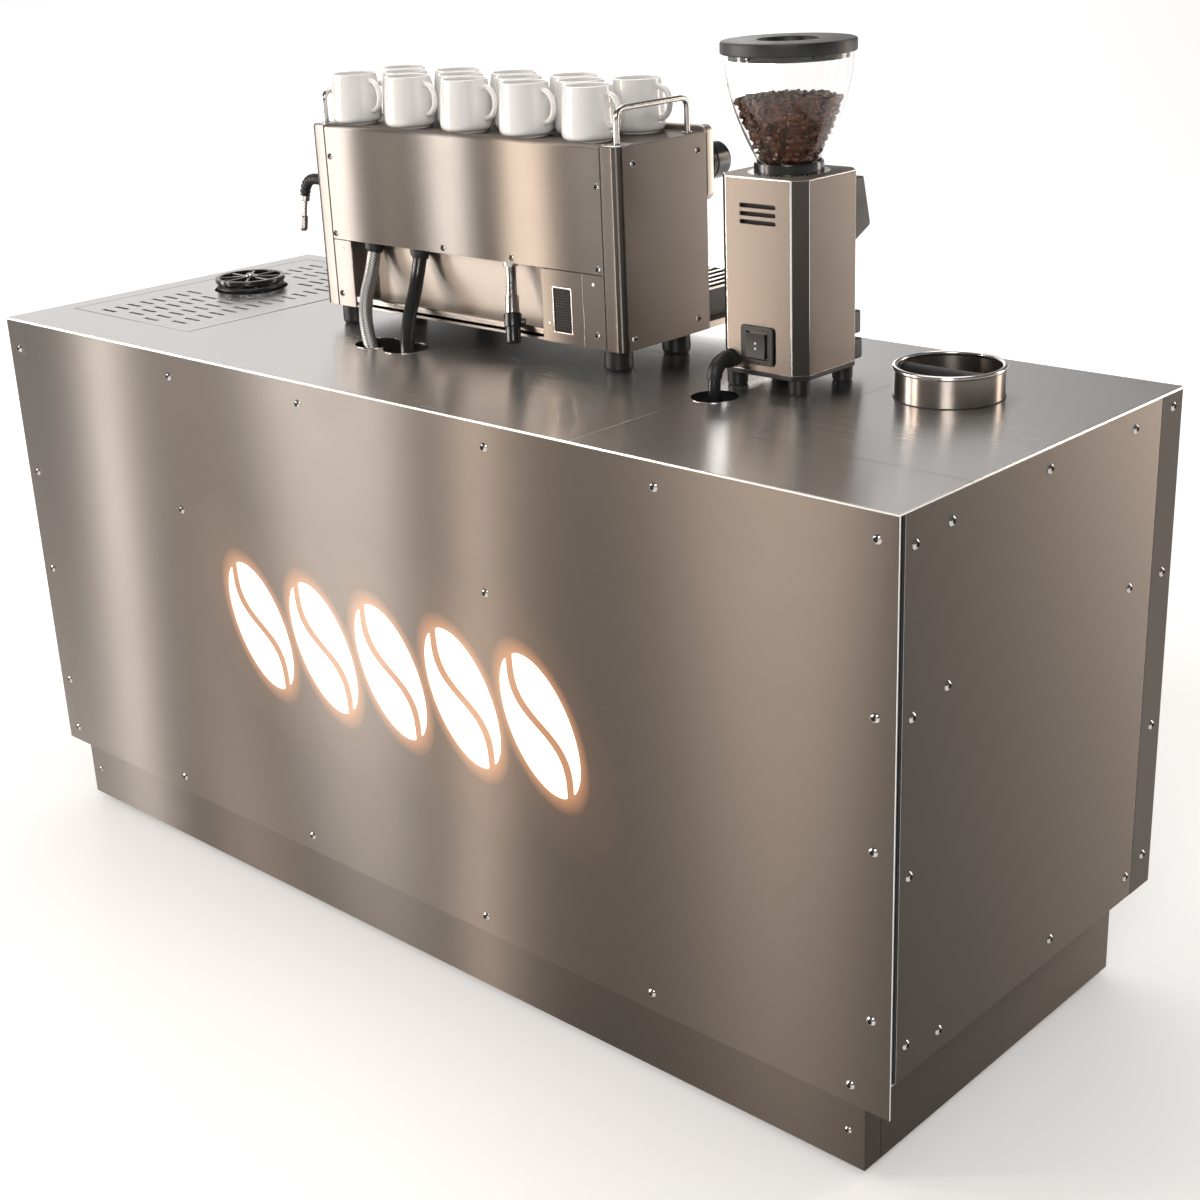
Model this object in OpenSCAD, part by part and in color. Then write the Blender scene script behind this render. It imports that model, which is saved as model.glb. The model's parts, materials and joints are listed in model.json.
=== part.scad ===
// Coffee cart with a two-group espresso machine, a grinder, a pitcher rinser and a knock chute.
// Millimetres. The origin is on the floor under the middle of the cart. +X runs along the cart towards the
// grinder end, -Y is the customer side and +Y is the barista side.

/* [Cart] */
// Length of the cart
cart_l = 1880; // [1840:10:2000]
// Depth of the cart
cart_d = 680; // [680:10:760]
// Height of the worktop
top_z = 930; // [900:5:980]
// Thickness of the sheet panels
sheet = 3; // [2:0.5:3.5]
// Height of the lower edge of the front panel
panel_bottom_z = 118; // [80:2:150]
// Height of the lower deck and of the side panels' lower edge
deck_z = 168; // [160:2:190]
// Shadow gap between the front panel and the side panels
corner_gap = 6; // [3:1:10]
// Width of the corner stiles on the barista side
stile_w = 60; // [50:2:80]
// Side of the square frame bars
bar = 25; // [20:1:30]
// Setback of the plinth at each end
plinth_inset_end = 45; // [30:1:60]
// Setback of the plinth on the customer side
plinth_inset_front = 12; // [8:1:20]
// Setback of the plinth on the barista side
plinth_inset_rear = 30; // [20:1:50]
// Thickness of the plinth sheet
plinth_t = 2; // [1.5:0.5:3]
// Return of the front plinth round its corners
plinth_return = 35; // [25:1:50]
// Height of a levelling foot's pad
pad_h = 12; // [8:1:20]
// Diameter of a levelling foot's pad
pad_d = 50; // [40:1:60]
// Diameter of a levelling foot's stem
stem_d = 10; // [8:1:12]
// Height of the knock bin's shelf
shelf_z = 640; // [600:5:660]

/* [Illuminated sign] */
// Number of coffee bean cut-outs
bean_count = 5; // [3:1:5]
// Distance between bean cut-outs
bean_pitch = 158; // [150:1:165]
// Length of a bean cut-out
bean_l = 220; // [180:1:230]
// Width of a bean cut-out
bean_w = 126; // [100:1:130]
// Tilt of the beans
bean_tilt = 28; // [0:1:40]
// Width of the bridge between the halves of a bean
bean_bridge = 15; // [8:1:18]
// Height of the sign's middle
sign_z = 502; // [480:2:520]
// Distance of the sign's middle from the cart's middle
sign_x = 30; // [0:2:50]

/* [Rinse station] */
// Distance of the rinse pan from the left end
pan_from_end = 40; // [32:1:50]
// Distance of the rinse pan from the customer side
pan_from_front = 110; // [100:1:112]
// Length of the rinse pan along the cart
pan_l = 346; // [330:1:352]
// Width of the rinse pan across the cart
pan_w = 534; // [500:1:534]
// Depth of the rinse pan
pan_depth = 42; // [36:1:60]
// Length of a drain slot
slot_l = 44; // [36:1:48]
// Width of a drain slot
slot_w = 7; // [5:0.5:9]
// Outer diameter of the rinser star
star_d = 128; // [116:1:130]
// Height of the rinser star above the worktop
star_rise = 12; // [11:1:20]

/* [Knock chute] */
// Outer diameter of the knock chute
knock_d = 150; // [140:1:160]
// Height of the knock chute above the worktop
knock_rise = 45; // [40:1:55]
// Distance of the chute's middle from the right end
knock_from_end = 234; // [220:1:240]
// Distance of the chute's middle behind the cart's middle
knock_y = 122; // [110:1:130]
// Diameter of the rubber knock bar
knock_bar_d = 24; // [18:1:28]

/* [Holes in the worktop] */
// Diameter of each of the two hose holes
hose_hole_d = 74; // [68:1:80]
// Distance between the hose holes' middles
hose_hole_pitch = 66; // [60:1:67]
// Diameter of the grinder cable's hole
cable_hole_d = 70; // [60:1:76]

/* [Espresso machine] */
// Width of the machine
mach_w = 670; // [656:1:690]
// Depth of the machine's body
mach_d = 195; // [190:1:202]
// Height of the machine's body
mach_h = 294; // [290:1:310]
// Height of the machine's feet
mach_foot_h = 34; // [28:1:40]
// Thickness of the machine's sheet
msheet = 2; // [1.5:0.5:2.5]
// Width of the side covers' returns
post_w = 32; // [26:1:38]
// Radius of the side covers' edges
cover_r = 12; // [8:1:14]
// Diameter of the steam knobs
knob_d = 56; // [46:1:60]
// Length of the steam knobs
knob_l = 40; // [30:1:46]
// Diameter of a brew button
button_d = 22; // [16:1:28]
// Distance between the group heads
group_pitch = 300; // [260:2:330]
// Diameter of a portafilter's collar
filter_d = 66; // [60:1:70]
// Diameter of a portafilter's handle
handle_d = 26; // [20:1:30]
// Diameter of the steam wand's tube
wand_d = 9; // [8:0.5:11]
// Diameter of the cup rails' rod
rail_d = 9; // [7:0.5:11]
// Height of the cup rails
rail_h = 55; // [45:1:65]

/* [Cups] */
// Largest diameter of a cup
cup_d = 81; // [74:1:82]
// Height of a cup
cup_h = 78; // [70:1:92]
// Wall of a cup
cup_wall = 3.5; // [2.5:0.5:4]

/* [Grinder] */
// Width of the grinder
gr_w = 148; // [140:1:152]
// Depth of the grinder
gr_d = 141; // [138:1:150]
// Height of the grinder's housing
gr_h = 262; // [250:1:280]
// Height of the grinder's feet
gr_foot_h = 22; // [16:1:28]
// Diameter of the grinding collar
collar_d = 116; // [108:1:130]
// Diameter of the hopper's rim
hopper_d = 176; // [160:1:186]
// Height of the hopper's bowl
hopper_h = 134; // [120:1:150]
// Wall of the hopper
hopper_wall = 2.5; // [2:0.5:3.5]
// Share of the hopper's height that the beans fill
bean_fill_share = 0.62; // [0.4:0.02:0.8]

/* [Hidden] */
$fn = 64;

// Colours
steel = [0.62, 0.59, 0.56];
bright = [0.78, 0.77, 0.75];
black = [0.07, 0.07, 0.07];
white = [0.95, 0.94, 0.92];

// Clearances shared by all pieces
run_fit = 0.08;
slide_gap = 0.3;
seam = 0.8;
weld_gap = 0.2;
cut = 1;

// Cart body
hx = cart_l / 2;
hy = cart_d / 2;
under_z = top_z - sheet;
inner_x = hx - sheet;
inner_y = hy - sheet;
plinth_x = hx - plinth_inset_end;
plinth_front_y = -hy + plinth_inset_front;
plinth_rear_y = hy - plinth_inset_rear;
mid_post_left_x = -420;
mid_post_right_x = 530;
foot_inset_x = 90;
foot_inset_front = 55;
foot_inset_rear = 72;
boss_d = 30;
boss_h = 45;
stem_end_gap = 8;

// Screws on the cart's panels: domed heads with a hexagon socket
screw_d = 14;
screw_h = 3.5;
socket_d = 7;
socket_depth = 2;
// Places on the front panel, as shares of half its length and of its height
front_screw_shares = [[-0.968, 0.94], [-0.49, 0.955], [-0.14, 0.96], [0.285, 0.96], [0.61, 0.96],
    [0.968, 0.96], [-0.97, 0.66], [-0.5, 0.675], [0.268, 0.695], [0.968, 0.685], [-0.97, 0.43],
    [0.968, 0.465], [-0.97, 0.155], [0.968, 0.17], [-0.965, 0.035], [-0.6, 0.035], [-0.22, 0.035],
    [0.22, 0.035], [0.575, 0.035], [0.935, 0.035]];
// Places on a side panel, as shares of half its depth and of its height
side_screw_shares = [[-0.9, 0.945], [-0.9, 0.66], [-0.9, 0.38], [-0.9, 0.062], [-0.68, 0.955],
    [-0.68, 0.68], [-0.68, 0.04], [-0.03, 0.965], [0.61, 0.965], [0.64, 0.665], [0.77, 0.05],
    [0.14, 0.045], [0.915, 0.975], [0.915, 0.66], [0.915, 0.35], [0.915, 0.072]];
// Heights of the screws on the rear faces of the stiles, as shares of the side panels' height
stile_screw_shares = [0.072, 0.35, 0.66, 0.955];
// Places along the front plinth, as shares of half its length
plinth_screw_shares = [-0.97, 0.97];
plinth_screw_share = 0.5;

// Sign behind the front panel
bean_points = 44;
bean_wave_share = 0.16;
bean_over_share = 1.05;
diffuser_t = 5;
diffuser_margin = 14;
light_box_depth = 32;
light_box_wall = 2;
led_count = 4;
led_w = 18;
led_t = 4;
bean_span = norm([bean_l * sin(bean_tilt), bean_w * cos(bean_tilt)]);
bean_rise = norm([bean_l * cos(bean_tilt), bean_w * sin(bean_tilt)]);
sign_l = (bean_count - 1) * bean_pitch + bean_span + diffuser_margin * 2;
sign_h = bean_rise + diffuser_margin * 2;

// Rinse station
pan_wall = 1.5;
pan_fit = 0.3;
pan_flange = 5;
pan_ledge = 8;
grate_t = 2;
grate_gap = 1.5;
grate_gap_right = 5;
slot_pitch_x = 64;
slot_pitch_y = 26;
slot_margin = 16;
rinser_x_share = 0.37;
rinser_y_share = 0.56;
rinser_hole_gap = 3;
valve_d = 36;
valve_stem_d = 16;
valve_nozzle_d = 10;
valve_nozzle_h = 5;
base_ring_h = 5;
base_ring_w = 9;
base_ring_rise = 1.5;
star_ring_w = 9;
star_h = 9;
star_hub_d = 30;
star_spokes = 8;
spoke_w = 5;
spoke_drop = 1;
pan_x0 = -hx + pan_from_end;
pan_y0 = -hy + pan_from_front;
rinser_x = pan_x0 + pan_l * rinser_x_share;
rinser_y = pan_y0 + pan_w * rinser_y_share;
pan_floor_z = top_z - pan_depth;
star_z = top_z + star_rise;

// Seams and holes of the worktop
hose_hole_x = -181;
hose_hole_y = -106;
cable_hole_x = 445;
cable_hole_y = -62;
seam_x = 428;
hatch_x = 608;
hatch_y = -190;

// Knock chute and bin
knock_x = hx - knock_from_end;
knock_wall = 2;
knock_drop = 120;
knock_rim_d = 6;
knock_flange = 8;
knock_flange_t = 3;
gasket_w = 4;
gasket_h = 3;
bar_drop = 20;
bar_fit = 0.05;
bin_w = 220;
bin_wall = 2;
bin_gap = 6;
knock_z0 = top_z - knock_drop;

// Tanks, pump and power box on the lower deck
tank_l = 250;
tank_w = 440;
tank_h = 350;
tank_r = 30;
tank_cap_d = 64;
tank_cap_h = 24;
fresh_x = -760;
waste_x = -420;
tank_y = 40;
waste_cap_x = -370;
waste_cap_y = 0;
pump_x = -212;
pump_y = 0;
pump_l = 120;
pump_w = 180;
pump_h = 110;
pump_motor_d = 90;
fitting_d = 34;
fitting_h = 40;
power_x = 660;
power_l = 200;
power_w = 90;
power_from_frame = 27;
power_y = -inner_y + bar + power_from_frame + power_w / 2;
power_h = 200;
power_gland_x = 620;
power_gland_d = 28;
power_gland_h = 20;

// Espresso machine
mach_x = -69;
mach_rear_y = -50;
mx0 = mach_x - mach_w / 2;
mx1 = mach_x + mach_w / 2;
my0 = mach_rear_y;
my1 = my0 + mach_d;
mz0 = top_z + mach_foot_h;
mz1 = mz0 + mach_h;
panel_gap = 2;
panel_lip = 14;
panel_edge_r = 8;
rear_panel_h = 184;
recess_d = 35;
base_t = 10;
base_reach = 165;
base_front_y = my1 + base_reach;
rail_strip_h = 9;
rail_strip_t = 8;
left_strip_w = 42;
right_strip_w = 42;
vent_w = 84;
vent_window_w = 28;
vent_window_h = 58;
vent_window_drop = 18;
vent_bars = 9;
mach_foot_d = 44;
mach_foot_inset_x = 38;
mach_foot_rear = 30;
mach_foot_mid = 160;
mach_foot_front = 22;
tray_z = mz1 - msheet;
recess_y = my0 + recess_d;
recess_z = mz1 - rear_panel_h;
panel_x0 = mx0 + post_w + panel_gap;
panel_x1 = mx1 - post_w - panel_gap;

// Screws on the machine: places on the rear as shares of half its width and of its height
mscrew_d = 11;
mscrew_h = 3;
msocket_d = 5.5;
mach_rear_screw_shares = [[-0.872, 0.826], [-0.878, 0.405], [0.878, 0.8], [0.868, 0.4], [-0.11, 0.405],
    [0.34, 0.402], [-0.87, 0.07], [0.85, 0.07]];
// Places on the side covers as shares of the machine's depth and height
mach_side_screw_shares = [[0.17, 0.905], [0.9, 0.91], [0.13, 0.058], [0.87, 0.07]];

// Fascia with the knobs and the brew buttons
fascia_t = 18;
fascia_h = 110;
fascia_rise = 7;
fascia_r = 14;
knob_inset = 26;
knob_shaft_d = 10;
knob_shaft_l = 14;
knob_end_share = 0.2;
knob_face_share = 0.88;
control_drop = 57;
button_l = 11;
button_out = 5;
button_travel = 3;
button_fit = 0.1;
fascia_y = my1 + fascia_t;
fascia_z1 = mz1 + fascia_rise;
control_z = fascia_z1 - control_drop;

// Group heads and portafilters
group_reach = 62;
group_wall = 5;
group_h = 32;
group_drop = 106;
group_bore = 14;
neck_w = 50;
neck_h = 30;
collar_h = 26;
bowl_d = 58;
bowl_h = 18;
spout_d = 20;
spout_h = 10;
handle_neck_d = 12;
handle_l = 88;
handle_neck_l = 14;
group_y = my1 + group_reach;
group_z = mz1 - group_drop - group_h;
bowl_z = group_z + group_bore - slide_gap - collar_h;

// Steam wand on the left side cover
wand_y = -22;
wand_drop = 96;
wand_pin_d = 12;
wand_pin_l = 14;
wand_arm = 60;
wand_elbow_d = 18;
wand_sleeve_d = 15;
wand_sleeve_l = 26;
wand_tube_l = 38;
wand_tip_d = 14;
wand_tip_l = 28;
wand_lean = 12;
wand_z = mz1 - wand_drop;
wand_ring_w = 3;
wand_rings = 5;
wand_ring_pitch = 7;

// Drip tray
drip_gap = 4;
drip_l = 624;
drip_h = 40;
drip_wall = 3;
drip_grate_t = 4;
drip_bars = 30;
drip_bar_w = 6;
drip_y0 = my1 + drip_gap;
drip_z0 = mz0 + base_t + slide_gap;
drip_w = base_front_y - drip_y0;

// Drain tap and hose glands under the recess
tap_x = 28;
tap_y = -36;
tap_lean = 24.5;
tap_turn = 43.6;
tap_collar_d = 20;
tap_collar_h = 8;
tap_tube_d = 13;
tap_tube_l = 62;
tap_ferrule_d = 18;
tap_ferrule_l = 22;
tap_body_d = 24;
tap_body_l = 38;
tap_knob_d = 10;
tap_knob_l = 8;
gland_d = 32;
gland_h = 12;

// Boiler
boiler_d = 110;
boiler_l = 420;
boiler_rise = 95;
saddle_w = 30;
saddle_d = 70;

// Cup rails
rail_inset_x = 17;
rail_rear = 20;
rail_front = 22;
rail_bend = 14;

// Cups: as many as fit along the machine, each row shifted half a pitch from the last
cup_pitch = 128;
cup_row_pitch = 53;
cup_end_gap = 22;
cup_fit_share = 0.01;
cup_run = mach_w - (rail_inset_x + cup_end_gap) * 2 - cup_d;
cup_columns = floor(cup_run / cup_pitch + cup_fit_share) + 1;
cup_rows = [cup_columns, cup_columns - 1, cup_columns];
cup_shift = -14;
cup_first_y = 46;
cup_foot_share = 0.7;
cup_rim_share = 0.88;
cup_belly_share = 0.12;
cup_floor = 6;
cup_handle_d = 8;
cup_handle_r = 23;
cup_handle_out = 5;

// Grinder
gr_x = 479;
gr_y0 = -6;
gr_r = 18;
gr_wall = 2;
gr_top_t = 4;
gr_base_t = 6;
gr_foot_d = 30;
gr_foot_inset = 20;
gz0 = top_z + gr_foot_h + gr_base_t;
gz1 = gz0 + gr_h;
gr_y = gr_y0 + gr_d / 2;
gr_y1 = gr_y0 + gr_d;
vent_slots = 3;
vent_slot_l = 60;
vent_slot_w = 5;
vent_slot_pitch = 11;
vent_slot_drop = 34;
collar_h2 = 14;
collar_sleeve_d = 70;
collar_sleeve_h = 9;
collar_hole_gap = 1;
collar_neck_d = 96;
collar_neck_h = 8;
collar_neck_gap = 1;
hopper_neck_d = 56;
hopper_foot_d = 82;
hopper_foot_t = 8;
hopper_steps = 12;
lid_h = 17;
lid_over = 4;
lid_plug_h = 8;
lid_plug_gap = 2.5;
lid_well_d = 82;
lid_well_depth = 9;
motor_d = 100;
motor_h = 140;
shaft_d = 12;
shaft_in = 30;
burr_d = 62;
burr_h = 12;
burr_gap = 4;
collar_z = gz1 + gr_top_t + slide_gap;
hopper_z = collar_z + collar_h2 + slide_gap;
lid_z = hopper_z + hopper_foot_t + hopper_h + slide_gap;
switch_x = -1;
switch_drop = 224;
bezel_w = 56;
bezel_h = 54;
bezel_t = 4;
switch_w = 34;
switch_h = 38;
rocker_gap_end = 1.5;
rocker_t = 12;
rocker_out = 8;
cord_gland_in = 25;
cord_gland_rise = 14;
cord_gland_d = 27;
cord_gland_l = 16;
cord_boot_d = 22;
cord_boot_bend = 22;
chute_w = 108;
chute_h = 92;
chute_out = 46;
chute_drop = 12;
chute_shares = [[0, 0], [0.64, 0], [1, 0.72], [0.96, 0.77], [0, 1]];
fork_rise = 29;
fork_w = 100;
fork_out = 31;
fork_h = 33;
fork_t = 12;
toe_out = 27;
toe_h = 30;

// Hoses and the grinder's cable, along their routes
hose_d = 22;
cable_d = 18;
hose_sides = 10;
supply_route = [[-290, -32, 1062], [-286, -47, 1026], [-278, -67, 994], [-260, -88, 966],
    [-236, -106, 940], [-211, -120, 913], [-191, -130, 882], [-179, -134, 844], [-175, -133, 805],
    [-175, -130, 766], [-177, -124, 728], [-181, -115, 689], [-186, -105, 652], [-191, -94, 614],
    [-195, -82, 577], [-200, -69, 541], [-204, -54, 504], [-207, -39, 468], [-210, -23, 432],
    [-211, -10, 396], [-212, -2, 357], [-212, 0, 318]];
drain_route = [[-180, -32, 1062], [-178, -43, 1031], [-172, -59, 1002], [-165, -77, 975],
    [-154, -94, 949], [-142, -108, 921], [-131, -115, 890], [-124, -116, 858], [-121, -112, 825],
    [-124, -103, 793], [-133, -91, 763], [-149, -77, 738], [-172, -64, 717], [-199, -53, 702],
    [-229, -43, 690], [-259, -35, 681], [-290, -26, 671], [-319, -17, 656], [-343, -10, 635],
    [-360, -4, 607], [-369, -1, 575], [-370, 0, 542]];
cable_route = [[430, -44, 950], [430, -45, 934], [431, -47, 905], [433, -52, 865], [438, -62, 815],
    [448, -78, 760], [466, -100, 708], [492, -128, 660], [522, -158, 616], [552, -186, 572], [580, -210, 525],
    [602, -228, 478], [615, -237, 435], [620, -240, 405], [620, -240, 388]];

// A box between two corners
module block(low, high) {
    translate(low) cube(high - low);
}

// A rounded rectangle about the origin
module round_rect(w, d, r) {
    square([w - r * 2, d], center = true);
    square([w, d - r * 2], center = true);
    for (sx = [-1, 1], sy = [-1, 1]) translate([sx * (w / 2 - r), sy * (d / 2 - r)]) circle(r);
}

// A sheet bent through a right angle, seen on its edge, with its outer corner at the origin
module bent_sheet(a, b, t, r) {
    translate([r, 0]) square([a - r, t]);
    translate([0, r]) square([t, b - r]);
    intersection() {
        square(r);
        translate([r, r]) difference() {
            circle(r);
            circle(r - t);
        }
    }
}

// A flat ring standing on the origin
module ring(od, id, h) {
    difference() {
        cylinder(d = od, h = h);
        translate([0, 0, -cut]) cylinder(d = id, h = h + cut * 2);
    }
}

// A domed screw head with a hexagon socket, standing on the origin
module screw_head(d, h, hex) {
    dome_r = (d * d / 4 + h * h) / (h * 2);
    difference() {
        intersection() {
            translate([0, 0, h - dome_r]) sphere(dome_r);
            cylinder(d = d, h = h);
        }
        translate([0, 0, h - socket_depth]) cylinder(d = hex, h = socket_depth + cut, $fn = 6);
    }
}

// A slot with round ends along X, through a plate that stands on the origin
module round_slot(l, w, h) {
    translate([-(l - w) / 2, -w / 2, -cut]) cube([l - w, w, h + cut * 2]);
    for (s = [-1, 1]) translate([s * (l - w) / 2, 0, -cut]) cylinder(d = w, h = h + cut * 2, $fn = 24);
}

function unit(v) = v / norm(v);

// The direction of a route at one of its points
function heading(route, i) =
    let (last = len(route) - 1)
    unit(route[min(i + 1, last)] - route[max(i - 1, 0)]);

// A round tube swept along a route; side is a direction that the route never takes
module tube_along(route, d, side) {
    rings = len(route);
    points = [for (i = [0 : rings - 1])
        let (t = i == 0 || i == rings - 1 ? [0, round(heading(route, i)[1]), round(heading(route, i)[2])]
            : heading(route, i))
        let (u = unit(cross(t, side)))
        let (v = cross(t, u))
        for (k = [0 : hose_sides - 1])
            let (a = 360 * k / hose_sides)
            route[i] + (u * cos(a) + v * sin(a)) * d / 2];
    walls = [for (i = [0 : rings - 2], k = [0 : hose_sides - 1])
        let (n = (k + 1) % hose_sides)
        for (f = [[i * hose_sides + k, (i + 1) * hose_sides + k, i * hose_sides + n],
            [i * hose_sides + n, (i + 1) * hose_sides + k, (i + 1) * hose_sides + n]]) f];
    start = [for (k = [1 : hose_sides - 2]) [0, k, k + 1]];
    base = (rings - 1) * hose_sides;
    end = [for (k = [1 : hose_sides - 2]) [base, base + k + 1, base + k]];
    polyhedron(points, concat(walls, start, end), convexity = 6);
}

// Cart

module cart_frame() {
    color(steel) {
        for (sx = [-1, 1], sy = [-1, 1])
            translate([sx * (inner_x - bar / 2), sy * (inner_y - bar / 2), (deck_z + under_z) / 2])
                cube([bar, bar, under_z - deck_z], center = true);
        for (px = [mid_post_left_x, mid_post_right_x], sy = [-1, 1])
            translate([px, sy * (inner_y - bar / 2), (deck_z + under_z) / 2])
                cube([bar, bar, under_z - deck_z - (bar + weld_gap) * 2], center = true);
        for (rz = [deck_z, under_z - bar]) {
            for (sy = [-1, 1])
                translate([0, sy * (inner_y - bar / 2), rz + bar / 2])
                    cube([(inner_x - bar - weld_gap) * 2, bar, bar], center = true);
            for (sx = [-1, 1])
                translate([sx * (inner_x - bar / 2), 0, rz + bar / 2])
                    cube([bar, (inner_y - bar - weld_gap) * 2, bar], center = true);
        }
        for (px = [mid_post_left_x, mid_post_right_x])
            translate([px, 0, under_z - bar / 2])
                cube([bar, (inner_y - bar - weld_gap) * 2, bar], center = true);
    }
}

// One bean of the sign in outline, its bridge a wave along its length
module bean_outline() {
    half_l = bean_l / 2;
    half_w = bean_w / 2;
    wave = bean_w * bean_wave_share;
    oval = [for (i = [0 : bean_points - 1])
        let (a = 360 * i / bean_points)
        [half_l * cos(a), half_w * sin(a)]];
    steps = [for (i = [-bean_points / 4 : bean_points / 4]) i * 4 / bean_points];
    upper = [for (s = steps) [half_l * s * bean_over_share, wave * sin(180 * s) + bean_bridge / 2]];
    lower = [for (i = [len(steps) - 1 : -1 : 0])
        let (s = steps[i])
        [half_l * s * bean_over_share, wave * sin(180 * s) - bean_bridge / 2]];
    difference() {
        polygon(oval);
        polygon(concat(upper, lower));
    }
}

module front_panel() {
    color(steel) difference() {
        block([-hx, -hy, panel_bottom_z], [hx, -inner_y, under_z]);
        for (i = [0 : bean_count - 1])
            translate([sign_x + (i - (bean_count - 1) / 2) * bean_pitch, -inner_y + cut, sign_z])
                rotate([90, 90 - bean_tilt, 0]) linear_extrude(sheet + cut * 2) bean_outline();
    }
}

module side_panels() {
    color(steel) for (sx = [-1, 1])
        translate([sx * (hx - sheet / 2), (corner_gap + sheet - stile_w - seam) / 2,
            (deck_z + under_z) / 2])
            cube([sheet, cart_d - sheet - corner_gap - stile_w - seam, under_z - deck_z], center = true);
}

module rear_stiles() {
    color(steel) for (m = [0, 1]) mirror([m, 0, 0]) {
        translate([-hx, hy, deck_z]) mirror([0, 1, 0]) linear_extrude(under_z - deck_z)
            difference() {
                square(stile_w);
                translate([sheet, sheet]) square(stile_w);
            }
    }
}

module plinth() {
    plinth_h = deck_z - sheet - pad_h;
    color(steel) translate([0, 0, pad_h]) {
        linear_extrude(plinth_h) difference() {
            translate([-plinth_x, plinth_front_y]) square([plinth_x * 2, plinth_return]);
            translate([-plinth_x + plinth_t, plinth_front_y + plinth_t])
                square([(plinth_x - plinth_t) * 2, plinth_return]);
        }
        for (sx = [-1, 1])
            translate([sx * (plinth_x - plinth_t / 2), 0, 0])
                block([-plinth_t / 2, plinth_front_y + plinth_return + seam, 0],
                    [plinth_t / 2, plinth_rear_y, plinth_h]);
        translate([0, plinth_rear_y - plinth_t / 2, plinth_h / 2])
            cube([(plinth_x - plinth_t - weld_gap) * 2, plinth_t, plinth_h], center = true);
    }
}

// The lower deck with its threaded bosses, and the knock bin's shelf
module shelves() {
    color(bright) {
        difference() {
            union() {
                block([-inner_x, -inner_y, deck_z - sheet], [inner_x, inner_y, deck_z]);
                at_feet() translate([0, 0, deck_z - sheet - boss_h])
                    cylinder(d = boss_d, h = boss_h + sheet / 2);
            }
            at_feet() translate([0, 0, deck_z - sheet - boss_h - cut])
                cylinder(d = stem_d + run_fit * 2, h = boss_h + cut);
        }
        block([mid_post_right_x + bar / 2, -inner_y, shelf_z - sheet], [inner_x - bar, inner_y, shelf_z]);
    }
}

function foot_place(sx, sy) =
    [sx * (hx - foot_inset_x), sy < 0 ? -hy + foot_inset_front : hy - foot_inset_rear, 0];

module at_feet() {
    for (sx = [-1, 1], sy = [-1, 1]) translate(foot_place(sx, sy)) children();
}

module levelling_foot(sx, sy) {
    color(black) translate(foot_place(sx, sy)) {
        cylinder(d = pad_d, h = pad_h - slide_gap);
        cylinder(d = stem_d, h = deck_z - sheet - stem_end_gap);
    }
}

module foot_front_left() { levelling_foot(-1, -1); }
module foot_front_right() { levelling_foot(1, -1); }
module foot_rear_left() { levelling_foot(-1, 1); }
module foot_rear_right() { levelling_foot(1, 1); }

module worktop_left() {
    color(steel) difference() {
        block([-hx, -hy, under_z], [seam_x - seam / 2, hy, top_z]);
        block([pan_x0 - pan_fit, pan_y0 - pan_fit, under_z - cut],
            [pan_x0 + pan_l + pan_fit, pan_y0 + pan_w + pan_fit, top_z + cut]);
        for (s = [-1, 1])
            translate([hose_hole_x + s * hose_hole_pitch / 2, hose_hole_y, under_z - cut])
                cylinder(d = hose_hole_d, h = sheet + cut * 2);
        cable_hole();
    }
}

module cable_hole() {
    translate([cable_hole_x, cable_hole_y, under_z - cut]) cylinder(d = cable_hole_d, h = sheet + cut * 2);
}

// The right-hand sheet and the hatch that carries the knock chute
module worktop_right() {
    color(steel) {
        difference() {
            block([seam_x + seam / 2, -hy, under_z], [hx, hy, top_z]);
            block([hatch_x - seam / 2, hatch_y - seam / 2, under_z - cut],
                [hx + cut, hy + cut, top_z + cut]);
            cable_hole();
        }
        difference() {
            block([hatch_x + seam / 2, hatch_y + seam / 2, under_z], [hx, hy, top_z]);
            translate([knock_x, knock_y, under_z - cut]) cylinder(d = knock_d, h = sheet + cut * 2);
        }
    }
}

module cart_screws() {
    panel_h = under_z - panel_bottom_z;
    side_h = under_z - deck_z;
    color(bright) {
        for (s = front_screw_shares)
            translate([hx * s[0], -hy, panel_bottom_z + panel_h * s[1]])
                rotate([90, 0, 0]) screw_head(screw_d, screw_h, socket_d);
        for (s = side_screw_shares, sx = [-1, 1])
            translate([sx * hx, hy * s[0], deck_z + side_h * s[1]])
                rotate([0, sx * 90, 0]) screw_head(screw_d, screw_h, socket_d);
        for (s = stile_screw_shares, sx = [-1, 1])
            translate([sx * (hx - stile_w / 2), hy, deck_z + side_h * s])
                rotate([-90, 0, 0]) screw_head(screw_d, screw_h, socket_d);
        for (s = plinth_screw_shares)
            translate([plinth_x * s, plinth_front_y, pad_h + (panel_bottom_z - pad_h) * plinth_screw_share])
                rotate([90, 0, 0]) screw_head(mscrew_d, mscrew_h, msocket_d);
    }
}

module sign_diffuser() {
    color(white) translate([sign_x, -inner_y + diffuser_t / 2, sign_z])
        cube([sign_l, diffuser_t, sign_h], center = true);
}

// A shallow tray behind the diffuser with its rows of lights
module sign_light_box() {
    color(white) translate([sign_x, -inner_y + diffuser_t, sign_z]) rotate([-90, 0, 0]) {
        difference() {
            translate([-sign_l / 2, -sign_h / 2, 0]) cube([sign_l, sign_h, light_box_depth]);
            translate([light_box_wall - sign_l / 2, light_box_wall - sign_h / 2, -cut])
                cube([sign_l - light_box_wall * 2, sign_h - light_box_wall * 2,
                    light_box_depth - light_box_wall + cut]);
        }
        for (i = [1 : led_count])
            translate([0, sign_h * (i / (led_count + 1) - 1 / 2), light_box_depth - light_box_wall])
                cube([sign_l - light_box_wall * 4, led_w, led_t * 2], center = true);
    }
}

// Rinse station

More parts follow.
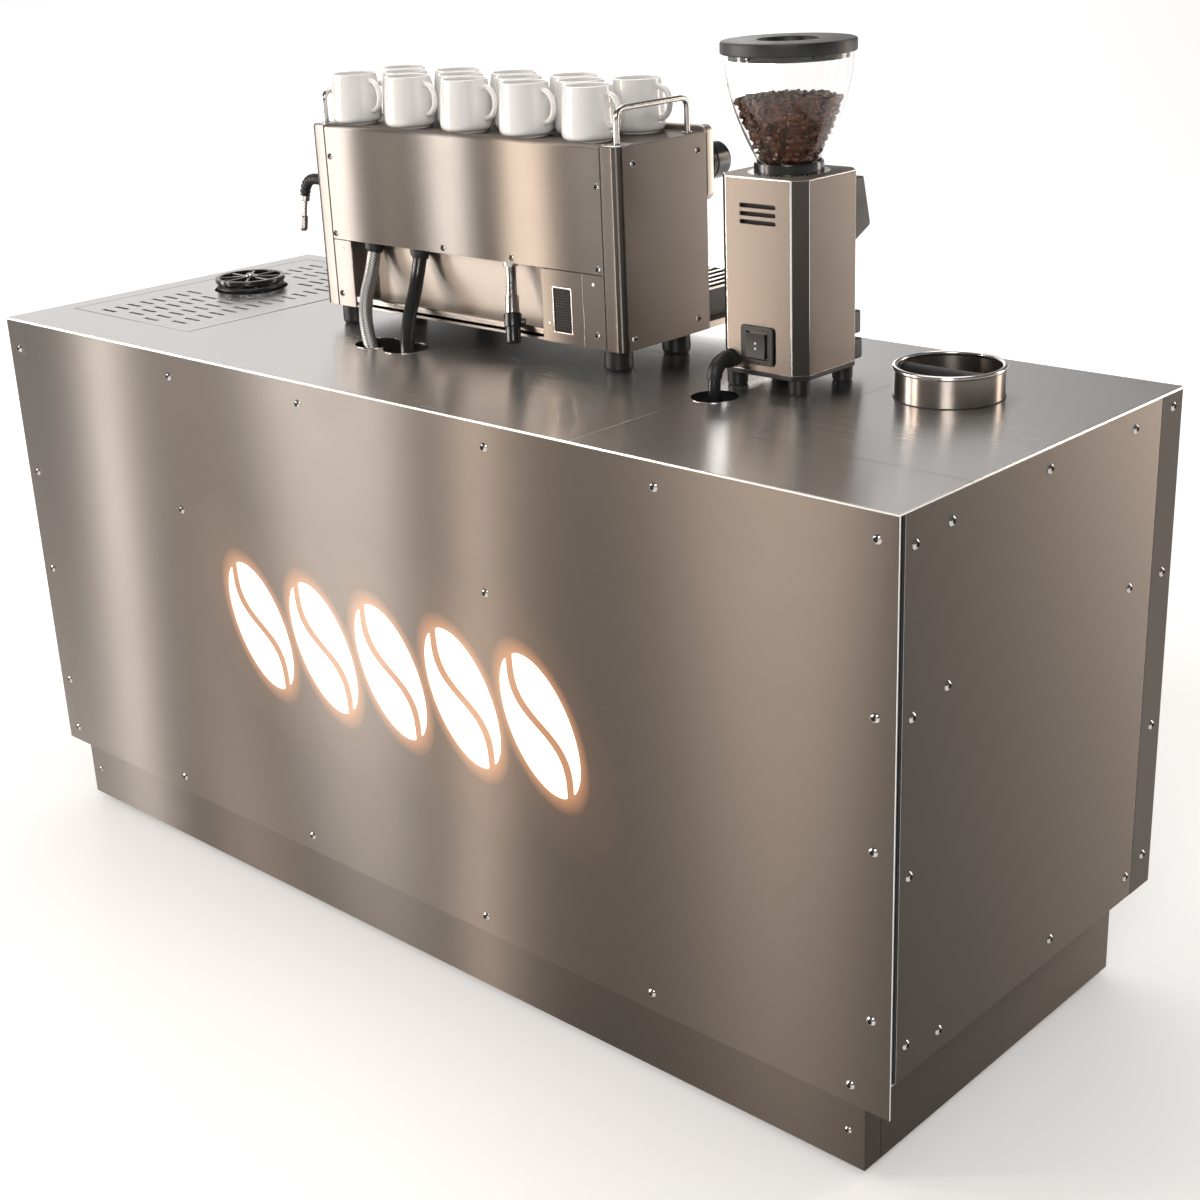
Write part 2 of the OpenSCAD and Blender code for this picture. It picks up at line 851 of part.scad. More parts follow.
module rinse_pan() {
    color(bright) translate([pan_x0, pan_y0, pan_floor_z]) {
        difference() {
            union() {
                cube([pan_l, pan_w, pan_depth]);
                translate([-pan_flange, -pan_flange, pan_depth - sheet - pan_wall])
                    cube([pan_l + pan_flange * 2, pan_w + pan_flange * 2, pan_wall]);
            }
            translate([pan_wall, pan_wall, pan_wall])
                cube([pan_l - pan_wall * 2, pan_w - pan_wall * 2, pan_depth]);
        }
        for (y = [pan_wall, pan_w - pan_wall - pan_ledge])
            translate([pan_wall, y, pan_wall])
                cube([pan_l - pan_wall * 2, pan_ledge, pan_depth - pan_wall - grate_t]);
    }
}

module rinse_grate() {
    x0 = pan_x0 + pan_wall + grate_gap;
    x1 = pan_x0 + pan_l - pan_wall - grate_gap_right;
    y0 = pan_y0 + pan_wall + grate_gap;
    y1 = pan_y0 + pan_w - pan_wall - grate_gap;
    columns = floor((x1 - x0 - slot_margin * 2) / slot_pitch_x);
    rows = floor((y1 - y0 - slot_margin * 2) / slot_pitch_y);
    hole_r = star_d / 2 + rinser_hole_gap;
    color(bright) difference() {
        block([x0, y0, top_z - grate_t], [x1, y1, top_z]);
        translate([rinser_x, rinser_y, top_z - grate_t - cut]) cylinder(r = hole_r, h = grate_t + cut * 2);
        for (c = [0 : columns - 1], r = [0 : rows - 1]) {
            x = (x0 + x1) / 2 + (c - (columns - 1) / 2) * slot_pitch_x;
            y = (y0 + y1) / 2 + (r - (rows - 1) / 2) * slot_pitch_y + (c % 2 - 1 / 2) * slot_pitch_y / 2;
            if (norm([x - rinser_x, y - rinser_y]) > hole_r + slot_l / 2 + slot_w)
                translate([x, y, top_z - grate_t]) round_slot(slot_l, slot_w, grate_t);
        }
    }
}

module rinser_valve() {
    base_z = top_z + base_ring_rise;
    color(black) translate([rinser_x, rinser_y, 0]) {
        translate([0, 0, pan_floor_z + pan_wall])
            cylinder(d = valve_d, h = base_z - pan_floor_z - pan_wall);
        translate([0, 0, base_z]) {
            ring(star_d - spoke_w, star_d - spoke_w - base_ring_w * 2, base_ring_h);
            for (i = [0 : star_spokes - 1]) rotate(360 / star_spokes * (i + 1 / 2))
                block([valve_stem_d / 2 - spoke_drop, -spoke_w / 2, 0],
                    [star_d / 2 - base_ring_w, spoke_w / 2, base_ring_h - spoke_drop]);
        }
        translate([0, 0, base_z]) cylinder(d = valve_stem_d, h = star_z + star_h - base_z);
        translate([0, 0, star_z + star_h]) intersection() {
            sphere(valve_nozzle_d / 2);
            cylinder(d = valve_nozzle_d, h = valve_nozzle_h);
        }
    }
}

module rinser_star() {
    color(black) translate([rinser_x, rinser_y, star_z]) difference() {
        union() {
            ring(star_d, star_d - star_ring_w * 2, star_h);
            cylinder(d = star_hub_d, h = star_h);
            for (i = [0 : star_spokes - 1]) rotate(360 / star_spokes * i)
                block([star_hub_d / 2 - spoke_w, -spoke_w / 2, spoke_drop],
                    [(star_d - star_ring_w) / 2, spoke_w / 2, star_h - spoke_drop]);
        }
        translate([0, 0, -cut]) cylinder(d = valve_stem_d + run_fit * 2, h = star_h + cut * 2);
    }
}

// Knock chute

module knock_chute() {
    rim_z = top_z + knock_rise - knock_rim_d / 2;
    color(bright) translate([knock_x, knock_y, 0]) {
        translate([0, 0, knock_z0]) ring(knock_d, knock_d - knock_wall * 2, rim_z - knock_z0);
        translate([0, 0, under_z - knock_flange_t])
            ring(knock_d + knock_flange * 2, knock_d - knock_wall, knock_flange_t);
        translate([0, 0, rim_z]) rotate_extrude()
            translate([knock_d / 2 - knock_wall / 2, 0]) circle(d = knock_rim_d);
    }
}

// The rubber knock bar and the gasket round the chute
module knock_rubber() {
    bar_z = top_z + knock_rise - bar_drop;
    color(black) translate([knock_x, knock_y, 0]) {
        intersection() {
            translate([-knock_d / 2, 0, bar_z]) rotate([0, 90, 0]) cylinder(d = knock_bar_d, h = knock_d);
            translate([0, 0, knock_z0])
                cylinder(d = knock_d - knock_wall * 2 - bar_fit * 2, h = knock_drop + knock_rise);
        }
        translate([0, 0, top_z]) ring(knock_d + gasket_w * 2, knock_d + bar_fit * 2, gasket_h);
    }
}

module knock_bin() {
    bin_h = knock_z0 - bin_gap - shelf_z - slide_gap;
    color(steel) translate([knock_x - bin_w / 2, knock_y - bin_w / 2, shelf_z + slide_gap]) difference() {
        cube([bin_w, bin_w, bin_h]);
        translate([bin_wall, bin_wall, bin_wall]) cube([bin_w - bin_wall * 2, bin_w - bin_wall * 2, bin_h]);
    }
}

// Tanks and services on the lower deck

module water_tanks() {
    color(white) {
        for (t = [[fresh_x, fresh_x, tank_y], [waste_x, waste_cap_x, waste_cap_y]]) {
            translate([t[0], tank_y, deck_z]) linear_extrude(tank_h) round_rect(tank_l, tank_w, tank_r);
            translate([t[1], t[2], deck_z + tank_h]) cylinder(d = tank_cap_d, h = tank_cap_h);
        }
    }
}

module water_pump() {
    color(black) translate([pump_x, pump_y, deck_z]) {
        translate([-pump_l / 2, -pump_w / 2, 0]) cube([pump_l, pump_w / 2, pump_h]);
        translate([0, 0, pump_motor_d / 2]) rotate([-90, 0, 0]) cylinder(d = pump_motor_d, h = pump_w / 2);
        cylinder(d = fitting_d, h = pump_h + fitting_h);
    }
}

module power_box() {
    color(steel) {
        block([power_x - power_l / 2, power_y - power_w / 2, deck_z],
            [power_x + power_l / 2, power_y + power_w / 2, deck_z + power_h]);
        translate([power_gland_x, power_y, deck_z + power_h])
            cylinder(d = power_gland_d, h = power_gland_h);
    }
}

module supply_hose() { color(bright) tube_along(supply_route, hose_d, [1, 0, 0]); }
module drain_hose() { color(black) tube_along(drain_route, hose_d, [0, 1, 0]); }
module grinder_cable() { color(black) tube_along(cable_route, cable_d, [1, 0, 0]); }

// Espresso machine

module machine_chassis() {
    x0 = mx0 + msheet;
    x1 = mx1 - msheet;
    body_top = tray_z - msheet;
    color(steel) {
        block([x0, my0 + cover_r, mz0], [x1, base_front_y, mz0 + base_t]);
        block([x0, recess_y, mz0], [x1, recess_y + msheet, body_top]);
        block([panel_x0, my0 + msheet, recess_z], [panel_x1, recess_y + msheet, recess_z + msheet]);
        block([x0, my1 - msheet, mz0], [x1, my1, body_top]);
        block([panel_x0, my0 + msheet, mz0], [panel_x1, my0 + cover_r + base_t, mz0 + base_t]);
        block([panel_x0, my0 + msheet, mz0],
            [panel_x1, my0 + msheet + rail_strip_t, mz0 + base_t + rail_strip_h]);
    }
}

// The upper rear panel, the two strips and the vent panel with its grille
module machine_rear_panels() {
    vent_x1 = panel_x1 - right_strip_w - panel_gap;
    vent_x0 = vent_x1 - vent_w;
    low_h = recess_z - panel_gap - mz0;
    window_z = recess_z - panel_gap - vent_window_drop - vent_window_h;
    window_x = (vent_x0 + vent_x1 - vent_window_w) / 2;
    color(steel) {
        translate([panel_x0, my0, mz1]) rotate([90, 0, 90]) mirror([0, 1, 0])
            linear_extrude(panel_x1 - panel_x0) bent_sheet(panel_lip, rear_panel_h, msheet, panel_edge_r);
        translate([panel_x0, my0, mz0]) cube([left_strip_w, msheet, low_h]);
        translate([panel_x1 - right_strip_w, my0, mz0]) cube([right_strip_w, msheet, low_h]);
        difference() {
            translate([vent_x0, my0, mz0]) cube([vent_w, msheet, low_h]);
            for (i = [0 : vent_bars - 1])
                translate([window_x, my0 - cut, window_z + (i * 2) * vent_window_h / (vent_bars * 2 - 1)])
                    cube([vent_window_w, msheet + cut * 2, vent_window_h / (vent_bars * 2 - 1)]);
        }
    }
}

module machine_side_covers() {
    color(steel) for (m = [0, 1]) translate([mach_x, 0, 0]) mirror([m, 0, 0])
        difference() {
            translate([-mach_w / 2, my0, mz0]) linear_extrude(mach_h)
                bent_sheet(post_w, mach_d, msheet, cover_r);
            if (m == 0) translate([-mach_w / 2 - cut, wand_y, wand_z]) rotate([0, 90, 0])
                cylinder(d = wand_pin_d + run_fit * 2, h = msheet + cut * 2);
        }
}

module machine_top_tray() {
    color(steel) block([mx0 + msheet, my0 + cover_r, tray_z - msheet], [mx1 - msheet, my1, tray_z]);
}

// A bent rod over each end of the cup tray
module cup_rails() {
    y0 = my0 + rail_rear;
    y1 = my1 - rail_front;
    top = rail_h - rail_d / 2;
    color(bright) for (s = [-1, 1]) translate([mach_x + s * (mach_w / 2 - rail_inset_x), 0, tray_z]) {
        for (y = [y0, y1]) translate([0, y, 0]) cylinder(d = rail_d, h = top - rail_bend);
        translate([0, y0 + rail_bend, top]) rotate([-90, 0, 0])
            cylinder(d = rail_d, h = y1 - y0 - rail_bend * 2);
        translate([0, y0 + rail_bend, top - rail_bend]) rotate([90, 0, -90])
            rotate_extrude(angle = 90) translate([rail_bend, 0]) circle(d = rail_d);
        translate([0, y1 - rail_bend, top - rail_bend]) rotate([90, 0, 90])
            rotate_extrude(angle = 90) translate([rail_bend, 0]) circle(d = rail_d);
    }
}

module machine_feet() {
    rows = [my0 + mach_foot_rear, my0 + mach_foot_mid, base_front_y - mach_foot_front];
    color(black) for (s = [-1, 1], y = rows)
        translate([mach_x + s * (mach_w / 2 - mach_foot_inset_x), y, top_z])
            cylinder(d = mach_foot_d, h = mach_foot_h);
}

module machine_screws() {
    color(bright) {
        for (s = mach_rear_screw_shares)
            translate([mach_x + mach_w / 2 * s[0], my0, mz0 + mach_h * s[1]])
                rotate([90, 0, 0]) screw_head(mscrew_d, mscrew_h, msocket_d);
        for (s = mach_side_screw_shares, sx = [-1, 1])
            translate([mach_x + sx * mach_w / 2, my0 + mach_d * s[0], mz0 + mach_h * s[1]])
                rotate([0, sx * 90, 0]) screw_head(mscrew_d, mscrew_h, msocket_d);
    }
}

// The place of a knob on the fascia's face, with its axis along +Z
module at_knob(s) {
    translate([mach_x + s * (mach_w / 2 - knob_inset), fascia_y, control_z]) rotate([-90, 0, 0]) children();
}

// The place of a brew button's outer face, with its axis along +Z
module at_button(s) {
    translate([mach_x + s * group_pitch / 2, fascia_y + button_out, control_z])
        rotate([-90, 0, 0]) children();
}

module machine_fascia() {
    color(bright) difference() {
        translate([mach_x, my1, fascia_z1 - fascia_h / 2]) rotate([-90, 0, 0])
            linear_extrude(fascia_t) round_rect(mach_w, fascia_h, fascia_r);
        for (s = [-1, 1]) {
            at_knob(s) translate([0, 0, -knob_shaft_l - slide_gap])
                cylinder(d = knob_shaft_d + run_fit * 2, h = knob_shaft_l + slide_gap + cut);
            at_button(s) translate([0, 0, -button_l - button_travel - seam])
                cylinder(d = button_d + button_fit * 2, h = button_l + fascia_t);
        }
    }
}

module steam_knob(s) {
    color(black) at_knob(s) {
        translate([0, 0, -knob_shaft_l]) cylinder(d = knob_shaft_d, h = knob_shaft_l + knob_l / 2);
        translate([0, 0, slide_gap]) {
            cylinder(d = knob_d, h = knob_l * (1 - knob_end_share));
            translate([0, 0, knob_l * (1 - knob_end_share)])
                cylinder(d1 = knob_d, d2 = knob_d * knob_face_share, h = knob_l * knob_end_share);
        }
    }
}

module steam_knob_left() { steam_knob(-1); }
module steam_knob_right() { steam_knob(1); }

module brew_button(s) {
    color(black) at_button(s) translate([0, 0, -button_l]) cylinder(d = button_d, h = button_l);
}

module brew_button_left() { brew_button(-1); }
module brew_button_right() { brew_button(1); }

module boiler() {
    y = (recess_y + my1) / 2;
    color(bright) translate([mach_x, y, mz0 + base_t]) {
        translate([-boiler_l / 2, 0, boiler_rise + boiler_d / 2]) rotate([0, 90, 0])
            cylinder(d = boiler_d, h = boiler_l);
        for (s = [-1, 1]) translate([s * boiler_l / 4 - saddle_w / 2, -saddle_d / 2, 0])
            cube([saddle_w, saddle_d, boiler_rise + boiler_d / 4]);
    }
}

module group_heads() {
    color(bright) for (s = [-1, 1]) translate([mach_x + s * group_pitch / 2, group_y, group_z])
        difference() {
            union() {
                cylinder(d = filter_d + group_wall * 2, h = group_h);
                translate([-neck_w / 2, -group_reach, group_h - neck_h]) cube([neck_w, group_reach, neck_h]);
            }
            translate([0, 0, -neck_h]) cylinder(d = filter_d + run_fit * 2, h = group_bore + neck_h);
        }
}

module portafilter(s) {
    color(black) translate([mach_x + s * group_pitch / 2, group_y, bowl_z]) {
        cylinder(d = filter_d, h = collar_h);
        translate([0, 0, -bowl_h]) cylinder(d = bowl_d, h = bowl_h);
        translate([0, 0, -bowl_h - spout_h]) cylinder(d = spout_d, h = spout_h);
        translate([0, 0, -bowl_h / 2]) rotate([-90, 0, 0]) {
            cylinder(d = handle_neck_d, h = bowl_d / 2 + handle_neck_l);
            translate([0, 0, bowl_d / 2 + handle_neck_l])
                cylinder(d = handle_d, h = handle_l - handle_d / 2);
            translate([0, 0, bowl_d / 2 + handle_neck_l + handle_l - handle_d / 2]) sphere(d = handle_d);
        }
    }
}

module portafilter_left() { portafilter(-1); }
module portafilter_right() { portafilter(1); }

// The wand turns on a pin in the left side cover; a ribbed sleeve covers its elbow
module steam_wand() {
    color(bright) translate([mx0, wand_y, wand_z]) {
        translate([-wand_arm, 0, 0]) rotate([0, 90, 0]) {
            cylinder(d = wand_pin_d, h = wand_arm + wand_pin_l);
            cylinder(d = wand_sleeve_d, h = wand_arm - slide_gap);
            for (i = [1 : wand_rings])
                translate([0, 0, i * wand_ring_pitch]) cylinder(d = wand_elbow_d, h = wand_ring_w);
        }
        translate([-wand_arm, 0, 0]) {
            sphere(d = wand_elbow_d);
            rotate([0, 180 + wand_lean, 0]) {
                cylinder(d = wand_sleeve_d, h = wand_sleeve_l);
                cylinder(d = wand_d, h = wand_sleeve_l + wand_tube_l);
                translate([0, 0, wand_sleeve_l + wand_tube_l]) {
                    cylinder(d = wand_tip_d, h = wand_tip_l - wand_tip_d / 2);
                    translate([0, 0, wand_tip_l - wand_tip_d / 2]) sphere(d = wand_tip_d);
                }
            }
        }
    }
}

// The drip tray is a floor sheet with four walls welded on
module drip_tray() {
    wall_h = drip_h - drip_wall - weld_gap;
    end_w = drip_w - (drip_wall + weld_gap) * 2;
    color(black) translate([mach_x - drip_l / 2, drip_y0, drip_z0]) {
        cube([drip_l, drip_w, drip_wall]);
        translate([0, 0, drip_wall + weld_gap]) {
            for (y = [0, drip_w - drip_wall]) translate([0, y, 0]) cube([drip_l, drip_wall, wall_h]);
            for (x = [0, drip_l - drip_wall])
                translate([x, drip_wall + weld_gap, 0]) cube([drip_wall, end_w, wall_h]);
        }
    }
}

module drip_grate() {
    pitch = drip_l / (drip_bars + 1);
    color(bright) translate([mach_x - drip_l / 2, drip_y0, drip_z0 + drip_h + slide_gap]) difference() {
        cube([drip_l, drip_w, drip_grate_t]);
        for (i = [0 : drip_bars])
            translate([i * pitch + drip_bar_w / 2, drip_bar_w, -cut])
                cube([pitch - drip_bar_w, drip_w - drip_bar_w * 2, drip_grate_t + cut * 2]);
    }
}

module drain_tap() {
    color(bright) translate([tap_x, tap_y, recess_z - tap_collar_h]) {
        cylinder(d = tap_collar_d, h = tap_collar_h);
        translate([0, 0, tap_collar_h / 2]) rotate([180 - tap_lean, 0, tap_turn]) {
            cylinder(d = tap_tube_d, h = tap_tube_l);
            translate([0, 0, tap_tube_l]) {
                cylinder(d = tap_ferrule_d, h = tap_ferrule_l);
                translate([0, 0, tap_ferrule_l]) cylinder(d = tap_body_d, h = tap_body_l);
                translate([0, 0, tap_ferrule_l + tap_body_l / 2]) rotate([0, 90, 0])
                    cylinder(d = tap_knob_d, h = tap_body_d / 2 + tap_knob_l);
            }
        }
    }
}

module hose_glands() {
    color(black) for (p = [supply_route[0], drain_route[0]])
        translate([p[0], p[1], recess_z - gland_h]) cylinder(d = gland_d, h = gland_h);
}

// One cup: a turned bowl with a loop handle on its right
module cup() {
    foot = cup_d * cup_foot_share / 2;
    rim = cup_d * cup_rim_share / 2;
    belly = cup_d / 2;
    belly_z = cup_h * cup_belly_share;
    handle_z = (cup_h + belly_z) / 2;
    difference() {
        union() {
            rotate_extrude() polygon([[0, 0], [foot, 0], [belly, belly_z], [rim, cup_h], [0, cup_h]]);
            translate([belly - cup_handle_out, 0, handle_z]) rotate([90, 0, 0]) rotate_extrude()
                translate([cup_handle_r, 0]) circle(d = cup_handle_d, $fn = 24);
        }
        rotate_extrude() polygon([[0, cup_floor], [foot - cup_wall, cup_floor], [belly - cup_wall, belly_z],
            [rim - cup_wall, cup_h], [rim - cup_wall, cup_h + cut], [0, cup_h + cut]]);
    }
}

module cups() {
    color(white) for (r = [0 : len(cup_rows) - 1], i = [0 : cup_rows[r] - 1])
        translate([mach_x + cup_shift + (i - (cup_rows[r] - 1) / 2) * cup_pitch,
            my0 + cup_first_y + r * cup_row_pitch, tray_z]) cup();
}

// Grinder

module grinder_housing() {
    color(steel) translate([gr_x, gr_y, gz0]) difference() {
        linear_extrude(gr_h + gr_top_t) round_rect(gr_w, gr_d, gr_r);
        translate([0, 0, -cut]) linear_extrude(gr_h + cut)
            round_rect(gr_w - gr_wall * 2, gr_d - gr_wall * 2, gr_r - gr_wall);
        translate([0, 0, gr_h - cut])
            cylinder(d = collar_sleeve_d + collar_hole_gap * 2, h = gr_top_t + cut * 2);
        for (i = [0 : vent_slots - 1])
            translate([0, -gr_d / 2 - cut, gr_h - vent_slot_drop - i * vent_slot_pitch]) rotate([-90, 0, 0])
                round_slot(vent_slot_l, vent_slot_w, gr_wall + cut);
        translate([switch_x, -gr_d / 2, gr_h - switch_drop])
            cube([switch_w, gr_wall * 4, switch_h], center = true);
    }
}

module grinder_base() {
    color(black) {
        translate([gr_x, gr_y, gz0 - gr_base_t]) linear_extrude(gr_base_t) round_rect(gr_w, gr_d, gr_r);
        for (sx = [-1, 1], sy = [-1, 1])
            translate([gr_x + sx * (gr_w / 2 - gr_foot_inset), gr_y + sy * (gr_d / 2 - gr_foot_inset),
                top_z])
                cylinder(d = gr_foot_d, h = gr_foot_h);
    }
}

module grinder_motor() {
    color(steel) translate([gr_x, gr_y, gz0]) difference() {
        cylinder(d = motor_d, h = motor_h);
        translate([0, 0, motor_h - shaft_in]) cylinder(d = shaft_d + run_fit * 2, h = shaft_in + cut);
    }
}

module grinder_burr() {
    burr_z = collar_z - collar_sleeve_h - burr_gap - burr_h;
    shaft_z = gz0 + motor_h - shaft_in + slide_gap;
    color(bright) translate([gr_x, gr_y, 0]) {
        translate([0, 0, shaft_z]) cylinder(d = shaft_d, h = burr_z - shaft_z);
        translate([0, 0, burr_z]) cylinder(d = burr_d, h = burr_h);
    }
}

module grinder_collar() {
    color(black) translate([gr_x, gr_y, collar_z]) difference() {
        union() {
            cylinder(d = collar_d, h = collar_h2);
            translate([0, 0, collar_h2])
                ring(collar_neck_d, hopper_foot_d + collar_neck_gap * 2, collar_neck_h);
            translate([0, 0, -collar_sleeve_h]) cylinder(d = collar_sleeve_d, h = collar_sleeve_h);
        }
        translate([0, 0, -collar_sleeve_h - cut])
            cylinder(d = hopper_neck_d + run_fit * 2, h = collar_h2 + collar_sleeve_h + cut * 2);
    }
}

// The radius of the hopper's wall at a share of its height
function hopper_r(share) = hopper_foot_d / 2 + (hopper_d - hopper_foot_d) / 2 * sin(90 * share);

module hopper() {
    shares = [for (i = [0 : hopper_steps]) i / hopper_steps];
    outer = [for (s = shares) [hopper_r(s), hopper_foot_t + hopper_h * s]];
    inner = [for (i = [hopper_steps : -1 : 0])
        [hopper_r(shares[i]) - hopper_wall, hopper_foot_t + hopper_h * shares[i]]];
    neck = hopper_neck_d / 2;
    color(white, 0.4) translate([gr_x, gr_y, hopper_z]) {
        rotate_extrude() polygon(concat([[neck - hopper_wall, 0], [hopper_foot_d / 2, 0]], outer, inner,
            [[neck - hopper_wall, hopper_foot_t]]));
        translate([0, 0, -collar_h2]) ring(hopper_neck_d, hopper_neck_d - hopper_wall * 2, collar_h2);
    }
}

module beans() {
    steps = floor(hopper_steps * bean_fill_share);
    shares = [for (i = [0 : steps]) bean_fill_share * i / steps];
    floor_z = hopper_foot_t + slide_gap;
    side = [for (s = shares) [hopper_r(s) - hopper_wall - slide_gap, floor_z + hopper_h * s]];
    color([0.25, 0.14, 0.08]) translate([gr_x, gr_y, hopper_z]) rotate_extrude()
        polygon(concat([[0, floor_z]], side, [[0, floor_z + hopper_h * bean_fill_share]]));
}

module hopper_lid() {
    plug_r = hopper_r(1 - lid_plug_h / hopper_h) - hopper_wall - lid_plug_gap;
    color(black) translate([gr_x, gr_y, lid_z]) difference() {
        union() {
            cylinder(d = hopper_d + lid_over * 2, h = lid_h);
            translate([0, 0, -lid_plug_h]) cylinder(r = plug_r, h = lid_plug_h);
        }
        translate([0, 0, lid_h - lid_well_depth]) cylinder(d = lid_well_d, h = lid_h);
    }
}

// The rocker's ends are round about the line that it tilts on
module rocker_switch() {
    rocker_w = switch_w - slide_gap * 2;
    rocker_h = switch_h - rocker_gap_end * 2;
    color(black) translate([gr_x + switch_x, gr_y0 - rocker_out + rocker_t / 2, gz1 - switch_drop])
        intersection() {
            cube([rocker_w, rocker_t, rocker_h], center = true);
            rotate([0, 90, 0]) cylinder(d = rocker_h, h = rocker_w + cut * 2, center = true);
        }
}

// The switch's bezel, the cable gland, the dosing chute and its fork
module grinder_fittings() {
    gland_x = gr_x - gr_w / 2 + cord_gland_in;
    chute_z = gz1 - chute_drop;
    color(black) {
        translate([gr_x + switch_x, gr_y0 - bezel_t / 2, gz1 - switch_drop]) difference() {
            cube([bezel_w, bezel_t, bezel_h], center = true);
            cube([switch_w, bezel_t + cut * 2, switch_h], center = true);
        }
        translate([gland_x, gr_y0 - cord_gland_l, gz0 + cord_gland_rise]) {
            rotate([-90, 0, 0]) cylinder(d = cord_gland_d, h = cord_gland_l);
            translate([0, 0, -cord_boot_bend]) rotate([90, 0, -90]) rotate_extrude(angle = 90)
                translate([cord_boot_bend, 0]) circle(d = cord_boot_d);
        }
        translate([gr_x - chute_w / 2, gr_y1, chute_z]) rotate([90, 0, 90]) linear_extrude(chute_w)
            polygon([for (p = chute_shares) [chute_out * p[0], -chute_h * p[1]]]);
        for (x = [gr_x - fork_w / 2, gr_x + fork_w / 2 - fork_t])
            translate([x, gr_y1, gz0 + fork_rise]) cube([fork_t, fork_out, fork_h]);
        translate([gr_x - gr_w / 2 + gr_r, gr_y1, gz0 - gr_base_t]) cube([gr_w - gr_r * 2, toe_out, toe_h]);
    }
}

cart_frame();
front_panel();
side_panels();
rear_stiles();
plinth();
shelves();
foot_front_left();
foot_front_right();
foot_rear_left();
foot_rear_right();
worktop_left();
worktop_right();
cart_screws();
sign_diffuser();
sign_light_box();
rinse_pan();
rinse_grate();
rinser_valve();
rinser_star();
knock_chute();
knock_rubber();
knock_bin();
water_tanks();
water_pump();
power_box();
supply_hose();
drain_hose();
grinder_cable();
machine_chassis();
machine_rear_panels();
machine_side_covers();
machine_top_tray();
cup_rails();
machine_feet();
machine_screws();
machine_fascia();
boiler();
group_heads();
portafilter_left();
portafilter_right();
steam_wand();
steam_knob_left();
steam_knob_right();
brew_button_left();
brew_button_right();
drip_tray();
drip_grate();
drain_tap();
hose_glands();
cups();
grinder_housing();
grinder_base();
grinder_motor();
grinder_burr();
grinder_collar();
hopper();
beans();
hopper_lid();
rocker_switch();
grinder_fittings();
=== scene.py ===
"""Looks of a coffee cart: a steel counter with an espresso machine, a grinder, a rinser and a knock chute.

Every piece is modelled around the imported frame, in metres, with +Z up and -Y the customer side.
"""

import json
import logging
import math
import random
from contextlib import contextmanager
from dataclasses import dataclass
from enum import Enum
from typing import Callable, Iterator, Sequence

import bpy
from mathutils import Matrix, Vector


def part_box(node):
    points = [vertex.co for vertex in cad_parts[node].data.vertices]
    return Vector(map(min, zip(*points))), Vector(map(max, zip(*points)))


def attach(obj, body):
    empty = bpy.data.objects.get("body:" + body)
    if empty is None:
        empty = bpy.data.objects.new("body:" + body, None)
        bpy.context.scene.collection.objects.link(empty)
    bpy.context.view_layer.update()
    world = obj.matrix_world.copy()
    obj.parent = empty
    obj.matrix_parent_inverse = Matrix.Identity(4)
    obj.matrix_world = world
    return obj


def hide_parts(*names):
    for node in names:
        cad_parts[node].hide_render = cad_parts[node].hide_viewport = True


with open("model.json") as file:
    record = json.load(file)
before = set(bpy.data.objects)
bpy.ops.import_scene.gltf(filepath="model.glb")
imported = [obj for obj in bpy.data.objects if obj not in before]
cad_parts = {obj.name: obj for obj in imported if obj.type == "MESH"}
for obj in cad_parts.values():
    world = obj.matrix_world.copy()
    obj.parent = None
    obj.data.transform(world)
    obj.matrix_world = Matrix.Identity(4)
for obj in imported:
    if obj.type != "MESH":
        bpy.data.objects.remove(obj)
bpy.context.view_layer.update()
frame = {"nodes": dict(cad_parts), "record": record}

Piece = bpy.types.Object
Finish = bpy.types.Material
Socket = bpy.types.NodeSocket
Colour = tuple[float, float, float]
Profile = Sequence[tuple[float, float]]
Route = tuple[tuple[float, float, float], ...]

log = logging.getLogger("coffee_cart")
ROOT_BODY = "cart"


class Way(Enum):
    """A direction that a turned, drilled or raised shape points along."""

    RIGHT = (1, 0, 0)
    LEFT = (-1, 0, 0)
    BACK = (0, 1, 0)
    FRONT = (0, -1, 0)
    UP = (0, 0, 1)

    def at(self, place: Sequence[float]) -> Matrix:
        """Gives the matrix that stands a shape made along +Z at a place, pointing this way."""
        turn = Vector((0, 0, 1)).rotation_difference(Vector(self.value))
        return Matrix.Translation(Vector(place)) @ turn.to_matrix().to_4x4()


class Corner(Enum):
    """The four corners of a footprint, as signs along X and Y."""

    FRONT_LEFT = (-1, -1)
    FRONT_RIGHT = (1, -1)
    REAR_LEFT = (-1, 1)
    REAR_RIGHT = (1, 1)


# Modelling tools


def deselect_all() -> None:
    """Clears the selection, so that an operator acts on the new piece alone."""
    bpy.ops.object.select_all(action="DESELECT")


def take(obj: Piece) -> Piece:
    """Makes one piece the only selected and the active one."""
    deselect_all()
    obj.select_set(True)
    bpy.context.view_layer.objects.active = obj
    return obj


def settle(name: str) -> Piece:
    """Names the new active piece and moves its place into its mesh.

    Args:
        name: The piece's name.
    Returns:
        The piece, with its object at the origin.
    """
    obj = bpy.context.active_object
    obj.name = name
    obj.data.name = name
    bpy.ops.object.transform_apply(location=True, rotation=True, scale=True)
    return obj


@contextmanager
def editing(obj: Piece) -> Iterator[None]:
    """Opens a piece in edit mode with all of it selected, and closes it again."""
    take(obj)
    bpy.ops.object.mode_set(mode="EDIT")
    bpy.ops.mesh.select_mode(type="VERT")
    bpy.ops.mesh.select_all(action="SELECT")
    try:
        yield
    finally:
        bpy.ops.object.mode_set(mode="OBJECT")


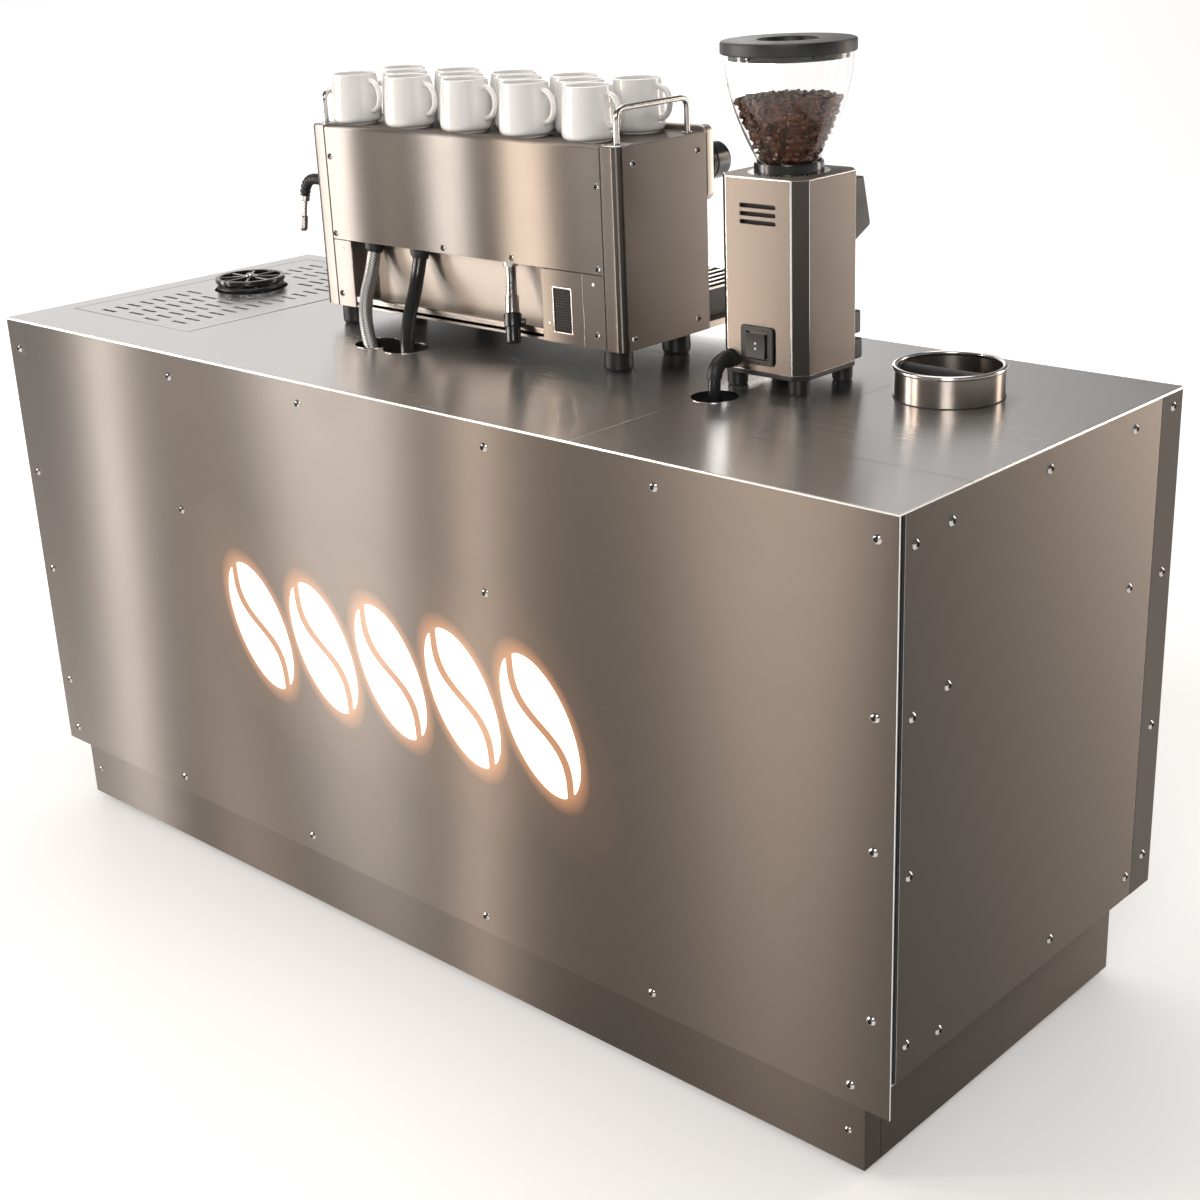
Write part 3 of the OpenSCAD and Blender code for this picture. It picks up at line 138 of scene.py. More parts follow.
def apply_modifier(obj: Piece, kind: str, **settings: object) -> Piece:
    """Adds a modifier with its settings and applies it.

    Args:
        obj: The piece that is changed.
        kind: Blender's name of the modifier's kind.
        settings: The modifier's own values.
    Returns:
        The same piece.
    """
    take(obj)
    modifier = obj.modifiers.new(kind.lower(), kind)
    for key, value in settings.items():
        setattr(modifier, key, value)
    bpy.ops.object.modifier_apply(modifier=modifier.name)
    return obj


def block(name: str, low: Sequence[float], high: Sequence[float], edge: float = 0.0,
          segments: int = 2) -> Piece:
    """Makes a box between two corners with rounded edges.

    Args:
        name: The piece's name.
        low: The lowest corner.
        high: The highest corner.
        edge: The edges' radius, or zero for sharp ones.
        segments: The steps of each rounded edge.
    Returns:
        The new piece.
    """
    deselect_all()
    low, high = Vector(low), Vector(high)
    bpy.ops.mesh.primitive_cube_add(size=1.0, location=(low + high) / 2, scale=high - low)
    obj = settle(name)
    return round_edges(obj, edge, segments) if edge > 0 else obj


def round_edges(obj: Piece, width: float, segments: int = 2, angle: float = 35.0) -> Piece:
    """Rounds every edge of a piece that is sharper than an angle in degrees."""
    return apply_modifier(obj, "BEVEL", width=width, segments=segments, limit_method="ANGLE",
                          angle_limit=math.radians(angle))


def round_some(obj: Piece, width: float, segments: int, choose: Callable[[Vector, Vector], bool]) -> Piece:
    """Bevels the edges that a test picks by their two ends.

    Args:
        obj: The piece that is changed.
        width: The bevel's width.
        segments: The bevel's steps.
        choose: Says whether an edge between two points is rounded.
    Returns:
        The same piece.
    """
    with editing(obj):
        bpy.ops.mesh.select_mode(type="EDGE")
        bpy.ops.mesh.select_all(action="DESELECT")
        bpy.ops.object.mode_set(mode="OBJECT")
        points = obj.data.vertices
        for edge in obj.data.edges:
            edge.select = choose(points[edge.vertices[0]].co, points[edge.vertices[1]].co)
        bpy.ops.object.mode_set(mode="EDIT")
        bpy.ops.mesh.bevel(offset=width, segments=segments, affect="EDGES", clamp_overlap=True)
        bpy.ops.mesh.select_mode(type="FACE")
    return obj


def chain(name: str, points: Sequence[Vector]) -> Piece:
    """Extrudes one vertex along a row of points.

    Args:
        name: The piece's name.
        points: The points in order.
    Returns:
        A piece that is one chain of edges.
    """
    deselect_all()
    bpy.ops.mesh.primitive_plane_add(size=1.0, location=(0, 0, 0))
    obj = settle(name)
    with editing(obj):
        bpy.ops.mesh.merge(type="CENTER")
        bpy.ops.transform.translate(value=points[0])
        for last, new in zip(points, points[1:]):
            bpy.ops.mesh.extrude_vertices_move(TRANSFORM_OT_translate={"value": new - last})
    return obj


def turned(name: str, place: Matrix, profile: Profile, steps: int = 64, edge: float = 0.0) -> Piece:
    """Spins a profile round an axis, as on a lathe.

    Args:
        name: The piece's name.
        place: Where the axis stands, and which way it points.
        profile: Pairs of radius and height along the axis. A closed ring repeats its first pair.
        steps: The number of faces round the axis.
        edge: The radius of the rounded edges, or zero for sharp ones.
    Returns:
        The new piece.
    """
    obj = chain(name, [Vector((radius, 0, height)) for radius, height in profile])
    with editing(obj):
        bpy.ops.mesh.spin(steps=steps, angle=math.tau, center=(0, 0, 0), axis=(0, 0, 1))
        bpy.ops.mesh.select_all(action="SELECT")
        bpy.ops.mesh.remove_doubles(threshold=1e-6)
        bpy.ops.mesh.normals_make_consistent(inside=False)
    obj.data.transform(place)
    return round_edges(obj, edge) if edge > 0 else obj


def disc(name: str, place: Matrix, radius: float, height: float, steps: int = 48, edge: float = 0.0) -> Piece:
    """Makes a solid cylinder that stands on a place."""
    return turned(name, place, [(0, 0), (radius, 0), (radius, height), (0, height)], steps, edge)


def hoop(name: str, place: Matrix, outer: float, inner: float, height: float, steps: int = 64,
         edge: float = 0.0) -> Piece:
    """Makes a flat ring that stands on a place."""
    profile = [(inner, 0), (outer, 0), (outer, height), (inner, height), (inner, 0)]
    return turned(name, place, profile, steps, edge)


def arc(centre: tuple[float, float], radius: float, start: float, end: float,
        steps: int) -> list[tuple[float, float]]:
    """Gives the points of an arc in a profile.

    Args:
        centre: The arc's middle.
        radius: The arc's radius.
        start: The first point's angle in degrees.
        end: The last point's angle in degrees.
        steps: The number of stretches.
    Returns:
        Pairs of numbers along the arc.
    """
    angles = [math.radians(start + (end - start) * i / steps) for i in range(steps + 1)]
    return [(centre[0] + radius * math.cos(a), centre[1] + radius * math.sin(a)) for a in angles]


def sheet_from(name: str, outline: Sequence[Vector], depth: Vector) -> Piece:
    """Fills a closed outline and extrudes it to a solid.

    Args:
        name: The piece's name.
        outline: The outline's points in order, without repeating the first.
        depth: The direction and length of the extrusion.
    Returns:
        The new piece.
    """
    obj = chain(name, [*outline, outline[0]])
    with editing(obj):
        bpy.ops.mesh.remove_doubles(threshold=1e-6)
        bpy.ops.mesh.edge_face_add()
        bpy.ops.mesh.extrude_region_move(TRANSFORM_OT_translate={"value": depth})
        bpy.ops.mesh.select_all(action="SELECT")
        bpy.ops.mesh.normals_make_consistent(inside=False)
    return obj


def filleted(points: Sequence[Vector], radius: float, steps: int = 8) -> list[Vector]:
    """Rounds the corners of a row of points.

    Args:
        points: The points in order.
        radius: The distance from each corner at which its curve starts.
        steps: The number of stretches in each curve.
    Returns:
        The points of the rounded row.
    """
    made = [points[0]]
    for before, corner, after in zip(points, points[1:], points[2:]):
        start = corner + (before - corner).normalized() * radius
        end = corner + (after - corner).normalized() * radius
        for i in range(steps + 1):
            t = i / steps
            made.append(start * (1 - t) ** 2 + corner * 2 * t * (1 - t) + end * t * t)
    return made + [points[-1]]


def rod(name: str, points: Sequence[Vector], radius: float, sides: int = 16, smooth: bool = False) -> Piece:
    """Sweeps a round rod along points.

    Args:
        name: The piece's name.
        points: The middle line.
        radius: The rod's radius.
        sides: The faces round the rod.
        smooth: Whether a smooth curve is drawn through the points, or a row of straight stretches.
    Returns:
        The rod as a closed mesh, with a UV map along and round it.
    """
    curve = bpy.data.curves.new(name, "CURVE")
    curve.dimensions = "3D"
    curve.bevel_depth = radius
    curve.bevel_resolution = max(1, sides // 4 - 1)
    curve.use_fill_caps = True
    curve.resolution_u = 6
    spline = curve.splines.new("BEZIER" if smooth else "POLY")
    if smooth:
        spline.bezier_points.add(len(points) - 1)
        for knot, point in zip(spline.bezier_points, points):
            knot.co = point
            knot.handle_left_type = knot.handle_right_type = "AUTO"
    else:
        spline.points.add(len(points) - 1)
        for knot, point in zip(spline.points, points):
            knot.co = (*point, 1)
    obj = bpy.data.objects.new(name, curve)
    bpy.context.scene.collection.objects.link(obj)
    take(obj)
    bpy.ops.object.convert(target="MESH")
    made = bpy.context.active_object
    with editing(made):
        bpy.ops.mesh.remove_doubles(threshold=1e-6)
        bpy.ops.mesh.normals_make_consistent(inside=False)
    return made


def weld(name: str, *pieces: Piece) -> Piece:
    """Joins pieces into one mesh of that name."""
    made = take(pieces[0])
    for piece in pieces[1:]:
        piece.select_set(True)
    if len(pieces) > 1:
        bpy.ops.object.join()
    made.name = name
    made.data.name = name
    return made


def copies(obj: Piece, places: Sequence[Matrix], name: str) -> Piece:
    """Repeats a piece at each place, each copy with its own mesh, and joins them.

    Args:
        obj: The piece as it is made at the origin. It is used up.
        places: Where each copy goes.
        name: The joined piece's name.
    Returns:
        One piece that holds all the copies.
    """
    made = []
    for place in places:
        twin = obj.copy()
        twin.data = obj.data.copy()
        twin.data.transform(place)
        bpy.context.scene.collection.objects.link(twin)
        made.append(twin)
    bpy.data.objects.remove(obj)
    return weld(name, *made)


def cut(obj: Piece, *tools: Piece) -> Piece:
    """Takes the tools' shapes out of a piece and removes the tools."""
    tool = weld("tool", *tools)
    apply_modifier(obj, "BOOLEAN", operation="DIFFERENCE", solver="EXACT", object=tool)
    bpy.data.objects.remove(tool)
    return obj


def polish(obj: Piece, angle: float = 40.0) -> Piece:
    """Shades a piece smooth up to an angle, with flat faces kept flat."""
    take(obj)
    bpy.ops.object.shade_smooth_by_angle(angle=math.radians(angle))
    return apply_modifier(obj, "WEIGHTED_NORMAL", keep_sharp=True)


def lay_grain(obj: Piece, upright: bool = False) -> Piece:
    """Gives a piece a UV map in metres whose first axis is the brushing's direction.

    Args:
        obj: The piece.
        upright: Whether the grain runs up the piece, or along it.
    Returns:
        The same piece.
    """
    if not obj.data.uv_layers:
        obj.data.uv_layers.new(name="UVMap")
    with editing(obj):
        bpy.ops.uv.cube_project(cube_size=2.0, correct_aspect=False)
    if upright:
        for corner in obj.data.uv_layers.active.data:
            corner.uv = (corner.uv[1], corner.uv[0])
    return obj


def dress(obj: Piece, *finishes: Finish) -> Piece:
    """Puts the finishes into a piece's material slots, the first one on all faces."""
    obj.data.materials.clear()
    for finish in finishes:
        obj.data.materials.append(finish)
    return obj


def mark(obj: Piece, index: int, choose: Callable[[Vector, Vector], bool]) -> Piece:
    """Gives a material slot to the faces that a test picks by their middle and normal."""
    for face in obj.data.polygons:
        if choose(face.center, face.normal):
            face.material_index = index
    return obj


# Finishes


class Wiring:
    """The nodes of a material or of the world."""

    def __init__(self, owner: Finish | bpy.types.World) -> None:
        """Starts without nodes."""
        owner.use_nodes = True
        self.tree = owner.node_tree
        self.tree.nodes.clear()

    def node(self, kind: str, inputs: dict[str | int, object] | None = None,
             **settings: object) -> bpy.types.Node:
        """Adds a node.

        Args:
            kind: Blender's name of the node's kind.
            inputs: Values or sockets for the node's inputs.
            settings: The node's own values.
        Returns:
            The new node.
        """
        made = self.tree.nodes.new(kind)
        for key, value in settings.items():
            setattr(made, key, value)
        for key, value in (inputs or {}).items():
            self.put(made.inputs[key], value)
        return made

    def put(self, socket: Socket, value: object) -> None:
        """Links a socket, or sets its own value."""
        if isinstance(value, Socket):
            self.tree.links.new(value, socket)
        elif socket.type == "RGBA":
            socket.default_value = (*value, 1.0)
        else:
            socket.default_value = value

    def sums(self, operation: str, *values: object) -> Socket:
        """Works out one step of arithmetic."""
        return self.node("ShaderNodeMath", dict(enumerate(values)), operation=operation).outputs[0]


class Graph(Wiring):
    """A material's nodes, wired to one surface shader."""

    def __init__(self, name: str) -> None:
        """Starts an empty material with its shader and output."""
        self.material: Finish = bpy.data.materials.new(name)
        super().__init__(self.material)
        self.shader = self.node("ShaderNodeBsdfPrincipled")
        self.node("ShaderNodeOutputMaterial", {"Surface": self.shader.outputs["BSDF"]})
        self.places = self.node("ShaderNodeTexCoord")

    def surface(self, inputs: dict[str, object]) -> None:
        """Sets or links the shader's inputs."""
        for key, value in inputs.items():
            self.put(self.shader.inputs[key], value)

    @property
    def object_place(self) -> Socket:
        """Gives the object's own coordinates."""
        return self.places.outputs["Object"]

    @property
    def grain_place(self) -> Socket:
        """Gives the piece's UV map."""
        return self.places.outputs["UV"]

    def noise(self, where: Socket, stretch: Sequence[float], detail: float = 2.0,
              rough: float = 0.5) -> Socket:
        """Adds a noise pattern.

        Args:
            where: The coordinates.
            stretch: The pattern's repeats in a metre along each axis.
            detail: The noise's detail.
            rough: The noise's roughness.
        Returns:
            The noise's value.
        """
        mapped = self.node("ShaderNodeMapping", {"Vector": where, "Scale": tuple(stretch)})
        inputs = {"Vector": mapped.outputs[0], "Scale": 1.0, "Detail": detail, "Roughness": rough}
        return self.node("ShaderNodeTexNoise", inputs).outputs["Fac"]

    def between(self, value: Socket, start: float, end: float, low: float, high: float) -> Socket:
        """Maps a value from one range to another and keeps it there."""
        inputs = {"Value": value, "From Min": start, "From Max": end, "To Min": low, "To Max": high}
        return self.node("ShaderNodeMapRange", inputs).outputs["Result"]

    def shades(self, value: Socket, dark: Colour, light: Colour, start: float = 0.3,
               end: float = 0.7) -> Socket:
        """Blends two colours by a value."""
        ramp = self.node("ShaderNodeValToRGB", {"Fac": value})
        for stop, (at, colour) in zip(ramp.color_ramp.elements, ((start, dark), (end, light))):
            stop.position = at
            stop.color = (*colour, 1.0)
        return ramp.outputs["Color"]

    def bump(self, height: Socket, strength: float, depth: float) -> Socket:
        """Turns a height into a bumped normal."""
        inputs = {"Height": height, "Strength": strength, "Distance": depth}
        return self.node("ShaderNodeBump", inputs).outputs["Normal"]


def tint(colour: Colour, share: float) -> Colour:
    """Gives a colour that is lighter or darker by a share."""
    return tuple(min(1.0, max(0.0, part * share)) for part in colour)


@dataclass(frozen=True)
class BrushedSteel:
    """Stainless sheet, slightly wavy, with a straight brushed grain along the piece's UV map."""

    name: str
    colour: Colour
    roughness: float = 0.48
    anisotropy: float = 1.0
    contrast: float = 0.06
    depth: float = 0.000012
    wave_length: float = 0.851
    wave_start: float = -0.236
    wave_slope: float = 0.0

    def graph(self) -> Graph:
        """Makes the grain's nodes.

        Returns:
            The material's graph.
        """
        made = Graph(self.name)
        streaks = made.noise(made.grain_place, (16.0, 760.0, 1.0), 3.0, 0.6)
        hairs = made.noise(made.grain_place, (50.0, 2600.0, 1.0), 2.0, 0.6)
        clouds = made.noise(made.object_place, (3.1, 3.1, 3.1), 3.0, 0.6)
        blend = made.sums("ADD", made.sums("MULTIPLY", streaks, 0.6), made.sums("MULTIPLY", hairs, 0.4))
        mottled = made.sums("ADD", blend, made.between(clouds, 0.3, 0.7, -0.09, 0.09))
        dark, light = tint(self.colour, 1 - self.contrast), tint(self.colour, 1 + self.contrast)
        tangent = made.node("ShaderNodeTangent", direction_type="UV_MAP")
        turns = math.tau / self.wave_length
        along = made.node("ShaderNodeSeparateXYZ", {0: made.object_place}).outputs["X"]
        wave = made.sums("COSINE", made.sums("MULTIPLY_ADD", along, turns, -turns * self.wave_start))
        height = made.sums("MULTIPLY_ADD", wave, -self.wave_slope / turns,
                           made.sums("MULTIPLY", blend, self.depth))
        made.surface({
            "Base Color": made.shades(mottled, dark, light),
            "Metallic": 1.0,
            "Roughness": made.between(mottled, 0.3, 0.7, self.roughness - 0.03, self.roughness + 0.04),
            "Anisotropic": self.anisotropy,
            "Anisotropic Rotation": 0.25,
            "Tangent": tangent.outputs[0],
            "Normal": made.bump(height, 1.0, 1.0),
        })
        return made

    def make(self) -> Finish:
        """Makes the material."""
        return self.graph().material


@dataclass(frozen=True)
class LitPanelSteel(BrushedSteel):
    """Brushed sheet with a painted glow of warm light round the sign's cut-outs, emitted by the steel itself.
    """

    centres: tuple[tuple[float, float], ...] = ()
    half_length: float = 0.11
    half_width: float = 0.063
    tilt: float = 28.0
    painted_glow_colour: Colour = (1.0, 0.42, 0.17)
    near_strength: float = 0.42
    far_strength: float = 0.05
    near_reach: float = 1.24
    far_reach: float = 2.1
    overlap: float = 0.25

    def make(self) -> Finish:
        """Makes the material, with a painted glow that fades away from the nearest cut-out."""
        made = self.graph()
        axes = made.node("ShaderNodeSeparateXYZ", {0: made.object_place})
        nearest: Socket | None = None
        for x, z in self.centres:
            shifted = made.node("ShaderNodeCombineXYZ", {
                0: made.sums("SUBTRACT", axes.outputs["X"], x),
                1: made.sums("SUBTRACT", axes.outputs["Z"], z)})
            oval = made.node("ShaderNodeMapping", {
                "Vector": shifted.outputs[0],
                "Rotation": (0.0, 0.0, math.radians(-self.tilt))})
            scaled = made.node("ShaderNodeMapping", {
                "Vector": oval.outputs[0],
                "Scale": (1.0 / self.half_width, 1.0 / self.half_length, 1.0)})
            reach = made.node("ShaderNodeVectorMath", {0: scaled.outputs[0]},
                              operation="LENGTH").outputs["Value"]
            nearest = reach if nearest is None else made.sums("SMOOTH_MIN", nearest, reach, self.overlap)
        # Painted glow: the steel itself emits warm light that fades away from the cut-outs.
        near = made.between(nearest, 1.0, self.near_reach, self.near_strength, 0.0)
        far = made.between(nearest, 1.0, self.far_reach, self.far_strength, 0.0)
        made.surface({"Emission Color": self.painted_glow_colour, "Emission Strength": made.sums("ADD", near, far)})
        return made.material


@dataclass(frozen=True)
class PolishedSteel:
    """Bright steel with fine scratches that run every way."""

    name: str
    colour: Colour
    roughness: float = 0.16

    def make(self) -> Finish:
        """Makes the material."""
        made = Graph(self.name)
        clouds = made.noise(made.object_place, (40.0, 40.0, 40.0), 4.0, 0.6)
        scratches = made.noise(made.object_place, (900.0, 900.0, 120.0), 3.0, 0.7)
        made.surface({
            "Base Color": made.shades(clouds, tint(self.colour, 0.93), tint(self.colour, 1.05)),
            "Metallic": 1.0,
            "Roughness": made.between(scratches, 0.3, 0.7, self.roughness - 0.05, self.roughness + 0.06),
            "Normal": made.bump(scratches, 0.12, 0.0001),
        })
        return made.material


@dataclass(frozen=True)
class Moulding:
    """Moulded plastic or rubber with a fine spark-eroded texture."""

    name: str
    colour: Colour
    roughness: float = 0.42
    texture: float = 1400.0
    depth: float = 0.0002
    coat: float = 0.0
    sheen: float = 0.0
    mottle: float = 0.22

    def make(self) -> Finish:
        """Makes the material."""
        made = Graph(self.name)
        grit = made.noise(made.object_place, (self.texture,) * 3, 3.0, 0.6)
        wear = made.noise(made.object_place, (14.0, 14.0, 14.0), 4.0, 0.6)
        made.surface({
            "Base Color": made.shades(wear, tint(self.colour, 1 - self.mottle),
                                      tint(self.colour, 1 + self.mottle)),
            "Roughness": made.between(wear, 0.3, 0.7, self.roughness - 0.06, self.roughness + 0.08),
            "Normal": made.bump(grit, 0.25, self.depth),
            "Coat Weight": self.coat,
            "Coat Roughness": 0.12,
            "Sheen Weight": self.sheen,
        })
        return made.material


@dataclass(frozen=True)
class Glaze:
    """White stoneware under a clear glaze with a faint pooling of tone."""

    name: str
    colour: Colour
    roughness: float = 0.16

    def make(self) -> Finish:
        """Makes the material."""
        made = Graph(self.name)
        pools = made.noise(made.object_place, (22.0, 22.0, 22.0), 3.0, 0.5)
        orange_peel = made.noise(made.object_place, (170.0, 170.0, 170.0), 2.0, 0.5)
        made.surface({
            "Base Color": made.shades(pools, tint(self.colour, 0.97), tint(self.colour, 1.02)),
            "Roughness": made.between(pools, 0.3, 0.7, self.roughness - 0.03, self.roughness + 0.05),
            "Normal": made.bump(orange_peel, 0.08, 0.0004),
            "Coat Weight": 0.6,
            "Coat Roughness": 0.06,
            "Subsurface Weight": 0.05,
            "Subsurface Radius": (0.004, 0.003, 0.002),
        })
        return made.material


@dataclass(frozen=True)
class ClearMoulding:
    """Clear moulded plastic with faint handling marks."""

    name: str
    colour: Colour
    roughness: float = 0.03

    def make(self) -> Finish:
        """Makes the material."""
        made = Graph(self.name)
        marks = made.noise(made.object_place, (30.0, 30.0, 30.0), 5.0, 0.7)
        made.surface({
            "Base Color": self.colour,
            "Transmission Weight": 1.0,
            "IOR": 1.3,
            "Roughness": made.between(marks, 0.4, 0.75, self.roughness, self.roughness + 0.05),
        })
        return made.material


@dataclass(frozen=True)
class Roast:
    """Roasted beans, mottled brown with an oily shine."""

    name: str
    dark: Colour
    light: Colour

    def make(self) -> Finish:
        """Makes the material."""
        made = Graph(self.name)
        tones = made.noise(made.object_place, (75.0, 75.0, 75.0), 2.0, 0.5)
        skin = made.noise(made.object_place, (900.0, 900.0, 900.0), 3.0, 0.6)
        made.surface({
            "Base Color": made.shades(tones, self.dark, self.light, 0.32, 0.68),
            "Roughness": made.between(skin, 0.3, 0.7, 0.3, 0.5),
            "Normal": made.bump(skin, 0.3, 0.0004),
            "Coat Weight": 0.25,
            "Coat Roughness": 0.2,
        })
        return made.material


@dataclass(frozen=True)
class Glow:
    """Opal sheet lit from behind, a little uneven between its light strips."""

    name: str
    colour: Colour
    strength: float

    def make(self) -> Finish:
        """Makes the material."""
        made = Graph(self.name)
        drift = made.noise(made.object_place, (5.0, 5.0, 9.0), 2.0, 0.5)
        made.surface({
            "Base Color": (0.85, 0.83, 0.8),
            "Roughness": 0.4,
            "Emission Color": self.colour,
            "Emission Strength": made.between(drift, 0.3, 0.7, self.strength * 0.92, self.strength),
        })
        return made.material


@dataclass(frozen=True)
class Braid:
    """Woven steel strands round a hose, along the hose's UV map."""

    name: str
    colour: Colour
    strands_round: float = 18.0
    strands_along: float = 420.0

    def make(self) -> Finish:
        """Makes the material from two crossing sets of diagonal strands."""
        made = Graph(self.name)
        axes = made.node("ShaderNodeSeparateXYZ", {0: made.grain_place})
        along = made.sums("MULTIPLY", axes.outputs["X"], self.strands_along)
        round_ = made.sums("MULTIPLY", axes.outputs["Y"], self.strands_round)
        rise = made.sums("PINGPONG", made.sums("ADD", along, round_), 1.0)
        fall = made.sums("PINGPONG", made.sums("SUBTRACT", along, round_), 1.0)
        weave = made.sums("MAXIMUM", rise, fall)
        made.surface({
            "Base Color": made.shades(weave, tint(self.colour, 0.45), self.colour, 0.45, 0.8),
            "Metallic": 1.0,
            "Roughness": made.between(weave, 0.3, 1.0, 0.5, 0.3),
            "Normal": made.bump(weave, 0.5, 0.0007),
        })
        return made.material


class Finishes:
    """All the finishes of the cart, each made once."""

    def __init__(self, sign: "SignLayout") -> None:
        """Makes every finish.

        Args:
            sign: Where the sign's cut-outs lie, for the painted glow round them.
        """
        # Painted shade: the upright sheets' steel is far darker than the worktop's, standing in for the shade
        # that falls on them.
        warm = (0.168, 0.148, 0.132)
        self.panel = BrushedSteel("panel_steel", warm, wave_slope=0.089).make()
        self.lit_panel = LitPanelSteel("painted_shade_glow_panel_steel", warm, centres=sign.centres, tilt=sign.tilt,
                                       half_length=sign.length / 2, half_width=sign.width / 2,
                                       wave_slope=0.089).make()
        # Painted shade: the plinth is darkened further, for the shade under the front panel.
        self.plinth = BrushedSteel("plinth_steel_painted_shade", tint(warm, 0.85), wave_slope=0.089).make()
        self.worktop = BrushedSteel("worktop_steel", (0.6, 0.58, 0.565), 0.24, 0.8, 0.04).make()
        # Painted shade: the machine's and the grinder's steel is darkened well below stainless's own colour.
        self.machine = BrushedSteel("machine_steel_painted_shade", (0.185, 0.165, 0.148), 0.36, wave_length=0.3,
                                    wave_start=-0.155, wave_slope=0.055).make()
        self.case = BrushedSteel("case_steel_painted_shade", (0.19, 0.169, 0.152), 0.4).make()
        self.recess = BrushedSteel("recess_steel", (0.35, 0.312, 0.28), 0.5, 0.4).make()
        self.turned = BrushedSteel("turned_steel", (0.48, 0.43, 0.39), 0.3, 0.8).make()
        # Painted highlight: edges and cut faces get a far brighter steel than the sheets they belong to.
        self.edge = PolishedSteel("edge_painted_highlight", (0.85, 0.83, 0.81), 0.2).make()
        self.bright = PolishedSteel("bright_steel", (0.6, 0.575, 0.55)).make()
        self.alloy = PolishedSteel("mill_alloy", (0.5, 0.5, 0.5), 0.38).make()
        self.black = Moulding("black_plastic", (0.016, 0.016, 0.016)).make()
        self.gloss = Moulding("gloss_black", (0.012, 0.012, 0.012), 0.22, 500.0, 0.00005, 0.3).make()
        self.rubber = Moulding("black_rubber", (0.018, 0.018, 0.018), 0.55, 900.0, 0.0003, 0.0, 0.1).make()
        self.hose = Moulding("hose_rubber", (0.014, 0.014, 0.014), 0.24, 300.0, 0.00006, 0.3).make()
        # Painted shade: near-black for gaps, sockets, pockets, vent backs and undersides where shade falls.
        self.shadow = Moulding("dark_inside", (0.006, 0.006, 0.006), 0.7).make()
        self.white = Moulding("white_plastic", (0.72, 0.72, 0.70), 0.4, 700.0, 0.0002, mottle=0.03).make()
        self.mark = Moulding("white_mark", (0.85, 0.85, 0.84), 0.5, 700.0, 0.0001).make()
        self.ceramic = Glaze("white_glaze", (0.80, 0.785, 0.77)).make()
        self.bisque = Moulding("bare_stoneware", (0.62, 0.58, 0.53), 0.8, 1200.0, 0.0004).make()
        self.clear = ClearMoulding("clear_hopper", (0.96, 0.96, 0.955)).make()
        self.roast = Roast("roasted_beans", (0.035, 0.012, 0.006), (0.17, 0.062, 0.03)).make()
        self.glow = Glow("opal_glow", (1.0, 0.87, 0.78), 1.7).make()
        # Painted glow: the steel edges of the sign's cut-outs glow warm, though they are no lamp.
        self.painted_rim_glow = Glow("painted_rim_glow", (1.0, 0.5, 0.24), 0.9).make()
        self.braid = Braid("braided_steel", (0.62, 0.61, 0.6)).make()


# Studio


@dataclass
class Strip:
    """A tall or wide soft light."""

    name: str
    place: tuple[float, float, float]
    aim: tuple[float, float, float]
    width: float
    height: float
    radiance: float
    colour: Colour = (1.0, 0.97, 0.94)

    def make(self) -> None:
        """Adds the light, with the power that gives its radiance."""
        lamp = bpy.data.lights.new(self.name, "AREA")
        lamp.shape = "RECTANGLE"
        lamp.size = self.width
        lamp.size_y = self.height
        lamp.energy = self.radiance * math.pi * self.width * self.height
        lamp.color = self.colour
        obj = bpy.data.objects.new(self.name, lamp)
        bpy.context.scene.collection.objects.link(obj)
        obj.location = self.place
        obj.rotation_euler = (Vector(self.aim) - Vector(self.place)).to_track_quat("-Z", "Y").to_euler()


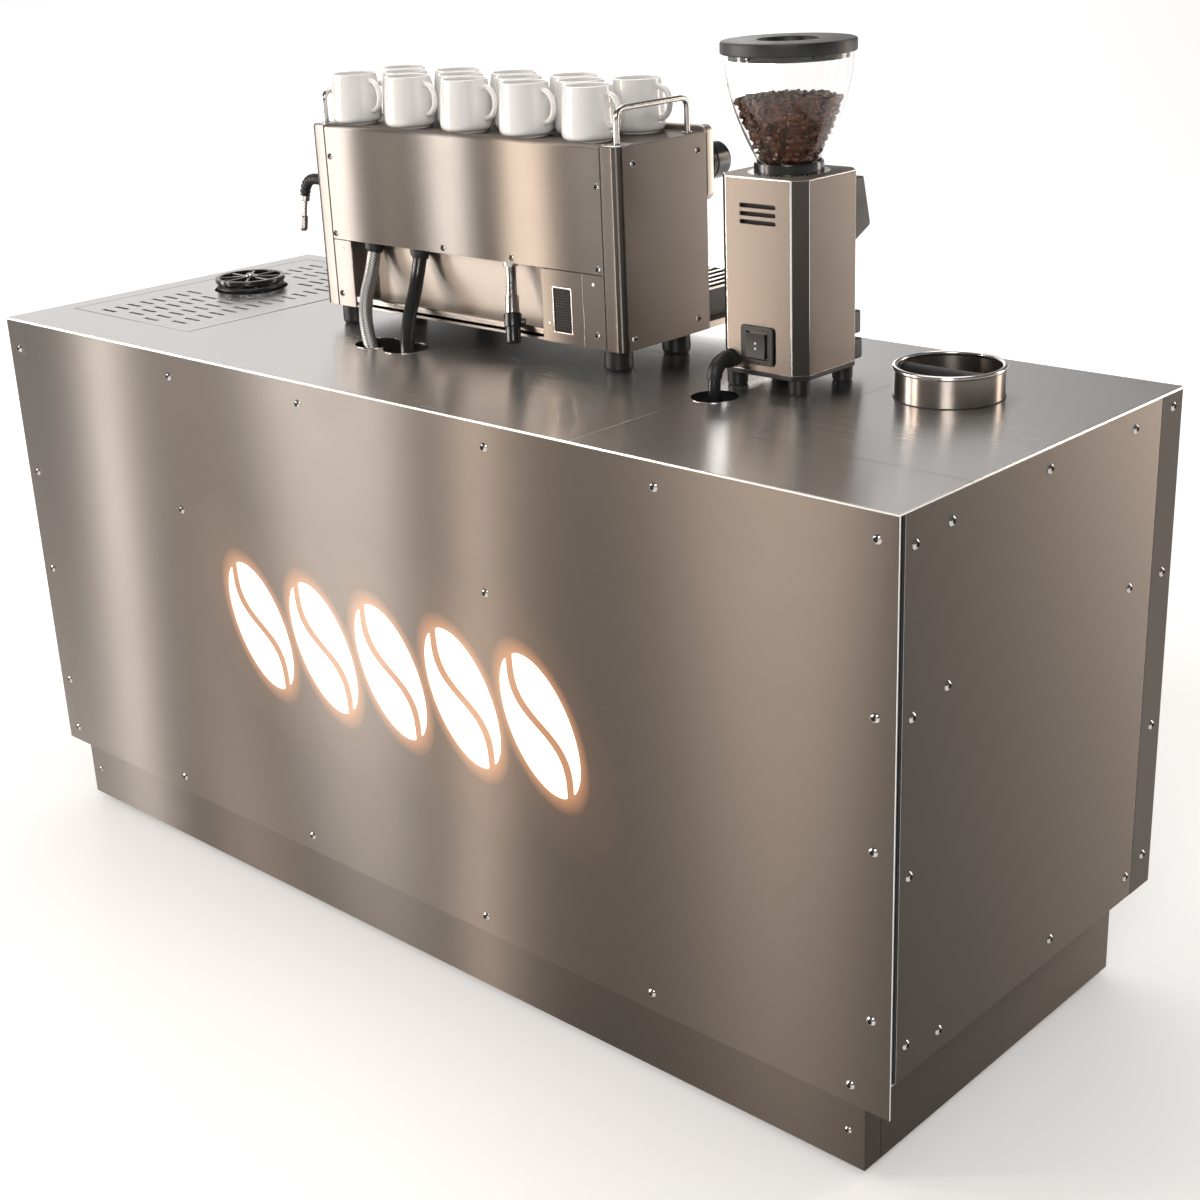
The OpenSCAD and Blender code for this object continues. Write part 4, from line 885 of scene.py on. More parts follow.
@dataclass
class Studio:
    """The pale floor, the soft lights and the camera of the photograph."""

    camera_place: tuple[float, float, float] = (2.061, -2.006, 1.5996)
    azimuth: float = 43.62
    elevation: float = 20.9
    roll: float = -2.51
    lens: float = 56.204
    floor_side: float = 60.0
    floor_drop: float = 0.0004
    floor_colour: Colour = (0.86, 0.85, 0.845)
    fill_strength: float = 0.52
    floor_glow: tuple[float, float] = (0.2, 0.6)
    glow_way: tuple[float, float, float] = (-0.69, 0.72, 0.0)
    glow_reach: tuple[float, float] = (0.6, 3.0)
    glow_ring: tuple[float, float] = (4.0, 8.0)
    dim_share: float = 0.12
    dim_way: tuple[float, float, float] = (-0.85, 0.48, 0.2)
    dim_reach: tuple[float, float] = (0.75, 0.99)
    wall_colour: Colour = (1.0, 0.99, 0.985)

    def build(self) -> None:
        """Makes the camera, the floor, the lights and the world."""
        self.make_camera()
        self.make_floor()
        for strip in self.strips():
            strip.make()
        self.make_world()
        bpy.context.scene.view_settings.view_transform = "Standard"

    def make_camera(self) -> None:
        """Stands the camera at the photograph's viewpoint."""
        camera = bpy.data.cameras.new("camera")
        camera.lens = self.lens
        obj = bpy.data.objects.new("camera", camera)
        bpy.context.scene.collection.objects.link(obj)
        a, e, r = (math.radians(x) for x in (self.azimuth, self.elevation, self.roll))
        back = Vector((math.sin(a) * math.cos(e), -math.cos(a) * math.cos(e), math.sin(e)))
        right = Vector((0, 0, 1)).cross(back).normalized()
        up = back.cross(right)
        side = right * math.cos(r) + up * math.sin(r)
        top = up * math.cos(r) - right * math.sin(r)
        turn = Matrix((side, top, back)).transposed().to_4x4()
        obj.matrix_world = Matrix.Translation(Vector(self.camera_place)) @ turn
        bpy.context.scene.camera = obj

    def make_floor(self) -> None:
        """Lays the pale floor, which stays white where nothing shades it."""
        deselect_all()
        bpy.ops.mesh.primitive_plane_add(size=self.floor_side, location=(0, 0, -self.floor_drop))
        floor = settle("floor")
        made = Graph("pale_floor")
        paths = made.node("ShaderNodeLightPath")
        seen = made.sums("MAXIMUM", paths.outputs["Is Camera Ray"], paths.outputs["Is Transmission Ray"])
        seen = made.sums("MAXIMUM", seen, paths.outputs["Is Glossy Ray"])
        drift = made.noise(made.object_place, (0.6, 0.6, 0.6))
        away = made.node("ShaderNodeVectorMath", {0: made.object_place, 1: self.glow_way},
                         operation="DOT_PRODUCT")
        glow = made.between(away.outputs["Value"], *self.glow_reach, *self.floor_glow)
        off = made.node("ShaderNodeVectorMath", {0: made.object_place}, operation="LENGTH").outputs["Value"]
        glow = made.sums("MAXIMUM", glow, made.between(off, *self.glow_ring, *self.floor_glow))
        made.surface({
            "Base Color": made.shades(drift, tint(self.floor_colour, 0.99), self.floor_colour),
            "Roughness": 0.32,
            "Specular IOR Level": 0.35,
            "Emission Color": (1.0, 0.985, 0.975),
            "Emission Strength": made.sums("MULTIPLY", seen, glow),
        })
        dress(floor, made.material)

    def strips(self) -> list[Strip]:
        """Gives the soft lights, whose reflections stand as broad bands on the panels."""
        middle = (0.0, 0.0, 0.7)
        warm = (1.0, 0.86, 0.74)
        return [
            Strip("left_strip", (-5.68, -3.67, 1.6), middle, 0.82, 3.2, 20.0),
            Strip("front_strip", (-2.744, -3.67, 1.6), middle, 0.32, 3.2, 24.0, warm),
            Strip("camera_box", (2.6, -3.4, 3.0), middle, 1.4, 1.4, 9.0),
            Strip("rear_strip", (2.5, 3.8, 1.5), middle, 0.9, 3.0, 6.0, warm),
            Strip("rear_left_strip", (-3.4, 4.2, 1.4), middle, 1.0, 3.0, 2.5),
            Strip("top_box", (-0.6, 0.5, 4.0), middle, 3.6, 2.4, 2.2),
        ]

    def make_world(self) -> None:
        """Surrounds the object with a white backdrop that gets dimmer away from the left rear."""
        world = bpy.data.worlds.new("studio")
        bpy.context.scene.world = world
        made = Wiring(world)
        place = made.node("ShaderNodeTexCoord").outputs["Generated"]
        lean = made.node("ShaderNodeVectorMath", {0: place, 1: self.dim_way},
                         operation="DOT_PRODUCT").outputs["Value"]
        start, end = self.dim_reach
        inputs = {"Value": lean, "From Min": start, "From Max": end, "To Min": self.dim_share, "To Max": 1.0}
        fade = made.node("ShaderNodeMapRange", inputs, interpolation_type="SMOOTHSTEP").outputs["Result"]
        mirror, fill, white = (
            made.node("ShaderNodeBackground", {"Color": self.wall_colour, "Strength": strength}).outputs[0]
            for strength in (fade, self.fill_strength, 1.0))
        paths = made.node("ShaderNodeLightPath").outputs
        metal = made.node("ShaderNodeMixShader",
                          {"Fac": paths["Is Glossy Ray"], 1: fill, 2: mirror}).outputs[0]
        seen = made.sums("MAXIMUM", paths["Is Camera Ray"], paths["Is Transmission Ray"])
        shown = made.node("ShaderNodeMixShader", {"Fac": seen, 1: metal, 2: white}).outputs[0]
        made.node("ShaderNodeOutputWorld", {"Surface": shown})


# Sub-assemblies


def solid_middles(node: str, reach: float) -> list[Vector]:
    """Finds the middles of a CAD node's separate small solids.

    Args:
        node: The node's name.
        reach: A distance wider than one solid and narrower than the gap to the next.
    Returns:
        One middle for each solid.
    """
    lows: list[Vector] = []
    highs: list[Vector] = []
    for vertex in frame["nodes"][node].data.vertices:
        for low, high in zip(lows, highs):
            if ((low + high) / 2 - vertex.co).length < reach:
                low[:] = map(min, low, vertex.co)
                high[:] = map(max, high, vertex.co)
                break
        else:
            lows.append(vertex.co.copy())
            highs.append(vertex.co.copy())
    return [(low + high) / 2 for low, high in zip(lows, highs)]


def shaped(shares: Profile, radius: float, height: float) -> list[tuple[float, float]]:
    """Scales an outline of shares to a radius and a height."""
    return [(radius * out, height * up) for out, up in shares]


def screw_head(finishes: Finishes, radius: float, height: float, socket_share: float = 0.5) -> Piece:
    """Makes one domed screw head with a hexagon socket, standing on the origin.

    Args:
        finishes: The finishes to choose from.
        radius: The head's radius.
        height: The head's height.
        socket_share: The socket's size as a share of the head's.
    Returns:
        The head, with painted shade in its socket.
    """
    bend = (radius ** 2 + height ** 2) / (2 * height)
    sweep = math.degrees(math.asin(min(1.0, radius / bend)))
    dome = arc((0, height - bend), bend, 90 - sweep, 90, 7)
    head = turned("screw_head", Matrix(), [(0, 0), (radius * 0.97, 0), *dome], 24)
    deselect_all()
    socket = radius * socket_share
    bpy.ops.mesh.primitive_cylinder_add(vertices=6, radius=socket, depth=height, location=(0, 0, height))
    cut(head, settle("socket"))
    dress(head, finishes.bright, finishes.shadow)
    # Painted shade: the socket's inside faces are near-black.
    return mark(head, 1, lambda middle, normal: middle.xy.length < socket and middle.z < height * 0.9)


@dataclass
class Assembly:
    """A sub-assembly of the cart, which builds its pieces and dresses them."""

    finishes: Finishes

    def add(self, obj: Piece, slot: str, nodes: Sequence[str], *finishes: Finish,
            body: str = ROOT_BODY) -> Piece:
        """Finishes a piece and ties it to its body and to the nodes that it stands for.

        Args:
            obj: The piece.
            slot: The record's material slot. It is not used.
            nodes: The CAD nodes that the piece stands for.
            finishes: The piece's materials, or none where it has them already.
            body: The CAD body that the piece moves with.
        Returns:
            The same piece.
        """
        if finishes:
            dress(obj, *finishes)
        polish(obj)
        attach(obj, body)
        if nodes:
            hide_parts(*nodes)
        log.info("%s: %d faces on %s", obj.name, len(obj.data.polygons), body)
        return obj

    def keep(self, node: str, finish: Finish) -> None:
        """Gives a CAD node that stays in view its finish."""
        dress(frame["nodes"][node], finish)
        log.info("%s: kept from the frame", node)


@dataclass(frozen=True)
class SignLayout:
    """The row of bean cut-outs in the front panel."""

    count: int = 5
    pitch: float = 0.158
    length: float = 0.22
    width: float = 0.126
    tilt: float = 28.0
    bridge: float = 0.015
    wave_share: float = 0.16
    over_share: float = 1.05
    points: int = 48
    middle: tuple[float, float] = (0.03, 0.502)

    @property
    def centres(self) -> tuple[tuple[float, float], ...]:
        """Gives the middle of each bean in X and Z."""
        first = self.middle[0] - self.pitch * (self.count - 1) / 2
        return tuple((first + self.pitch * i, self.middle[1]) for i in range(self.count))

    def half_bean(self, side: int) -> list[Vector]:
        """Gives the outline of one half of a bean, which lies along X in the XZ plane.

        Args:
            side: 1 for the upper half and -1 for the lower one.
        Returns:
            The outline's points.
        """
        half_l, half_w = self.length / 2, self.width / 2
        wave = self.width * self.wave_share

        def crease(share: float) -> float:
            """Gives the height of the crease's edge at a share of the half length."""
            return wave * math.sin(math.pi * share / self.over_share) + side * self.bridge / 2

        shares = [math.cos(math.pi * i / self.points) for i in range(self.points + 1)]
        oval = [(s, side * half_w * math.sqrt(max(0.0, 1 - s * s))) for s in shares]
        kept = [(s, z) for s, z in oval if side * (z - crease(s)) > self.bridge * self.wave_share]
        far = [Vector((half_l * s, 0, z)) for s, z in kept]
        near = [Vector((half_l * s, 0, crease(s))) for s, z in reversed(kept)]
        return far + near

    def tool(self, depth: float) -> Piece:
        """Makes the solids that cut all the beans out of a panel.

        Args:
            depth: How far the solids reach along Y, on both sides of zero.
        Returns:
            One piece with every half bean, in the panel's XZ plane at Y zero.
        """
        halves = [sheet_from("half_bean", self.half_bean(side), Vector((0, depth * 2, 0)))
                  for side in (1, -1)]
        bean = weld("bean", *halves)
        bean.data.transform(Matrix.Translation((0, -depth, 0)))
        lean = Matrix.Rotation(math.radians(90 - self.tilt), 4, "Y")
        return copies(bean, [Matrix.Translation((x, 0, z)) @ lean for x, z in self.centres], "beans_tool")


@dataclass
class CartBody(Assembly):
    """The counter: its sheets, plinth, feet, screws and the sign behind the front panel."""

    sign: SignLayout = SignLayout()
    sheet: float = 0.003
    edge: float = 0.0008
    fold: float = 0.004
    stile_width: float = 0.06
    plinth_return: float = 0.035
    plinth_sheet: float = 0.002
    seam: float = 0.0008
    corner_gap: float = 0.004
    corner_inset: float = 0.0014
    liner_depth: float = 0.024
    liner_wall: float = 0.002
    hole_rim: tuple[float, float] = (0.0022, 0.0007)
    hatch_corner: tuple[float, float] = (0.608, -0.19)
    hose_holes: tuple[tuple[float, float], ...] = ((-0.214, -0.106), (-0.148, -0.106))
    hose_hole_radius: float = 0.037
    cable_hole: tuple[float, float] = (0.445, -0.062)
    cable_hole_radius: float = 0.035
    chute_radius: float = 0.075
    pan_flange: float = 0.005
    screw_radius: float = 0.007
    screw_height: float = 0.0035
    small_screw_radius: float = 0.0055
    small_screw_height: float = 0.003
    foot_pad: float = 0.0117
    foot_stem: float = 0.005
    foot_ridges: int = 14

    def build(self) -> None:
        """Makes every piece of the counter."""
        self.front()
        self.sides()
        self.stiles()
        self.plinth()
        self.worktop_left()
        self.worktop_right()
        self.liners()
        self.screws()
        self.feet()
        self.inside()

    def brushed(self, obj: Piece, node: str, finish: Finish, flat: Vector) -> Piece:
        """Dresses a sheet, with a painted highlight on its cut edges.

        Args:
            obj: The sheet.
            node: The CAD node that it stands for.
            finish: The finish of its faces.
            flat: The direction across the sheet. Faces that look along it keep the finish.
        Returns:
            The same sheet.
        """
        lay_grain(obj)
        dress(obj, finish, self.finishes.edge)
        # Painted highlight: faces across the sheet get the bright edge steel.
        mark(obj, 1, lambda middle, normal: abs(normal.dot(flat)) < 0.5)
        return self.add(obj, "brushed_steel", [node])

    def front(self) -> None:
        """Makes the front panel and cuts the sign's beans out of it."""
        low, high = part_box("front_panel")
        panel = block("front_sheet", low, high, self.edge)
        tool = self.sign.tool(self.sheet * 2)
        tool.data.transform(Matrix.Translation((0, (low.y + high.y) / 2, 0)))
        cut(panel, tool)
        lay_grain(panel)
        dress(panel, self.finishes.lit_panel, self.finishes.edge, self.finishes.painted_rim_glow)
        # Painted highlight on the panel's edges.
        mark(panel, 1, lambda middle, normal: abs(normal.y) < 0.5)
        rim = self.sheet
        # Painted glow: the cut-outs' inner walls emit warm light.
        mark(panel, 2, lambda middle, normal: abs(normal.y) < 0.5
             and low.x + rim < middle.x < high.x - rim and low.z + rim < middle.z < high.z - rim)
        self.add(panel, "brushed_steel", ["front_panel"])

    def sides(self) -> None:
        """Makes the two side panels, set back from the front panel by a gap filled with near-black blocks of
        painted shade.
        """
        low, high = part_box("side_panels")
        start, inset = low.y + self.corner_gap, self.corner_inset
        left = block("left_sheet", (low.x, start, low.z), (low.x + self.sheet, high.y, high.z), self.edge)
        right = block("right_sheet", (high.x - self.sheet, start, low.z), high, self.edge)
        self.brushed(weld("side_sheets", left, right), "side_panels", self.finishes.panel, Vector((1, 0, 0)))
        # Painted shade: near-black blocks fill the gap at each front corner.
        shadow_gaps = [block("shadow_gap", (x0, low.y, low.z), (x1, start + inset, high.z), self.edge / 2)
                 for x0, x1 in ((low.x + inset, low.x + self.sheet), (high.x - self.sheet, high.x - inset))]
        self.add(weld("corner_shadow_gaps", *shadow_gaps), "black_rubber", [], self.finishes.shadow)

    def stiles(self) -> None:
        """Makes the folded corner sheets on the barista's side."""
        low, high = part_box("rear_stiles")
        w, t, r = self.stile_width, self.sheet, self.fold
        outline = [(0, w), (0, r), *arc((r, r), r, 180, 270, 5)[1:], (w, 0), (w, t), (r, t),
                   *arc((r, r), r - t, 270, 180, 3)[1:], (t, w)]
        made = []
        for side, x in ((1, low.x), (-1, high.x)):
            points = [Vector((x + side * a, high.y - b, low.z)) for a, b in outline]
            made.append(sheet_from("stile", points, Vector((0, 0, high.z - low.z))))
        stiles = weld("corner_stiles", *made)
        lay_grain(stiles, upright=True)
        self.add(stiles, "brushed_steel", ["rear_stiles"], self.finishes.panel)

    def plinth(self) -> None:
        """Makes the set-back plinth: a folded front sheet, two side sheets and a rear sheet."""
        low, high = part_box("plinth")
        t, ret = self.plinth_sheet, self.plinth_return
        outline = [(low.x, low.y), (high.x, low.y), (high.x, low.y + ret), (high.x - t, low.y + ret),
                   (high.x - t, low.y + t), (low.x + t, low.y + t), (low.x + t, low.y + ret),
                   (low.x, low.y + ret)]
        front = sheet_from("plinth_front", [Vector((x, y, low.z)) for x, y in outline],
                           Vector((0, 0, high.z - low.z)))
        round_edges(front, self.edge)
        start = low.y + ret + self.seam
        left = block("plinth_left", (low.x, start, low.z), (low.x + t, high.y, high.z), self.edge)
        right = block("plinth_right", (high.x - t, start, low.z), (high.x, high.y, high.z), self.edge)
        rear = block("plinth_rear", (low.x + t, high.y - t, low.z), (high.x - t, high.y, high.z), self.edge)
        plinth = weld("plinth_sheets", front, left, right, rear)
        lay_grain(plinth)
        self.add(plinth, "brushed_steel", ["plinth"], self.finishes.plinth)

    def hole(self, x: float, y: float, radius: float, node: str) -> Piece:
        """Makes the tool for a round hole through a worktop sheet."""
        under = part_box(node)[0].z - self.sheet
        return disc("hole", Way.UP.at((x, y, under)), radius, self.sheet * 3, 72)

    def worktop_left(self) -> None:
        """Makes the long worktop sheet with the openings for the pan, the hoses and the cable."""
        low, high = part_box("worktop_left")
        pan_low, pan_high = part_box("rinse_pan")
        top = block("worktop_long", low, high)
        inset = self.pan_flange
        pan = block("pan_hole", (pan_low.x + inset, pan_low.y + inset, low.z - self.sheet),
                    (pan_high.x - inset, pan_high.y - inset, high.z + self.sheet))
        cut(top, pan)
        for x, y in self.hose_holes:
            cut(top, self.hole(x, y, self.hose_hole_radius, "worktop_left"))
        cut(top, self.hole(*self.cable_hole, self.cable_hole_radius, "worktop_left"))
        round_edges(top, self.edge)
        self.brushed(top, "worktop_left", self.finishes.worktop, Vector((0, 0, 1)))

    def liners(self) -> None:
        """Makes near-black pockets of painted shade under the worktop's holes, and the thin rims round them
        with a painted highlight.
        """
        under, top = (corner.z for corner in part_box("worktop_left"))
        pockets, rims = [], []
        for places, radius in ((self.hose_holes, self.hose_hole_radius),
                               ((self.cable_hole,), self.cable_hole_radius)):
            first, last = places[0], places[-1]

            def outline(reach: float, z: float) -> list[Vector]:
                """Gives the outline round the places at a height."""
                ends = arc(first, reach, 90, 270, 24) + arc(last, reach, 270, 450, 24)
                return [Vector((x, y, z)) for x, y in ends]

            wide = radius + self.liner_wall * 2
            pocket = sheet_from("pocket", outline(wide, under), Vector((0, 0, -self.liner_depth)))
            hollow = sheet_from("hollow", outline(wide - self.liner_wall, under + self.sheet),
                                Vector((0, 0, self.liner_wall - self.liner_depth - self.sheet)))
            pockets.append(cut(pocket, hollow))
            width, rise = self.hole_rim
            for x, y in places:
                rim = hoop("hole_rim", Way.UP.at((x, y, top)), radius + width / 2, radius - width / 2, rise,
                           72, rise / 3)
                for other_x, other_y in places:
                    if (other_x, other_y) != (x, y):
                        clear = Way.UP.at((other_x, other_y, top - self.sheet))
                        cut(rim, disc("clear", clear, radius - width / 2, self.sheet * 3, 72))
                rims.append(rim)
        # Painted shade: the pockets stand for the shade inside the holes.
        self.add(weld("hole_shade_pockets", *pockets), "black_plastic", [], self.finishes.shadow)
        # Painted highlight: the rims get the bright edge steel.
        self.add(weld("hole_rims", *rims), "bright_steel", [], self.finishes.edge)

    def worktop_right(self) -> None:
        """Makes the right-hand worktop sheet and the hatch that carries the knock chute."""
        low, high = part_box("worktop_right")
        chute_low, chute_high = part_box("knock_chute")
        x, y = self.hatch_corner
        gap = self.seam / 2
        outline = [(low.x, low.y), (high.x, low.y), (high.x, y - gap), (x - gap, y - gap), (x - gap, high.y),
                   (low.x, high.y)]
        sheet = sheet_from("worktop_end", [Vector((a, b, low.z)) for a, b in outline],
                           Vector((0, 0, high.z - low.z)))
        cut(sheet, self.hole(*self.cable_hole, self.cable_hole_radius, "worktop_right"))
        hatch = block("hatch", (x + gap, y + gap, low.z), high)
        middle = (chute_low + chute_high) / 2
        cut(hatch, self.hole(middle.x, middle.y, self.chute_radius, "worktop_right"))
        top = weld("worktop_short", sheet, hatch)

        def outer(a: Vector, b: Vector) -> bool:
            """Says whether an edge lies on the worktop's outer upper border."""
            along = (abs(a[i] - side[i]) + abs(b[i] - side[i]) < gap for side in (low, high) for i in (0, 1))
            return min(a.z, b.z) > high.z - gap and any(along)

        round_some(top, self.edge, 2, outer)
        self.brushed(top, "worktop_right", self.finishes.worktop, Vector((0, 0, 1)))

    def screws(self) -> None:
        """Sets a screw head wherever the frame has one on the counter."""
        low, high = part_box("front_panel")
        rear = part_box("rear_stiles")[1].y
        rows: dict[bool, list[Matrix]] = {True: [], False: []}
        for middle in solid_middles("cart_screws", self.screw_radius * 3):
            if middle.y > rear:
                way, place = Way.BACK, (middle.x, rear, middle.z)
            elif middle.x > high.x:
                way, place = Way.RIGHT, (high.x, middle.y, middle.z)
            elif middle.x < low.x:
                way, place = Way.LEFT, (low.x, middle.y, middle.z)
            elif middle.z < low.z:
                way, place = Way.FRONT, (middle.x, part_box("plinth")[0].y, middle.z)
            else:
                way, place = Way.FRONT, (middle.x, low.y, middle.z)
            rows[middle.z < low.z].append(way.at(place))
        large = copies(screw_head(self.finishes, self.screw_radius, self.screw_height), rows[False],
                       "large_screws")
        small = copies(screw_head(self.finishes, self.small_screw_radius, self.small_screw_height),
                       rows[True], "small")
        self.add(weld("panel_screws", large, small), "bright_steel", ["cart_screws"])

    def feet(self) -> None:
        """Makes the four levelling feet, each a ribbed pad on a threaded stem."""
        pad, stem, ridges = self.foot_pad, self.foot_stem, self.foot_ridges
        for corner in Corner:
            node = f"foot_{corner.name.lower()}"
            low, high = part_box(node)
            middle = (low + high) / 2
            radius = (high.x - low.x) / 2
            profile = [(0, 0), (radius * 0.9, 0), (radius, pad * 0.15), (radius, pad * 0.55),
                       (radius * 0.8, pad * 0.9), (radius * 0.5, pad), (stem * 2.2, pad)]
            step = (high.z - pad) / ridges
            for i in range(ridges):
                z = pad + step * i
                profile += [(stem * 0.88, z + step * 0.1), (stem, z + step * 0.5),
                            (stem * 0.88, z + step * 0.9)]
            profile.append((0, high.z))
            foot = turned(f"{node}_pad", Way.UP.at((middle.x, middle.y, low.z)), profile, 40)
            dress(foot, self.finishes.black, self.finishes.bright)
            mark(foot, 1, lambda point, normal: point.z > pad * 1.05)
            self.add(foot, "black_plastic", [node], body=node)

    def inside(self) -> None:
        """Dresses the frame, the shelves and the sign's light box."""
        self.keep("cart_frame", self.finishes.alloy)
        self.keep("shelves", self.finishes.alloy)
        self.keep("sign_diffuser", self.finishes.glow)
        self.keep("sign_light_box", self.finishes.white)


@dataclass
class RinseStation(Assembly):
    """The slotted rinse plate over its pan, and the pitcher rinser."""

    edge: float = 0.0004
    slot_length: float = 0.044
    slot_width: float = 0.007
    slot_pitch: tuple[float, float] = (0.064, 0.026)
    slot_margin: float = 0.016
    hole_gap: float = 0.003
    ring_width: float = 0.009
    spoke_width: float = 0.005
    spokes: int = 8
    hub_radius: float = 0.015
    bore_radius: float = 0.0081
    stem_radius: float = 0.008
    body_radius: float = 0.018
    ring_edge: float = 0.0022
    hub_edge: float = 0.0015
    spoke_edge: float = 0.0012
    spoke_overlap: float = 0.001
    base_gap: float = 0.0015
    base_height: float = 0.005
    nozzle_shares: Profile = ((0, 0), (1, 0), (1, 0.35), (0.85, 0.65), (0.5, 0.92), (0, 1))

    def build(self) -> None:
        """Makes the plate, the pan and the rinser."""
        self.plate()
        self.star()
        self.valve()
        self.keep("rinse_pan", self.finishes.alloy)

    @property
    def middle(self) -> Vector:
        """Gives the rinser's middle at the star's underside."""
        low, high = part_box("rinser_star")
        return Vector(((low.x + high.x) / 2, (low.y + high.y) / 2, low.z))

    @property
    def star_radius(self) -> float:
        """Gives the star's outer radius."""
        low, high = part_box("rinser_star")
        return (high.x - low.x) / 2

    def plate(self) -> None:
        """Cuts the rows of slots and the rinser's hole into the plate."""
        low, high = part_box("rinse_grate")
        plate = block("rinse_plate", low, high)
        hole = self.star_radius + self.hole_gap
        thick = high.z - low.z
        rinser = disc("rinser_hole", Way.UP.at((self.middle.x, self.middle.y, low.z - thick)), hole,
                      thick * 3, 72)
        cut(plate, rinser)
        half, r = (self.slot_length - self.slot_width) / 2, self.slot_width / 2
        outline = arc((half, 0), r, -90, 90, 6) + arc((-half, 0), r, 90, 270, 6)
        slot = sheet_from("slot", [Vector((x, y, -thick)) for x, y in outline], Vector((0, 0, thick * 3)))
        cut(plate, copies(slot, self.slot_places(low, high, hole), "slots"))
        round_edges(plate, self.edge, 1)
        lay_grain(plate)
        self.add(plate, "bright_steel", ["rinse_grate"], self.finishes.worktop, body="rinse_grate")

    def slot_places(self, low: Vector, high: Vector, hole: float) -> list[Matrix]:
        """Gives the slots' places, each column half a pitch from the last, clear of the rinser.

        Args:
            low: The plate's lowest corner.
            high: The plate's highest corner.
            hole: The radius of the rinser's hole.
        Returns:
            One matrix for each slot.
        """
        pitch_x, pitch_y = self.slot_pitch
        columns = int((high.x - low.x - self.slot_margin * 2) / pitch_x)
        rows = int((high.y - low.y - self.slot_margin * 2) / pitch_y)
        middle = (low + high) / 2
        clear = hole + self.slot_length / 2 + self.slot_width
        places = []
        for c in range(columns):
            for r in range(rows):
                x = middle.x + (c - (columns - 1) / 2) * pitch_x
                y = middle.y + (r - (rows - 1) / 2) * pitch_y + (c % 2 - 0.5) * pitch_y / 2
                if math.hypot(x - self.middle.x, y - self.middle.y) > clear:
                    places.append(Matrix.Translation((x, y, low.z)))
        return places

    def star(self) -> None:
        """Makes the star that a pitcher presses down: a ring, a hub and spokes."""
        low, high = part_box("rinser_star")
        height, radius = high.z - low.z, self.star_radius
        at = Way.UP.at(self.middle)
        ring = hoop("star_ring", at, radius, radius - self.ring_width, height, 72, self.ring_edge)
        hub = hoop("star_hub", at, self.hub_radius, self.bore_radius, height, 40, self.hub_edge)
        lift = self.spoke_overlap
        spoke = block("spoke", (self.hub_radius - lift * 2, -self.spoke_width / 2, lift),
                      (radius - self.ring_width / 2, self.spoke_width / 2, height - lift), self.spoke_edge)
        turns = [at @ Matrix.Rotation(math.tau * i / self.spokes, 4, "Z") for i in range(self.spokes)]
        star = weld("press_star", ring, hub, copies(spoke, turns, "spokes"))
        self.add(star, "black_plastic", ["rinser_star"], self.finishes.gloss, body="rinser_star")

    def valve(self) -> None:
        """Makes the valve under the star, with its spoked base and its steel nozzle."""
        low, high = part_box("rinser_valve")
        star_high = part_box("rinser_star")[1]
        x, y = self.middle.xy
        base_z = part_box("worktop_left")[1].z + self.base_gap
        outer = self.star_radius - self.spoke_width / 2
        body = turned("valve_body", Way.UP.at((x, y, low.z)),
                      [(0, 0), (self.body_radius, 0), (self.body_radius, base_z - low.z),
                       (self.stem_radius, base_z - low.z), (self.stem_radius, star_high.z - low.z),
                       (0, star_high.z - low.z)], 40, self.edge * 2)
        ring = hoop("base_ring", Way.UP.at((x, y, base_z)), outer, outer - self.ring_width, self.base_height,
                    72, self.hub_edge)
        spoke = block("base_spoke", (self.stem_radius - self.spoke_overlap, -self.spoke_width / 2, 0),
                      (outer - self.ring_width / 2, self.spoke_width / 2,
                       self.base_height - self.spoke_overlap),
                      self.spoke_overlap)
        turns = [Way.UP.at((x, y, base_z)) @ Matrix.Rotation(math.tau * (i + 0.5) / self.spokes, 4, "Z")
                 for i in range(self.spokes)]
        black = weld("valve_black", body, ring, copies(spoke, turns, "base_spokes"))
        dress(black, self.finishes.black, self.finishes.bright)
        dome = shaped(self.nozzle_shares, self.stem_radius, high.z - star_high.z)
        nozzle = turned("nozzle", Way.UP.at((x, y, star_high.z)), dome, 32)
        dress(nozzle, self.finishes.bright)
        self.add(weld("rinser_body", black, nozzle), "black_plastic", ["rinser_valve"])


